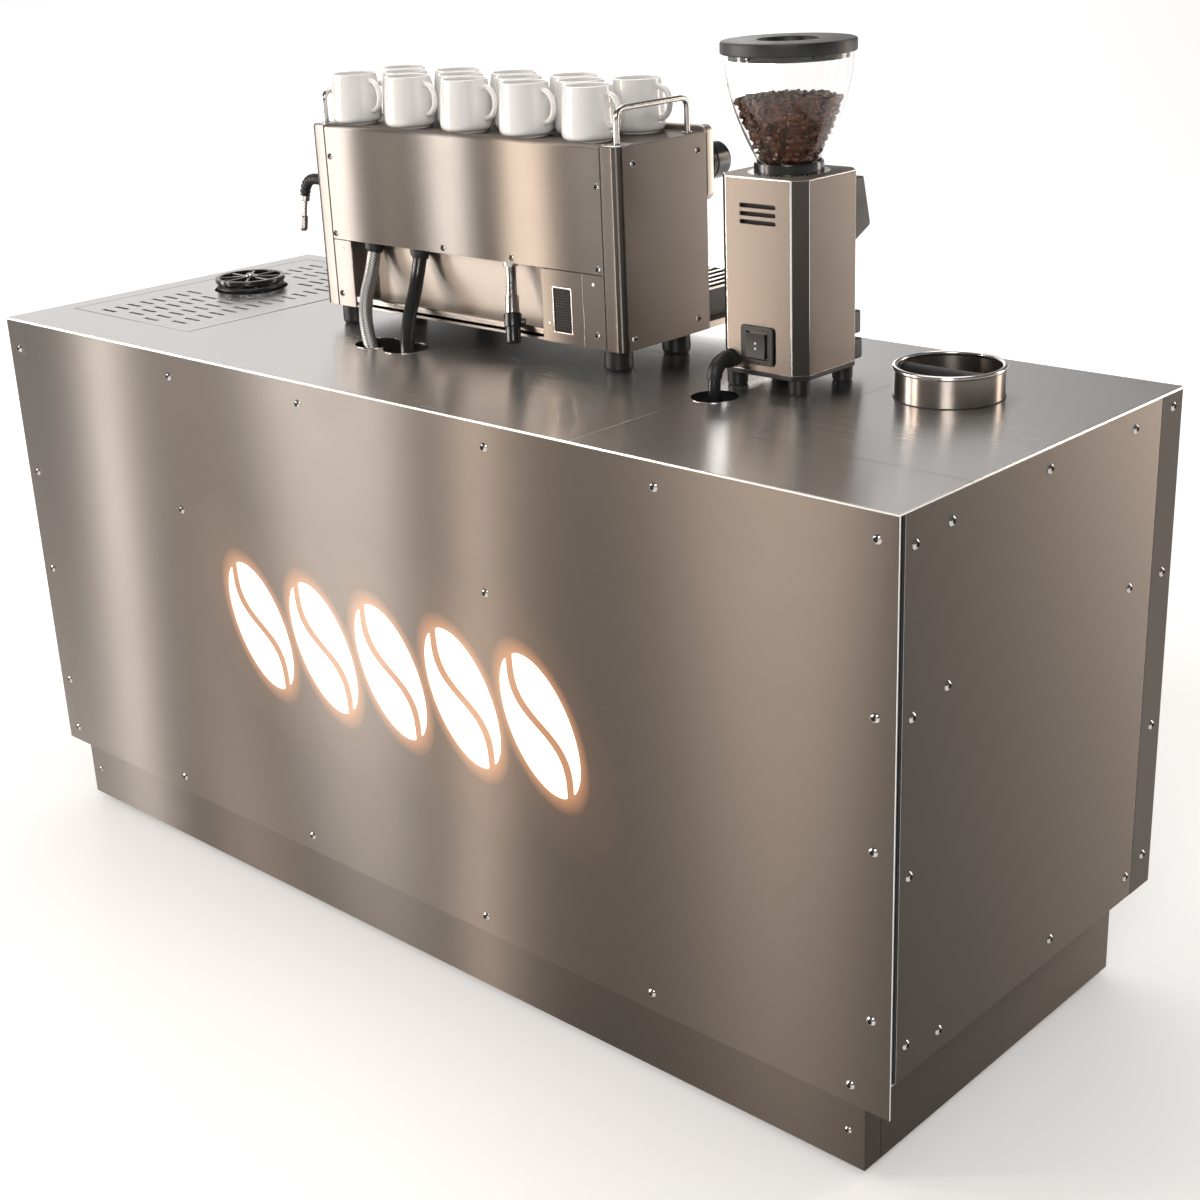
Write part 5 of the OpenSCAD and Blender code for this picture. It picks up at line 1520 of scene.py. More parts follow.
@dataclass
class KnockChute(Assembly):
    """The steel knock chute with its rubber bar, and the bin under it."""

    wall: float = 0.002
    rim_radius: float = 0.0036
    flange: float = 0.008
    flange_sheet: float = 0.003
    bar_radius: float = 0.012
    bar_drop: float = 0.02
    gap: float = 0.0003
    bin_radius: float = 0.012
    bin_edge: float = 0.0006
    gasket_width: float = 0.004
    gasket_lip: tuple[float, float] = (0.0014, 0.0012)

    def build(self) -> None:
        """Makes the chute, its rubber and the bin."""
        low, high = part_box("knock_chute")
        middle = (low + high) / 2
        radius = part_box("knock_rubber")[1].x - middle.x - self.gasket_width
        self.chute(low, high, middle, radius)
        self.rubber(high, middle, radius)
        self.bin()

    def chute(self, low: Vector, high: Vector, middle: Vector, radius: float) -> None:
        """Spins the tube with its rolled rim and its flange under the worktop."""
        inner = radius - self.wall
        height = high.z - low.z
        rim_z = height - self.rim_radius
        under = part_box("worktop_right")[0].z - low.z
        rim = arc((radius - self.wall / 2, rim_z), self.rim_radius, -70, 250, 14)
        profile = [(inner, 0), (radius, 0), (radius, under - self.flange_sheet),
                   (radius + self.flange, under - self.flange_sheet), (radius + self.flange, under),
                   (radius, under), *rim, (inner, 0)]
        tube = turned("knock_tube", Way.UP.at((middle.x, middle.y, low.z)), profile, 96)
        lay_grain(tube)
        dress(tube, self.finishes.turned, self.finishes.edge)
        # Painted highlight: the rolled rim gets the bright edge steel.
        mark(tube, 1, lambda point, normal: point.z > low.z + rim_z - self.rim_radius * 0.5)
        self.add(tube, "bright_steel", ["knock_chute"])

    def rubber(self, high: Vector, middle: Vector, radius: float) -> None:
        """Makes the rubber bar across the chute and the gasket round it."""
        reach = radius - self.wall - self.gap
        r = self.bar_radius
        half = math.sqrt(reach ** 2 - r ** 2)
        profile = [(0, -reach + 0.0005), (r * 0.55, -half - 0.002), (r, -half), (r, half),
                   (r * 0.55, half + 0.002), (0, reach - 0.0005)]
        bar = turned("knock_bar", Way.RIGHT.at((middle.x, middle.y, high.z - self.bar_drop)), profile, 40)
        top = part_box("worktop_right")[1].z
        width, rise = self.gasket_lip
        gasket = hoop("gasket", Way.UP.at((middle.x, middle.y, top)), radius + width, radius + 0.0002, rise,
                      96, rise / 3)
        self.add(weld("knock_rubbers", bar, gasket), "black_rubber", ["knock_rubber"], self.finishes.rubber)

    def bin(self) -> None:
        """Makes the bin: a steel shell with rounded corners, hollowed out inside."""
        low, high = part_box("knock_bin")
        wall = self.wall
        tall = (high.z - low.z) / 2
        shell = block("bin_shell", low, high)
        round_some(shell, self.bin_radius, 5, lambda a, b: abs(a.z - b.z) > tall)
        hollow = block("bin_hollow", (low.x + wall, low.y + wall, low.z + wall),
                       (high.x - wall, high.y - wall, high.z + wall))
        round_some(hollow, self.bin_radius - wall, 5, lambda a, b: abs(a.z - b.z) > tall)
        cut(shell, hollow)
        round_edges(shell, self.bin_edge, 2)
        lay_grain(shell)
        self.add(shell, "brushed_steel", ["knock_bin"], self.finishes.panel, body="knock_bin")


def smooth_line(points: Sequence[Vector], steps: int = 5) -> list[Vector]:
    """Draws a smooth curve through points.

    Args:
        points: The points that the curve passes.
        steps: The number of stretches between two points.
    Returns:
        Close points along the curve.
    """
    ends = [points[0] * 2 - points[1], *points, points[-1] * 2 - points[-2]]
    line = []
    for a, b, c, d in zip(ends, ends[1:], ends[2:], ends[3:]):
        for i in range(steps):
            t = i / steps
            line.append(0.5 * (b * 2 + (c - a) * t + (a * 2 - b * 5 + c * 4 - d) * t ** 2
                               + (b * 3 - a - c * 3 + d) * t ** 3))
    return line + [points[-1]]


def tube(name: str, line: Sequence[Vector], radii: Sequence[float], sides: int = 24) -> Piece:
    """Wraps a grid round a line as a hose.

    Args:
        name: The piece's name.
        line: The middle line.
        radii: The hose's radius at each point.
        sides: The faces round it.
    Returns:
        The hose, with a UV map in metres along it and in turns round it.
    """
    deselect_all()
    stretches = len(line) - 1
    bpy.ops.mesh.primitive_grid_add(x_subdivisions=stretches, y_subdivisions=sides, size=1.0)
    obj = settle(name)
    length = sum((b - a).length for a, b in zip(line, line[1:]))
    side = (line[1] - line[0]).orthogonal()
    rings = []
    for i, point in enumerate(line):
        heading = (line[min(i + 1, stretches)] - line[max(i - 1, 0)]).normalized()
        side = (side - heading * side.dot(heading)).normalized()
        rings.append((point, side, heading.cross(side)))
    for vertex in obj.data.vertices:
        step = round((vertex.co.x + 0.5) * stretches)
        point, right, up = rings[step]
        turn = math.tau * (vertex.co.y + 0.5)
        vertex.co = point + (right * math.cos(turn) + up * math.sin(turn)) * radii[step]
    for corner in obj.data.uv_layers.active.data:
        corner.uv = (corner.uv[0] * length, corner.uv[1])
    with editing(obj):
        bpy.ops.mesh.remove_doubles(threshold=1e-6)
        bpy.ops.mesh.normals_make_consistent(inside=False)
    return obj


@dataclass
class Services(Assembly):
    """The tanks, the pump, the power box, and the hoses and cable that reach them."""

    hose_diameter: float = 0.022
    cable_diameter: float = 0.018
    supply_route: Route = (
        (-0.290, -0.032, 1.062), (-0.286, -0.047, 1.026), (-0.278, -0.067, 0.994), (-0.260, -0.088, 0.966),
        (-0.236, -0.106, 0.940), (-0.211, -0.120, 0.913), (-0.191, -0.130, 0.882), (-0.179, -0.134, 0.844),
        (-0.175, -0.133, 0.805), (-0.175, -0.130, 0.766), (-0.177, -0.124, 0.728), (-0.181, -0.115, 0.689),
        (-0.186, -0.105, 0.652), (-0.191, -0.094, 0.614), (-0.195, -0.082, 0.577), (-0.200, -0.069, 0.541),
        (-0.204, -0.054, 0.504), (-0.207, -0.039, 0.468), (-0.210, -0.023, 0.432), (-0.211, -0.010, 0.396),
        (-0.212, -0.002, 0.357), (-0.212, 0.0, 0.318))
    drain_route: Route = (
        (-0.180, -0.032, 1.062), (-0.178, -0.043, 1.031), (-0.172, -0.059, 1.002), (-0.165, -0.077, 0.975),
        (-0.154, -0.094, 0.949), (-0.142, -0.108, 0.921), (-0.131, -0.115, 0.890), (-0.124, -0.116, 0.858),
        (-0.121, -0.112, 0.825), (-0.124, -0.103, 0.793), (-0.133, -0.091, 0.763), (-0.149, -0.077, 0.738),
        (-0.172, -0.064, 0.717), (-0.199, -0.053, 0.702), (-0.229, -0.043, 0.690), (-0.259, -0.035, 0.681),
        (-0.290, -0.026, 0.671), (-0.319, -0.017, 0.656), (-0.343, -0.010, 0.635), (-0.360, -0.004, 0.607),
        (-0.369, -0.001, 0.575), (-0.370, 0.0, 0.542))
    cable_route: Route = (
        (0.430, -0.044, 0.950), (0.430, -0.045, 0.934), (0.431, -0.047, 0.905), (0.433, -0.052, 0.865),
        (0.438, -0.062, 0.815), (0.448, -0.078, 0.760), (0.466, -0.100, 0.708), (0.492, -0.128, 0.660),
        (0.522, -0.158, 0.616), (0.552, -0.186, 0.572), (0.580, -0.210, 0.525), (0.602, -0.228, 0.478),
        (0.615, -0.237, 0.435), (0.620, -0.240, 0.405), (0.620, -0.240, 0.388))
    tank_radius: float = 0.03
    cap_height: float = 0.024
    cap_radius: float = 0.032
    cap_places: tuple[tuple[float, float], ...] = ((-0.76, 0.04), (-0.37, 0.0))
    tank_places: tuple[float, ...] = (-0.76, -0.42)
    tank_length: float = 0.25
    tank_edge: float = 0.012
    gland_radius: float = 0.016
    gland_skirt: float = 0.006
    pump_height: float = 0.11
    pump_edge: float = 0.004
    motor_radius: float = 0.045
    motor_ribs: int = 7
    fitting_radius: float = 0.017
    fitting_rise: float = 0.1
    fitting_shares: Profile = ((0, 0), (1, 0), (1, 0.7), (0.8, 0.75), (0.75, 1), (0, 1))
    cap_shares: Profile = ((0, 0), (1, 0), (1, 0.9), (0.94, 1), (0, 1))
    lid_share: float = 0.75
    lid_seam: float = 0.002
    case_edge: float = 0.003
    power_gland: Profile = ((0, 0), (0.017, 0), (0.017, 0.008), (0.014, 0.01), (0.012, 0.02), (0, 0.02))

    def build(self) -> None:
        """Makes the cords first, then what they run to."""
        self.cord("supply_hose", "braided_hose", self.supply_route, self.hose_diameter, "bright_steel",
                  self.finishes.braid)
        self.cord("drain_hose", "rubber_hose", self.drain_route, self.hose_diameter, "black_rubber",
                  self.finishes.hose)
        self.cord("grinder_cable", "mains_cable", self.cable_route, self.cable_diameter, "black_rubber",
                  self.finishes.hose)
        self.glands()
        self.tanks()
        self.pump()
        self.power()

    def cord(self, node: str, name: str, route: Route, diameter: float, slot: str, finish: Finish) -> None:
        """Lays one hose or cable along its route.

        Args:
            node: The CAD node that it stands for.
            name: The piece's name.
            route: The points that it passes.
            diameter: Its thickness.
            slot: The record's material slot.
            finish: Its finish.
        """
        line = smooth_line([Vector(point) for point in route])
        hose = tube(name, line, [diameter / 2] * len(line))
        self.add(hose, slot, [node], finish)
        length = sum((b - a).length for a, b in zip(line, line[1:]))
        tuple(route[0])
        [tuple(p) for p in line]

    def glands(self) -> None:
        """Makes the black fittings that the hoses hang from."""
        low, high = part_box("hose_glands")
        height, r = high.z - low.z, self.gland_radius
        skirt = self.gland_skirt
        profile = [(0, -skirt), (r * 0.78, -skirt), (r * 0.84, 0), (r * 0.97, skirt / 6), (r, skirt / 2),
                   (r, height), (0, height)]
        made = [turned("gland", Way.UP.at((route[0][0], route[0][1], low.z)), profile, 32)
                for route in (self.supply_route, self.drain_route)]
        self.add(weld("hose_fittings", *made), "black_plastic", ["hose_glands"], self.finishes.black)

    def tanks(self) -> None:
        """Makes the fresh and the waste water tank with their screw caps."""
        low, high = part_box("water_tanks")
        top = high.z - self.cap_height
        made = []
        for x in self.tank_places:
            half = self.tank_length / 2
            tank = block("tank", (x - half, low.y, low.z), (x + half, high.y, top))
            round_some(tank, self.tank_radius, 6, lambda a, b: abs(a.z - b.z) > self.cap_height)
            round_edges(tank, self.tank_edge, 4, 60)
            made.append(tank)
        tanks = dress(weld("tank_bodies", *made), self.finishes.white)
        cap = shaped(self.cap_shares, self.cap_radius, self.cap_height)
        caps = [turned("cap", Way.UP.at((x, y, top)), cap, 48) for x, y in self.cap_places]
        lids = dress(weld("tank_caps", *caps), self.finishes.black)
        self.add(weld("water_tank_pair", tanks, lids), "white_plastic", ["water_tanks"])

    def pump(self) -> None:
        """Makes the pump: a block, a ribbed motor and the fitting that the hose sits on."""
        low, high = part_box("water_pump")
        middle = (low + high) / 2
        motor_r, length, ribs = self.motor_radius, high.y - middle.y, self.motor_ribs
        body = block("pump_body", low, (high.x, middle.y, low.z + self.pump_height), self.pump_edge, 3)
        profile = [(0, 0), (motor_r * 0.9, 0)]
        step = length / ribs
        for i in range(ribs):
            y = length * (i + 0.2) / ribs
            profile += [(motor_r, y), (motor_r, y + step * 0.5), (motor_r * 0.9, y + step * 0.6)]
        profile += [(motor_r * 0.9, length), (0, length)]
        motor = turned("pump_motor", Way.BACK.at((middle.x, middle.y, low.z + motor_r)), profile, 48)
        start = self.fitting_rise
        fitting = turned("pump_fitting", Way.UP.at((middle.x, middle.y, low.z + start)),
                         shaped(self.fitting_shares, self.fitting_radius, high.z - low.z - start), 32)
        self.add(weld("pump", body, motor, fitting), "black_plastic", ["water_pump"], self.finishes.black)

    def power(self) -> None:
        """Makes the power box with its lid seam and its cable gland."""
        low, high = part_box("power_box")
        top = high.z - self.power_gland[-1][1]
        lid_y = low.y + (high.y - low.y) * self.lid_share
        body = block("power_case", low, (high.x, lid_y - self.lid_seam, top), self.case_edge, 3)
        lid = block("power_lid", (low.x, lid_y, low.z), (high.x, high.y, top), self.case_edge, 3)
        case = weld("power_case", body, lid)
        lay_grain(case)
        dress(case, self.finishes.panel)
        x, y = self.cable_route[-1][:2]
        gland = turned("power_gland", Way.UP.at((x, y, top)), self.power_gland, 32)
        dress(gland, self.finishes.black)
        self.add(weld("power_unit", case, gland), "brushed_steel", ["power_box"])


@dataclass
class EspressoMachine(Assembly):
    """The two-group machine: its covers, tray, rails, controls, groups and drip tray."""

    sheet: float = 0.002
    edge: float = 0.0007
    cover_radius: float = 0.012
    post_width: float = 0.032
    panel_edge_radius: float = 0.008
    panel_lip: float = 0.014
    strip_widths: tuple[float, float] = (0.042, 0.042)
    vent_width: float = 0.084
    panel_gap: float = 0.001
    window: tuple[float, float] = (0.036, 0.066)
    window_drop: float = 0.026
    window_radius: float = 0.004
    mesh_pitch: float = 0.0042
    mesh_wire: float = 0.0009
    window_frame: tuple[float, float] = (0.0012, 0.0005)
    dot_radius: float = 0.0024
    hem: tuple[float, float] = (0.014, 0.0012)
    cap_height: float = 0.014
    cap_depth: float = 0.04
    cap_edge: float = 0.0035
    recess_z: float = 1.074
    recess_y: float = -0.015
    base_height: float = 0.01
    rail_size: tuple[float, float] = (0.008, 0.009)
    screw_radius: float = 0.0055
    screw_height: float = 0.003
    rod_radius: float = 0.0045
    rod_bend: float = 0.016
    rod_foot: tuple[float, float] = (0.002, 0.0006)
    tap_place: tuple[float, float] = (0.028, -0.036)
    tap_lean: float = 24.5
    tap_turn: float = 43.6
    tap_collar: tuple[float, float] = (0.0115, 0.008)
    tap_pipe: Profile = ((0, 0), (0.0078, 0), (0.0078, 0.0495), (0.0104, 0.05), (0.0106, 0.0505),
                         (0.0106, 0.0775), (0.0104, 0.078), (0, 0.078))
    tap_body: Profile = ((0, 0.0775), (0.0132, 0.0775), (0.0135, 0.0785), (0.0135, 0.097), (0.0128, 0.098),
                         (0.0113, 0.0985), (0.0113, 0.119), (0.0105, 0.1215), (0.006, 0.122), (0, 0.122))
    tap_knob: tuple[float, float] = (0.005, 0.012)
    tap_knob_place: tuple[float, float, float] = (0.008, 0.0, 0.09)
    fascia_corner: float = 0.014
    fascia_edge: float = 0.003
    knob_shares: Profile = ((0.93, 0.21), (0.93, 0.235), (1, 0.25), (1, 0.82), (0.985, 0.9), (0.94, 0.96),
                            (0.86, 1), (0, 1))
    knob_gap: float = 0.0003
    button_edge: float = 0.001
    group_radius: float = 0.038
    group_bore: float = 0.0332
    group_shares: Profile = ((1, 0), (1, 0.55), (0.94, 0.62), (0.94, 0.95), (0.88, 1), (0, 1))
    neck_size: tuple[float, float, float] = (0.04, 0.02, 0.002)
    bowl_rim_z: float = 1.1077
    bowl_radius: float = 0.029
    bowl_lug: tuple[float, float] = (0.033, 0.001)
    spout: Profile = ((0, 0), (0.006, 0), (0.007, 0.006), (0.012, 0.012))
    handle_neck: float = 0.007
    grip_root: Profile = ((0.0105, 0.02), (0.0125, 0.034), (0.0118, 0.06))
    grip_end: Profile = ((0.013, 0.02), (0.0122, 0.008), (0.008, 0.002))
    tray_wall: float = 0.003
    bar_width: float = 0.006
    bar_edge: float = 0.001
    bars: int = 30
    foot_radius: float = 0.022
    wand_radii: tuple[float, float, float, float] = (0.009, 0.0076, 0.0045, 0.007)
    wand_reach: tuple[float, float, float] = (0.01, 0.06, 0.034)
    wand_bend: float = 0.026
    wand_lean: float = 192.0

    def build(self) -> None:
        """Makes every piece of the machine."""
        self.covers()
        self.rear_panels()
        self.chassis()
        self.top()
        self.screws()
        self.fascia()
        self.controls()
        self.groups()
        self.drip()
        self.feet()
        self.wand()
        self.tap()
        self.keep("boiler", self.finishes.alloy)

    @property
    def body(self) -> tuple[Vector, Vector]:
        """Gives the corners of the covers' box."""
        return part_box("machine_side_covers")

    def covers(self) -> None:
        """Makes the two bent side covers with their hems and post caps, with a painted highlight on their
        upward and downward faces, and the near-black blocks of painted shade beside the posts.
        """
        low, high = self.body
        panel_low, panel_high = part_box("machine_rear_panels")
        t, r, post = self.sheet, self.cover_radius, self.post_width
        bend = [(post, 0), (r, 0), *arc((r, r), r, 270, 180, 8)[1:]]
        outline = [*bend, (0, high.y - low.y), (t, high.y - low.y), *arc((r, r), r - t, 180, 270, 8),
                   (post, t)]
        cap_z, rise, e = high.z - self.cap_height, self.cap_height, self.edge
        cap_outline = [(post - e, e), (r, e), *arc((r, r), r - e, 270, 180, 8)[1:], (e, self.cap_depth),
                       (post - e, self.cap_depth)]
        hem_rise, hem_out = self.hem
        made, shadow_gaps = [], []
        for side, x, edge_x in ((1, low.x, panel_low.x), (-1, high.x, panel_high.x)):
            points = [Vector((x + side * a, low.y + b, low.z)) for a, b in outline]
            made.append(sheet_from("cover", points, Vector((0, 0, high.z - low.z - self.cap_edge))))
            points = [Vector((x + side * a, low.y + b, cap_z)) for a, b in cap_outline]
            cap = sheet_from("post_cap", points, Vector((0, 0, rise)))
            made.append(round_some(cap, self.cap_edge, 4, lambda a, b: min(a.z, b.z) > high.z - self.edge))
            out = x - side * hem_out
            made.append(block("hem", (min(x, out), low.y + r, low.z + self.edge),
                              (max(x, out), high.y - t, low.z + hem_rise), hem_out / 3))
            # Painted shade: near-black blocks fill the gap beside each post.
            shadow_gap_x = sorted((x + side * (post - t), edge_x + side * t))
            shadow_gaps.append(block("shadow_gap", (shadow_gap_x[0], low.y + t / 2, low.z),
                               (shadow_gap_x[1], low.y + t * 2, high.z - t * 2)))
        covers = round_edges(weld("side_covers", *made), self.edge, 2, 50)
        lay_grain(covers)
        dress(covers, self.finishes.machine, self.finishes.edge)
        # Painted highlight: upward and downward faces, the post caps' tops among them, get the bright edge
        # steel.
        mark(covers, 1, lambda middle, normal: abs(normal.z) > 0.5)
        self.add(covers, "brushed_steel", ["machine_side_covers"])
        self.add(weld("post_shadow_gaps", *shadow_gaps), "black_rubber", [], self.finishes.shadow)

    def rear_panels(self) -> None:
        """Makes the upper panel with its rolled top edge, the two strips and the vent panel."""
        low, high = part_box("machine_rear_panels")
        t, r, lip = self.sheet, self.panel_edge_radius, self.panel_lip
        y, z = low.y, high.z
        outline = [(y, self.recess_z), (y, z - r), *arc((y + r, z - r), r, 180, 90, 8)[1:], (y + lip, z),
                   (y + lip, z - t), *arc((y + r, z - r), r - t, 90, 180, 8), (y + t, self.recess_z)]
        upper = sheet_from("upper_panel", [Vector((low.x, a, b)) for a, b in outline],
                           Vector((high.x - low.x, 0, 0)))
        round_edges(upper, self.edge, 2, 50)
        top = self.recess_z - self.panel_gap
        left_w, right_w = self.strip_widths
        left = block("left_strip", (low.x, y, low.z), (low.x + left_w, y + t, top), self.edge)
        right = block("right_strip", (high.x - right_w, y, low.z), (high.x, y + t, top), self.edge)
        vent_x = high.x - right_w - self.panel_gap
        vent = block("vent_panel", (vent_x - self.vent_width, y, low.z), (vent_x, y + t, top), self.edge)
        x0 = vent_x - (self.vent_width + self.window[0]) / 2
        z0 = top - self.window_drop - self.window[1]
        mesh = self.vent_mesh(vent, Vector((x0, y, z0)))
        panels = weld("rear_panel_set", upper, left, right, vent)
        lay_grain(panels)
        places = ((low.x + left_w / 2, top - lip), (high.x - right_w / 2, top - lip),
                  (vent_x - self.vent_width + lip, low.z + lip * 2))
        e = self.edge
        dots = [disc("dot", Way.FRONT.at((x, y, z)), self.dot_radius, e, 20, e / 3) for x, z in places]
        spots = dress(weld("dots", *dots), self.finishes.bright)
        dress(panels, self.finishes.machine, self.finishes.edge)
        # Painted highlight: downward and sideways faces get the bright edge steel.
        mark(panels, 1, lambda middle, normal: normal.z < -0.5 or abs(normal.x) > 0.5)
        self.add(weld("rear_panel_set", panels, spots, mesh), "brushed_steel", ["machine_rear_panels"])

    def vent_mesh(self, panel: Piece, corner: Vector) -> Piece:
        """Cuts the window into the vent panel and sets a wire mesh on a near-black back of painted shade into
        it, inside a border with a painted highlight.

        Args:
            panel: The vent panel.
            corner: The window's lowest corner on the panel's outer face.
        Returns:
            The mesh and its back.
        """
        width, height = self.window
        t, pitch, wire = self.sheet, self.mesh_pitch, self.mesh_wire
        hole = block("window", corner - Vector((0, t, 0)), corner + Vector((width, t * 2, height)))
        cut(panel, round_some(hole, self.window_radius, 4, lambda a, b: abs(a.y - b.y) > t))
        y = corner.y + t * 0.4
        wires = [block("wire", (corner.x + pitch * i, y, corner.z),
                       (corner.x + pitch * i + wire, y + wire, corner.z + height))
                 for i in range(1, int(width / pitch) + 1)]
        wires += [block("wire", (corner.x, y, corner.z + pitch * i),
                        (corner.x + width, y + wire, corner.z + pitch * i + wire))
                  for i in range(1, int(height / pitch) + 1)]
        mesh = weld("mesh", *wires)
        dress(mesh, self.finishes.black)
        rim, out = self.window_frame
        border = block("border", corner - Vector((rim, out, rim)),
                       corner + Vector((width + rim, t / 2, height + rim)))
        cut(border, block("inside", corner - Vector((0, t, 0)), corner + Vector((width, t * 2, height))))
        # Painted highlight on the window's border.
        dress(border, self.finishes.edge)
        # Painted shade: a near-black sheet behind the mesh.
        back = block("vent_shade_back", corner + Vector((-t, t * 1.1, -t)),
                     corner + Vector((width + t, t * 1.7, height + t)))
        dress(back, self.finishes.shadow)
        return weld("mesh", mesh, border, back)

    def chassis(self) -> None:
        """Makes the base plate, its bright rail, the recess and the front wall, with painted shade on the
        base's underside.
        """
        low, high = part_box("machine_chassis")
        panel_low, panel_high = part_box("machine_rear_panels")
        body_low, body_high = self.body
        t, e = self.sheet, self.edge
        base_z = low.z + self.base_height
        depth, rise = self.rail_size
        x0, x1 = panel_low.x, panel_high.x
        base = block("base", (low.x, body_low.y + self.cover_radius, low.z), (high.x, high.y, base_z), e)
        sill = block("sill", (x0, low.y, low.z), (x1, body_low.y + self.cover_radius + e * 2, base_z), e)
        rail = block("rail", (x0, low.y, low.z + e), (x1, low.y + depth, base_z + rise), depth / 2.2, 5)
        steel = weld("base_rail", base, sill, rail)
        lay_grain(steel)
        dress(steel, self.finishes.turned, self.finishes.shadow)
        # Painted shade: downward faces of the base are near-black.
        mark(steel, 1, lambda middle, normal: normal.z < -0.5)
        wall = block("recess_wall", (low.x, self.recess_y, base_z), (high.x, self.recess_y + t, high.z), e)
        ceiling = block("recess_ceiling", (x0, low.y, self.recess_z),
                        (x1, self.recess_y + t, self.recess_z + t), e)
        front = block("front_wall", (low.x, body_high.y - t, base_z), (high.x, body_high.y, high.z), e)
        left_w, right_w = self.strip_widths
        vent_x = x1 - right_w - self.panel_gap - self.vent_width
        cheeks = [block("cheek", (x, body_low.y + t, base_z),
                        (x + t, self.recess_y + t / 2, self.recess_z), e / 2)
                  for x in (x0 + left_w - t * 2, vent_x + t)]
        walls = weld("inner_walls", wall, ceiling, front, *cheeks)
        lay_grain(walls)
        dress(walls, self.finishes.recess)
        self.add(weld("chassis_sheets", steel, walls), "brushed_steel", ["machine_chassis"])

    def top(self) -> None:
        """Makes the cup tray and the bent rods over its ends."""
        low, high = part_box("machine_top_tray")
        tray = block("cup_tray", low, high, self.edge)
        lay_grain(tray)
        self.add(tray, "brushed_steel", ["machine_top_tray"], self.finishes.machine)
        rail_low, rail_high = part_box("cup_rails")
        r, (foot_h, foot_edge) = self.rod_radius, self.rod_foot
        made = []
        for x in (rail_low.x + r, rail_high.x - r):
            y0, y1, z = rail_low.y + r, rail_high.y - r, rail_high.z - r
            corners = [Vector((x, y0, rail_low.z)), Vector((x, y0, z)), Vector((x, y1, z)),
                       Vector((x, y1, rail_low.z))]
            made.append(rod("cup_rod", filleted(corners, self.rod_bend, 10), r, 20))
            for y in (y0, y1):
                made.append(disc("rod_foot", Way.UP.at((x, y, rail_low.z)), r * 1.7, foot_h, 32, foot_edge))
        self.add(weld("cup_rods", *made), "bright_steel", ["cup_rails"], self.finishes.bright)

    def screws(self) -> None:
        """Sets a screw head wherever the frame has one on the machine."""
        low, high = self.body
        places = []
        for middle in solid_middles("machine_screws", self.screw_radius * 3):
            if middle.x > high.x:
                places.append(Way.RIGHT.at((high.x, middle.y, middle.z)))
            elif middle.x < low.x:
                places.append(Way.LEFT.at((low.x, middle.y, middle.z)))
            else:
                places.append(Way.FRONT.at((middle.x, low.y, middle.z)))
        head = screw_head(self.finishes, self.screw_radius, self.screw_height)
        self.add(copies(head, places, "machine_screw_heads"), "bright_steel", ["machine_screws"])

    def fascia(self) -> None:
        """Makes the barista's fascia with rounded corners."""
        low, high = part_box("machine_fascia")
        plate = block("fascia_plate", low, high)
        depth = (high.y - low.y) / 2
        round_some(plate, self.fascia_corner, 8, lambda a, b: abs(a.y - b.y) > depth)
        round_edges(plate, self.fascia_edge, 3, 50)
        lay_grain(plate)
        self.add(plate, "bright_steel", ["machine_fascia"], self.finishes.turned)

    def controls(self) -> None:
        """Makes the steam knobs and the brew buttons."""
        plate_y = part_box("machine_fascia")[1].y
        for side in ("left", "right"):
            node = f"steam_knob_{side}"
            low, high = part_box(node)
            middle = (low + high) / 2
            r, h = (high.x - low.x) / 2, high.y - plate_y
            profile = [(0, self.knob_gap), (r * 0.95, self.knob_gap), (r * 0.96, h * 0.2),
                       *shaped(self.knob_shares, r, h)]
            knob = turned(f"{node}_grip", Way.BACK.at((middle.x, plate_y, middle.z)), profile, 72)
            self.add(knob, "black_plastic", [node], self.finishes.gloss, body=node)
            node = f"brew_button_{side}"
            low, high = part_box(node)
            middle = (low + high) / 2
            r, h = (high.x - low.x) / 2, high.y - low.y
            e = self.button_edge
            profile = [(0, 0), (r, 0), (r, h - e), (r - e, h), (r * 0.6, h - e * 0.6), (0, h - e)]
            button = turned(f"{node}_cap", Way.BACK.at((middle.x, low.y, middle.z)), profile, 40)
            self.add(button, "black_plastic", [node], self.finishes.gloss, body=node)

    def groups(self) -> None:
        """Makes the two groups and their portafilters."""
        low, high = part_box("group_heads")
        width, drop, edge = self.neck_size
        y = high.y - self.group_radius
        profile = [(self.group_bore, 0), *shaped(self.group_shares, self.group_radius, high.z - low.z)]
        made = []
        for side in ("left", "right"):
            node = f"portafilter_{side}"
            filter_low, filter_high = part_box(node)
            x = (filter_low.x + filter_high.x) / 2
            made.append(turned("group", Way.UP.at((x, y, low.z)), profile, 64))
            made.append(block("neck", (x - width / 2, low.y, high.z - drop),
                              (x + width / 2, y, high.z - edge), edge, 2))
            self.portafilter(node, x, y)
        self.add(weld("group_castings", *made), "bright_steel", ["group_heads"], self.finishes.bright)

    def portafilter(self, node: str, x: float, y: float) -> None:
        """Makes one portafilter: a steel bowl with a spout and a black handle."""
        low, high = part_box(node)
        r, (lug, lug_rise) = self.bowl_radius, self.bowl_lug
        rim, top, tip = self.bowl_rim_z - low.z, high.z - low.z, self.spout[-1][1]
        profile = [*self.spout, (r * 0.8, tip * 4 / 3), (r, tip * 2), (r, rim), (lug, rim + lug_rise),
                   (lug, top), (0, top)]
        steel = turned(f"{node}_bowl", Way.UP.at((x, y, low.z)), profile, 56)
        self.add(steel, "bright_steel", [node], self.finishes.bright, body=node)
        h = high.y - y
        z = (self.bowl_rim_z + low.z + tip) / 2
        neck = self.handle_neck
        grip = [(a, r + b) for a, b in self.grip_root] + [(a, h - b) for a, b in self.grip_end]
        handle = turned(f"{node}_handle", Way.BACK.at((x, y, z)),
                        [(0, r * 0.8), (neck, r * 0.8), (neck, r + 0.016), *grip, (0, h)], 40)
        self.add(handle, "black_plastic", [node], self.finishes.gloss, body=node)

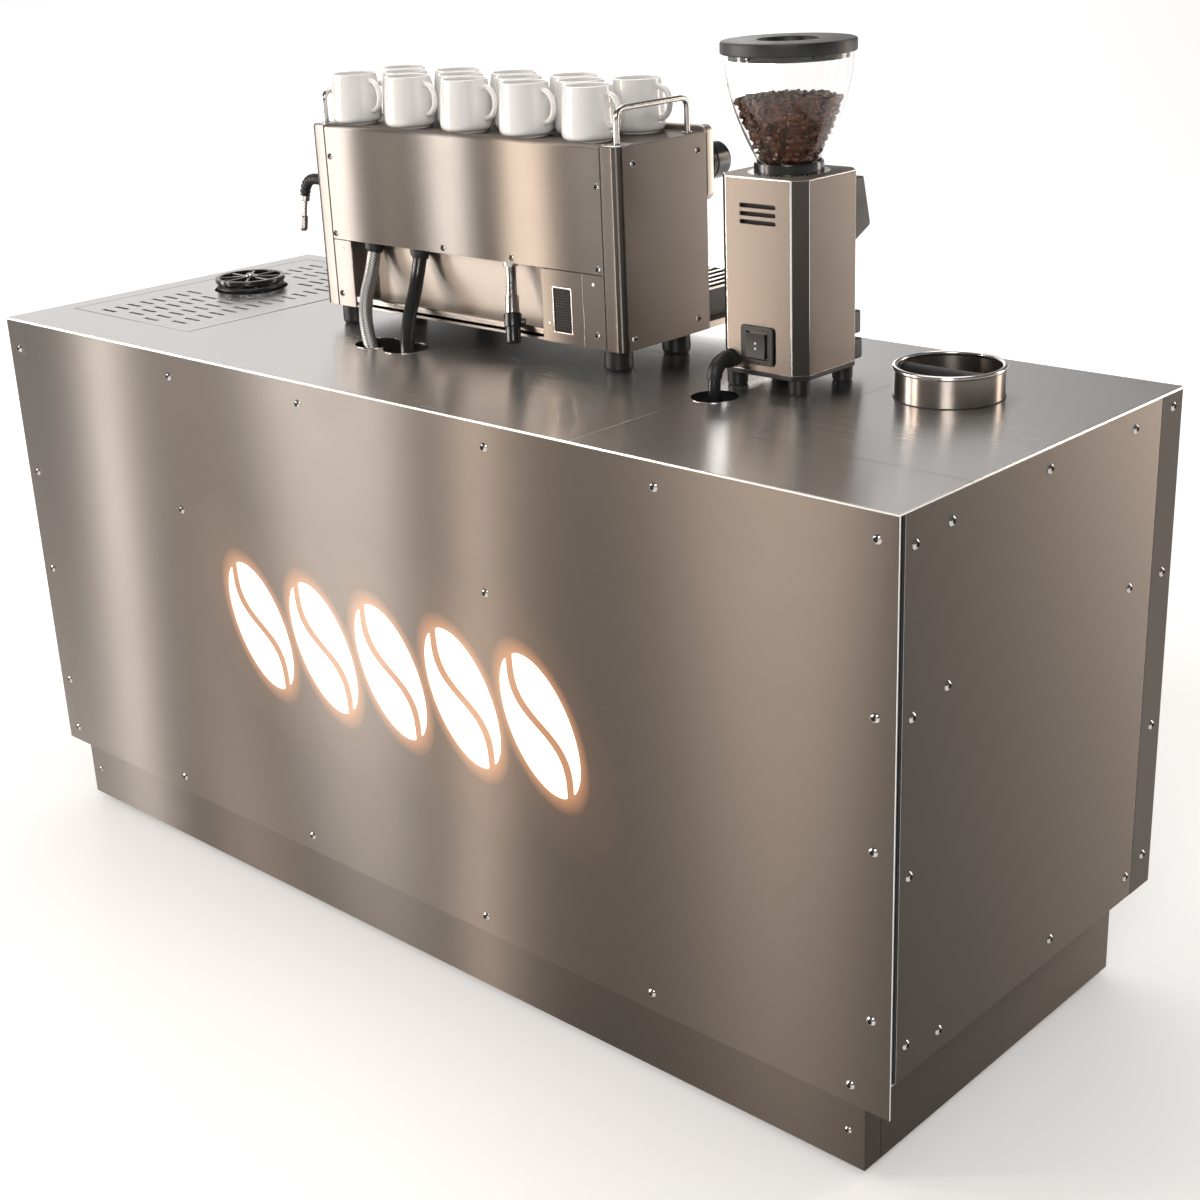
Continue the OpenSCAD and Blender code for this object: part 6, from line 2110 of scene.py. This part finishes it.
    def drip(self) -> None:
        """Makes the drip tray and the barred grate on it."""
        low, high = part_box("drip_tray")
        wall = self.tray_wall
        tray = block("tray", low, high)
        cut(tray, block("hollow", (low.x + wall, low.y + wall, low.z + wall),
                        (high.x - wall, high.y - wall, high.z + wall)))
        round_edges(tray, self.edge)
        self.add(tray, "black_plastic", ["drip_tray"], self.finishes.black, body="drip_tray")
        low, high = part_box("drip_grate")
        rim = self.bar_width
        pitch = (high.x - low.x) / (self.bars + 1)
        made = [block("rim", (low.x, y, low.z), (high.x, y + rim, high.z), self.edge)
                for y in (low.y, high.y - rim)]
        for i in range(self.bars + 2):
            x = low.x + pitch * i
            x0, x1 = max(low.x, x - rim / 2), min(high.x, x + rim / 2)
            made.append(block("bar", (x0, low.y + rim * 0.8, low.z),
                              (x1, high.y - rim * 0.8, high.z - self.bar_edge * 0.4), self.bar_edge))
        self.add(weld("grate", *made), "bright_steel", ["drip_grate"], self.finishes.bright,
                 body="drip_grate")

    def feet(self) -> None:
        """Makes the six black feet."""
        low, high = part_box("machine_feet")
        r, h = self.foot_radius, high.z - low.z
        profile = [(0, 0), (r * 0.82, 0), (r * 0.95, 0.003), (r, 0.008), (r * 0.97, h), (0, h)]
        made = [turned("foot", Way.UP.at((middle.x, middle.y, low.z)), profile, 40)
                for middle in solid_middles("machine_feet", r * 2.4)]
        self.add(weld("machine_foot_set", *made), "black_rubber", ["machine_feet"], self.finishes.black)

    def wand(self) -> None:
        """Makes the steam wand: a ribbed black sleeve that bends down, a thin tube and its tip."""
        low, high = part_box("steam_wand")
        body_low = self.body[0]
        rib_r, sleeve_r, tube_r, tip_r = self.wand_radii
        root, out, drop = self.wand_reach
        elbow = Vector((body_low.x - out, (low.y + high.y) / 2, high.z - rib_r))
        lean = Matrix.Rotation(math.radians(self.wand_lean), 4, "Y")
        start = Vector((body_low.x + root, elbow.y, elbow.z))
        end = elbow + lean @ Vector((0, 0, drop))
        path = filleted([start, elbow, end], self.wand_bend, 24)
        line = [path[0].lerp(path[1], i / 30) for i in range(30)] + path[1:]
        ribs = [rib_r if i % 4 < 2 else sleeve_r for i in range(len(line))]
        sleeve = tube("wand_sleeve", line, ribs, 28)
        stem = turned("wand_stem", Matrix.Translation(elbow) @ lean, [
            (0, 0.028), (rib_r * 0.9, 0.028), (rib_r, 0.029), (rib_r, 0.037), (rib_r * 0.85, 0.0385),
            (tube_r, 0.039),
            (tube_r, 0.064), (tip_r * 0.8, 0.065), (tip_r, 0.067), (tip_r, 0.085), (tip_r * 0.8, 0.0895),
            (tip_r * 0.4, 0.0918), (0, 0.092)], 40)
        collar = disc("wand_collar", Way.LEFT.at((body_low.x + 0.001, elbow.y, elbow.z)), rib_r * 1.25, 0.006,
                      40, 0.001)
        dress(sleeve, self.finishes.black)
        steel = weld("wand_steel", stem, collar)
        dress(steel, self.finishes.bright)
        self.add(weld("steam_pipe", sleeve, steel), "bright_steel", ["steam_wand"], body="steam_wand")

    def tap(self) -> None:
        """Makes the slanted drain pipe with its ferrule and its black coupling."""
        x, y = self.tap_place
        collar_r, collar_h = self.tap_collar
        collar = disc("tap_collar", Way.UP.at((x, y, self.recess_z - collar_h)), collar_r, collar_h, 40,
                      collar_h / 10)
        swing = Matrix.Rotation(math.radians(self.tap_turn), 4, "Z")
        tilt = Matrix.Rotation(math.radians(180 - self.tap_lean), 4, "X")
        lean = Matrix.Translation((x, y, self.recess_z - collar_h / 2)) @ swing @ tilt
        steel = weld("tap_steel", collar, turned("tap_pipe", lean, self.tap_pipe, 40))
        dress(steel, self.finishes.bright)
        knob = disc("tap_knob", lean @ Way.RIGHT.at(self.tap_knob_place), *self.tap_knob, 32, 0.001)
        black = weld("tap_black", turned("tap_body", lean, self.tap_body, 40), knob)
        dress(black, self.finishes.gloss)
        self.add(weld("drain_pipe", steel, black), "bright_steel", ["drain_tap"])


@dataclass
class CupSet(Assembly):
    """The glazed cups on the machine's tray."""

    radius: float = 0.0405
    height: float = 0.078
    wall: float = 0.0032
    foot_share: float = 0.8
    rim_share: float = 0.88
    handle_radius: float = 0.0043
    handle_bow: float = 0.023
    handle_inset: float = 0.005
    turn_spread: float = 7.0
    seed: int = 11

    def build(self) -> None:
        """Makes one cup and stands a copy wherever the frame has one."""
        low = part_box("cups")[0]
        chance = random.Random(self.seed)
        places = []
        for opening in frame["record"]["physics"]["openings"]:
            if opening["name"].startswith("cup_") and opening["name"].endswith("_inside"):
                corner, far = (Vector(point) for point in opening["box_m"])
                angle = math.radians(chance.uniform(-self.turn_spread, self.turn_spread))
                turn = Matrix.Rotation(angle, 4, "Z")
                middle = (corner + far) / 2
                places.append(Matrix.Translation((middle.x, middle.y, low.z)) @ turn)
        self.add(copies(self.cup(), places, "cup_set"), "white_ceramic", ["cups"])

    def cup(self) -> Piece:
        """Spins one cup and adds its handle.

        Returns:
            The cup, standing on the origin with its handle along +X.
        """
        r, h, t = self.radius, self.height, self.wall
        foot, rim = r * self.foot_share, r * self.rim_share
        outer = [(0, 0.0014), (foot * 0.9, 0.0014), (foot * 0.93, 0), (foot * 0.985, 0), (foot, 0.0008),
                 (foot, 0.0022), (r * 0.86, 0.003), (r * 0.94, h * 0.065), (r * 0.98, h * 0.1), (r, h * 0.15),
                 (r * 0.998, h * 0.21), (r * 0.965, h * 0.5), (r * 0.922, h * 0.8), (rim, h * 0.95),
                 (rim + 0.0004, h * 0.975)]
        lip = [(rim + 0.0002, h * 0.99), (rim - t * 0.35, h), (rim - t * 0.65, h), (rim - t * 0.95, h * 0.99)]
        inner = [(rim - t, h * 0.97), (r * 0.922 - t, h * 0.8), (r * 0.965 - t, h * 0.5),
                 (r * 0.995 - t, h * 0.2), (r * 0.94 - t, h * 0.13), (r * 0.75, h * 0.09),
                 (r * 0.4, h * 0.08), (0, h * 0.078)]
        bowl = turned("cup_bowl", Matrix(), outer + lip + inner, 64)
        centre, bow = Vector((r - self.handle_inset, 0, h * 0.56)), self.handle_bow
        line = []
        for i in range(33):
            turn = math.radians(100 - 205 * i / 32)
            out = math.copysign(abs(math.cos(turn)) ** 0.8, math.cos(turn))
            line.append(centre + Vector((out * bow, 0, math.sin(turn) * bow)))
        handle = rod("cup_handle", line, self.handle_radius, 20)
        cup = weld("cup", bowl, handle)
        dress(cup, self.finishes.ceramic, self.finishes.bisque)
        return mark(cup, 1, lambda middle, normal: middle.z < 0.001)


@dataclass
class Grinder(Assembly):
    """The grinder: its steel housing, collar, clear hopper of beans, lid and switch."""

    corner: float = 0.018
    top_plate: float = 0.004
    edge: float = 0.0014
    vent_slots: int = 3
    vent_size: tuple[float, float] = (0.06, 0.005)
    vent_pitch: float = 0.011
    vent_drop: float = 0.034
    hopper_wall: float = 0.0025
    foot_radius: float = 0.041
    foot_gap: float = 0.0003
    plate_height: float = 0.006
    chute_drop: float = 0.012
    chute_size: tuple[float, float, float] = (0.108, 0.046, 0.092)
    chute_shares: tuple[tuple[float, float], ...] = ((0, 0), (0.64, 0), (1, 0.72), (0.96, 0.77), (0, 1))
    fork_size: tuple[float, float, float, float] = (0.1, 0.031, 0.033, 0.012)
    fork_rise: float = 0.029
    toe_size: tuple[float, float] = (0.027, 0.03)
    well_radius: float = 0.041
    well_depth: float = 0.009
    lid_height: float = 0.017
    tab_angles: tuple[float, ...] = (-95.0, -25.0, 65.0, 155.0)
    seat_gap: float = 0.001
    bore_radius: float = 0.0285
    sleeve_radius: float = 0.035
    collar_height: float = 0.014
    neck_radius: float = 0.048
    neck_height: float = 0.014
    ticks: int = 48
    foot_height: float = 0.008
    throat_radius: float = 0.026
    stand_inset: float = 0.02
    stand_radius: float = 0.015
    bezel_size: tuple[float, float, float] = (0.056, 0.004, 0.054)
    bezel_corner: float = 0.005
    bezel_edge: float = 0.0012
    key_gap: tuple[float, float] = (0.034, 0.038)
    key_bow: float = 0.0012
    key_dot: tuple[float, float, float] = (0.0017, 0.0007, 0.0037)
    gland_place: tuple[float, float] = (0.025, 0.014)
    gland: Profile = ((0, 0), (0.0135, 0), (0.0135, 0.009), (0.012, 0.0095), (0.012, 0.0125), (0.0113, 0.016),
                      (0, 0.016))
    boot_radius: float = 0.011
    boot_bend: float = 0.022
    trim_edge: float = 0.003
    vent_depth: float = 0.006
    fill_share: float = 0.62
    bean_length: float = 0.0125
    bean_rows: int = 11
    bean_rings: int = 8
    heap_rise: float = 0.006
    seed: int = 5

    def build(self) -> None:
        """Makes every piece of the grinder."""
        self.housing()
        self.base()
        self.collar()
        self.hopper()
        self.beans()
        self.lid()
        self.switch()
        self.fittings()
        self.keep("grinder_motor", self.finishes.alloy)
        self.keep("grinder_burr", self.finishes.bright)

    @property
    def middle(self) -> Vector:
        """Gives the middle of the housing's foot."""
        low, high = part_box("grinder_housing")
        return Vector(((low.x + high.x) / 2, (low.y + high.y) / 2, low.z))

    def housing(self) -> None:
        """Makes the housing with its vent slots and its cut corners, with a painted highlight on its edges
        and painted shade inside the slots.
        """
        low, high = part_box("grinder_housing")
        case = block("grinder_case", low, high)
        round_some(case, self.corner, 1, lambda a, b: abs(a.z - b.z) > self.corner)
        half, r = (self.vent_size[0] - self.vent_size[1]) / 2, self.vent_size[1] / 2
        outline = arc((half, 0), r, -90, 90, 8) + arc((-half, 0), r, 90, 270, 8)
        depth = self.vent_depth
        slot = sheet_from("vent", [Vector((x, -depth, z)) for x, z in outline], Vector((0, depth * 2, 0)))
        first = high.z - self.top_plate - self.vent_drop
        places = [Matrix.Translation((self.middle.x, low.y, first - self.vent_pitch * i))
                  for i in range(self.vent_slots)]
        cut(case, copies(slot, places, "vents"))
        round_edges(case, self.edge, 3, 30)
        lay_grain(case)
        dress(case, self.finishes.case, self.finishes.edge, self.finishes.shadow)
        flats = [Vector(way).normalized() for way in ((1, 0, 0), (0, 1, 0), (0, 0, 1), (1, 1, 0), (1, -1, 0))]
        reach = half + self.vent_size[1]
        last = first - self.vent_pitch * self.vent_slots

        def vented(point: Vector) -> bool:
            """Says whether a point lies among the vent slots."""
            near = abs(point.x - self.middle.x) < reach and point.y < low.y + depth * 1.2
            return near and last < point.z < first + self.vent_size[1]

        # Painted highlight: the rounded edges get the bright edge steel.
        mark(case, 1, lambda point, normal: not vented(point)
             and max(abs(normal.dot(flat)) for flat in flats) < 0.99)
        # Painted shade: the slots' inner faces are near-black.
        mark(case, 2, lambda point, normal: vented(point) and point.y > low.y + self.edge / 2)
        self.add(case, "brushed_steel", ["grinder_housing"])

    def base(self) -> None:
        """Makes the black base plate and its feet."""
        low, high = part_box("grinder_base")
        under = high.z - self.plate_height
        plate = block("grinder_plate", (low.x, low.y, under), high)
        round_some(plate, self.corner, 1, lambda a, b: abs(a.z - b.z) > self.plate_height / 2)
        round_edges(plate, self.seat_gap, 2, 50)
        made = [plate]
        for corner in Corner:
            x = (low.x + high.x) / 2 + corner.value[0] * ((high.x - low.x) / 2 - self.stand_inset)
            y = (low.y + high.y) / 2 + corner.value[1] * ((high.y - low.y) / 2 - self.stand_inset)
            r, h = self.stand_radius, under - low.z
            profile = [(0, 0), (r * 5 / 6, 0), (r * 29 / 30, r / 5), (r, h), (0, h)]
            made.append(turned("grinder_foot", Way.UP.at((x, y, low.z)), profile, 36))
        self.add(weld("grinder_stand", *made), "black_plastic", ["grinder_base"], self.finishes.black)

    def collar(self) -> None:
        """Makes the collar that sets the grind, with its scale and the neck round the hopper's foot."""
        low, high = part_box("grinder_collar")
        r, h = (high.x - low.x) / 2, self.collar_height
        z0, top = self.collar_top - h - low.z, self.collar_top - low.z
        bore, neck = self.bore_radius, self.neck_radius
        seat = self.foot_radius + self.seat_gap
        profile = [(bore, z0), (r * 0.95, z0), (r, z0 + 0.0015), (r, top - 0.002), (r * 0.975, top),
                   (neck + 0.0006, top), (neck, top + 0.0008), (neck, top + self.neck_height - 0.002),
                   (neck - 0.001, top + self.neck_height), (seat + 0.0025, top + self.neck_height),
                   (seat, top + self.foot_height), (seat, top + 0.0001), (bore, top), (bore, z0)]
        at = Way.UP.at((self.middle.x, self.middle.y, low.z))
        ring = turned("grind_ring", at, profile, 120)
        sleeve = hoop("grind_sleeve", at, self.sleeve_radius, bore, z0, 64)
        black = weld("grind_black", ring, sleeve)
        dress(black, self.finishes.gloss)
        tick = block("tick", (r * 0.9, -0.0003, top - 0.0004), (r * 0.965, 0.0003, top + 0.0002))
        turns = [at @ Matrix.Rotation(math.tau * i / self.ticks, 4, "Z") for i in range(self.ticks)]
        scale = copies(tick, turns, "ticks")
        dress(scale, self.finishes.mark)
        self.add(weld("grind_collar", black, scale), "black_plastic", ["grinder_collar"], body="grind_collar")

    def hopper_radius(self, share: float) -> float:
        """Gives the hopper's outer radius at a share of its height."""
        low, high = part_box("hopper")
        rim = (high.x - low.x) / 2
        return self.foot_radius + (rim - self.foot_radius) * math.sin(math.pi / 2 * share)

    @property
    def collar_top(self) -> float:
        """Gives the height of the collar's upper face, which the hopper's foot stands on."""
        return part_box("hopper")[0].z - self.foot_gap

    @property
    def bowl(self) -> tuple[float, float]:
        """Gives the heights of the hopper's foot and of its rim."""
        return self.collar_top + self.foot_gap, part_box("hopper")[1].z

    def hopper(self) -> None:
        """Spins the clear hopper's shell."""
        foot, rim = self.bowl
        start = foot + self.foot_height
        shares = [i / 28 for i in range(29)]
        outer = [(self.hopper_radius(s), start + (rim - start) * s) for s in shares]
        inner = [(r - self.hopper_wall, z) for r, z in reversed(outer)]
        throat = self.throat_radius
        profile = [(throat, foot), (self.foot_radius, foot), *outer, *inner[:-1],
                   (self.foot_radius - 0.004, start + 0.0006),
                   (throat, start), (throat, foot)]
        made = turned("hopper_shell", Way.UP.at((self.middle.x, self.middle.y, 0)), profile, 96)
        self.add(made, "clear_hopper", ["hopper"], self.finishes.clear)

    def bean(self) -> Piece:
        """Shapes one bean from a sphere, flat below with a crease along it.

        Returns:
            The bean at the origin, along X.
        """
        deselect_all()
        bpy.ops.mesh.primitive_uv_sphere_add(segments=10, ring_count=7, radius=1.0)
        bean = settle("bean")
        half = self.bean_length / 2
        for vertex in bean.data.vertices:
            x, y, z = vertex.co
            depth = 0.3 * math.exp(-(y / 0.22) ** 2) * (1 - x * x) if z < 0 else 0.0
            vertex.co = (x * half, y * half * 0.7, (z * 0.55 if z > 0 else z * 0.28 + depth) * half)
        return bean

    def beans(self) -> None:
        """Packs beans against the hopper's wall and over the top of the fill."""
        foot, rim = self.bowl
        start = foot + self.foot_height
        top = start + (rim - start) * self.fill_share
        chance = random.Random(self.seed)
        half = self.bean_length / 2
        places = []

        def lay(radius: float, angle: float, z: float) -> None:
            """Adds a bean near a place, turned at random."""
            turn = Matrix.Rotation(chance.uniform(0, math.tau), 4, "Z") @ Matrix.Rotation(
                chance.uniform(0, math.tau), 4, "X") @ Matrix.Rotation(chance.uniform(0, math.tau), 4, "Y")
            at = Vector((self.middle.x + radius * math.cos(angle),
                         self.middle.y + radius * math.sin(angle), z))
            places.append(Matrix.Translation(at) @ turn @ Matrix.Scale(chance.uniform(0.85, 1.06), 4))

        for row in range(self.bean_rows):
            share = self.fill_share * (row + 0.4) / self.bean_rows
            radius = self.hopper_radius(share) - self.hopper_wall - half * 1.12
            z = max(start + (rim - start) * share, start + half * 1.15)
            count = int(math.tau * radius / (self.bean_length * 0.78))
            for i in range(count):
                lay(radius, math.tau * (i + chance.uniform(0.2, 0.8)) / count,
                    min(z + chance.uniform(-0.002, 0.002), top))
        reach = self.hopper_radius(self.fill_share) - self.hopper_wall - half * 1.3
        for ring in range(self.bean_rings):
            radius = reach * (ring + 0.3) / self.bean_rings
            count = max(3, int(math.tau * radius / (self.bean_length * 0.8)))
            for i in range(count):
                rise = self.heap_rise * (1 - (radius / reach) ** 2)
                lay(radius, math.tau * (i + chance.uniform(0.2, 0.8)) / count,
                    top - half + rise + chance.uniform(-0.001, 0.002))
        loose = copies(self.bean(), places, "loose_beans")
        shares = [self.fill_share * 0.97 * i / 12 for i in range(13)]
        inset = self.hopper_wall + half * 1.2
        side = [(self.hopper_radius(s) - inset, max(start + 0.001, start + (rim - start) * s))
                for s in shares]
        core = turned("bean_core", Way.UP.at((self.middle.x, self.middle.y, 0)),
                      [(0, start + 0.001), *side, (0, top - half)], 48)
        self.add(weld("bean_fill", loose, core), "coffee_beans", ["beans"], self.finishes.roast)

    def lid(self) -> None:
        """Makes the black lid with its finger well and the tabs that hold it in the hopper."""
        low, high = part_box("hopper_lid")
        r, h, well, depth = (high.x - low.x) / 2, high.z - low.z, self.well_radius, self.well_depth
        skirt = h - self.lid_height
        profile = [(0, 0), (r - 0.0105, 0), (r - 0.0105, skirt), (r - 0.0012, skirt), (r, skirt + 0.0015),
                   (r, h - 0.0035), (r - 0.001, h - 0.001), (r - 0.0035, h), (well + 0.003, h),
                   (well + 0.001, h - 0.0006), (well, h - 0.0022), (well - 0.001, h - depth + 0.002),
                   (well - 0.004, h - depth), (0, h - depth)]
        at = Way.UP.at((self.middle.x, self.middle.y, low.z))
        plate = turned("lid_plate", at, profile, 96)
        tab = block("tab", (r - 0.0108, -0.008, skirt - 0.005), (r - 0.0045, 0.008, skirt + 0.001), 0.0008)
        turns = [at @ Matrix.Rotation(math.radians(angle), 4, "Z") for angle in self.tab_angles]
        lid = weld("lid", plate, copies(tab, turns, "tabs"))
        self.add(lid, "black_plastic", ["hopper_lid"], self.finishes.black, body="hopper_lid")

    def switch(self) -> None:
        """Makes the rocker with its two white dots."""
        low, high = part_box("rocker_switch")
        middle = (low + high) / 2
        bow = self.key_bow
        points = [(low.y + bow * (1 - ((z - middle.z) / (high.z - middle.z)) ** 2), z)
                  for z in [low.z + (high.z - low.z) * i / 16 for i in range(17)]]
        outline = points + [(high.y, high.z - 0.002), (high.y, low.z + 0.002)]
        rocker = sheet_from("rocker", [Vector((low.x, y, z)) for y, z in outline],
                            Vector((high.x - low.x, 0, 0)))
        round_edges(rocker, 0.0008, 2, 50)
        dress(rocker, self.finishes.black)
        radius, rise, off = self.key_dot
        dots = []
        for z in (middle.z + off, middle.z - off):
            dot = disc("dot", Way.FRONT.at((middle.x, low.y + bow * 1.2, z)), radius, rise, 24)
            dress(dot, self.finishes.mark)
            dots.append(dot)
        self.add(weld("rocker_key", rocker, *dots), "black_plastic", ["rocker_switch"], body="rocker")

    def fittings(self) -> None:
        """Makes the bezel, the cable's elbow, the dosing chute, the fork under it and the base's toe."""
        house_low, house_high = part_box("grinder_housing")
        rocker_low, rocker_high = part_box("rocker_switch")
        middle = (rocker_low + rocker_high) / 2
        face = house_low.y
        width, out, height = self.bezel_size
        half = Vector((width / 2, 0, height / 2))
        seat = Vector((middle.x, face, middle.z))
        bezel = block("bezel", seat - half - Vector((0, out, 0)), seat + half)
        round_some(bezel, self.bezel_corner, 5, lambda a, b: abs(a.y - b.y) > out / 2)
        key = Vector((self.key_gap[0] / 2, out * 2, self.key_gap[1] / 2))
        cut(bezel, block("gap", seat - key, seat + key))
        round_edges(bezel, self.bezel_edge, 3)
        x, z = house_low.x + self.gland_place[0], house_low.z + self.gland_place[1]
        gland = turned("cable_gland", Way.FRONT.at((x, face, z)), self.gland, 32)
        bend, start = self.boot_bend, face - self.gland[-1][1]
        line = [Vector((x, start + 0.002, z)), Vector((x, start, z))]
        line += [Vector((x, start - bend * math.sin(a), z - bend * (1 - math.cos(a))))
                 for a in (math.pi / 2 * i / 12 for i in range(1, 13))]
        boot = rod("cable_boot", line, self.boot_radius, 24)
        back = house_high.y
        chute_top = house_high.z - self.top_plate - self.chute_drop
        half, out, drop = (size / shares for size, shares in zip(self.chute_size, (2, 1, 1)))
        outline = [Vector((self.middle.x - half, back + out * a, chute_top - drop * b))
                   for a, b in self.chute_shares]
        chute = round_edges(sheet_from("chute", outline, Vector((half * 2, 0, 0))), self.trim_edge, 3, 15)
        fork_x, fork_out, fork_h, arm = self.fork_size
        fork_z = house_low.z + self.fork_rise
        arms = [block("arm", (x, back, fork_z), (x + arm, back + fork_out, fork_z + fork_h),
                      self.trim_edge, 3)
                for x in (self.middle.x - fork_x / 2, self.middle.x + fork_x / 2 - arm)]
        toe_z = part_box("grinder_base")[1].z - self.plate_height
        toe_x = (house_high.x - house_low.x) / 2 - self.corner
        toe = block("toe", (self.middle.x - toe_x, back, toe_z),
                    (self.middle.x + toe_x, back + self.toe_size[0], toe_z + self.toe_size[1]), 0.004, 3)
        trim = weld("grinder_trim", bezel, gland, boot, chute, toe, *arms)
        self.add(trim, "black_plastic", ["grinder_fittings"], self.finishes.black)


def main() -> None:
    """Builds the studio and every sub-assembly, and notes the sizes."""
    logging.basicConfig(level=logging.INFO, format="%(message)s")
    Studio().build()
    sign = SignLayout()
    finishes = Finishes(sign)
    for part in (Services(finishes), CartBody(finishes, sign), RinseStation(finishes), KnockChute(finishes),
                 EspressoMachine(finishes), CupSet(finishes), Grinder(finishes)):
        part.build()


if __name__ == "__main__":
    main()
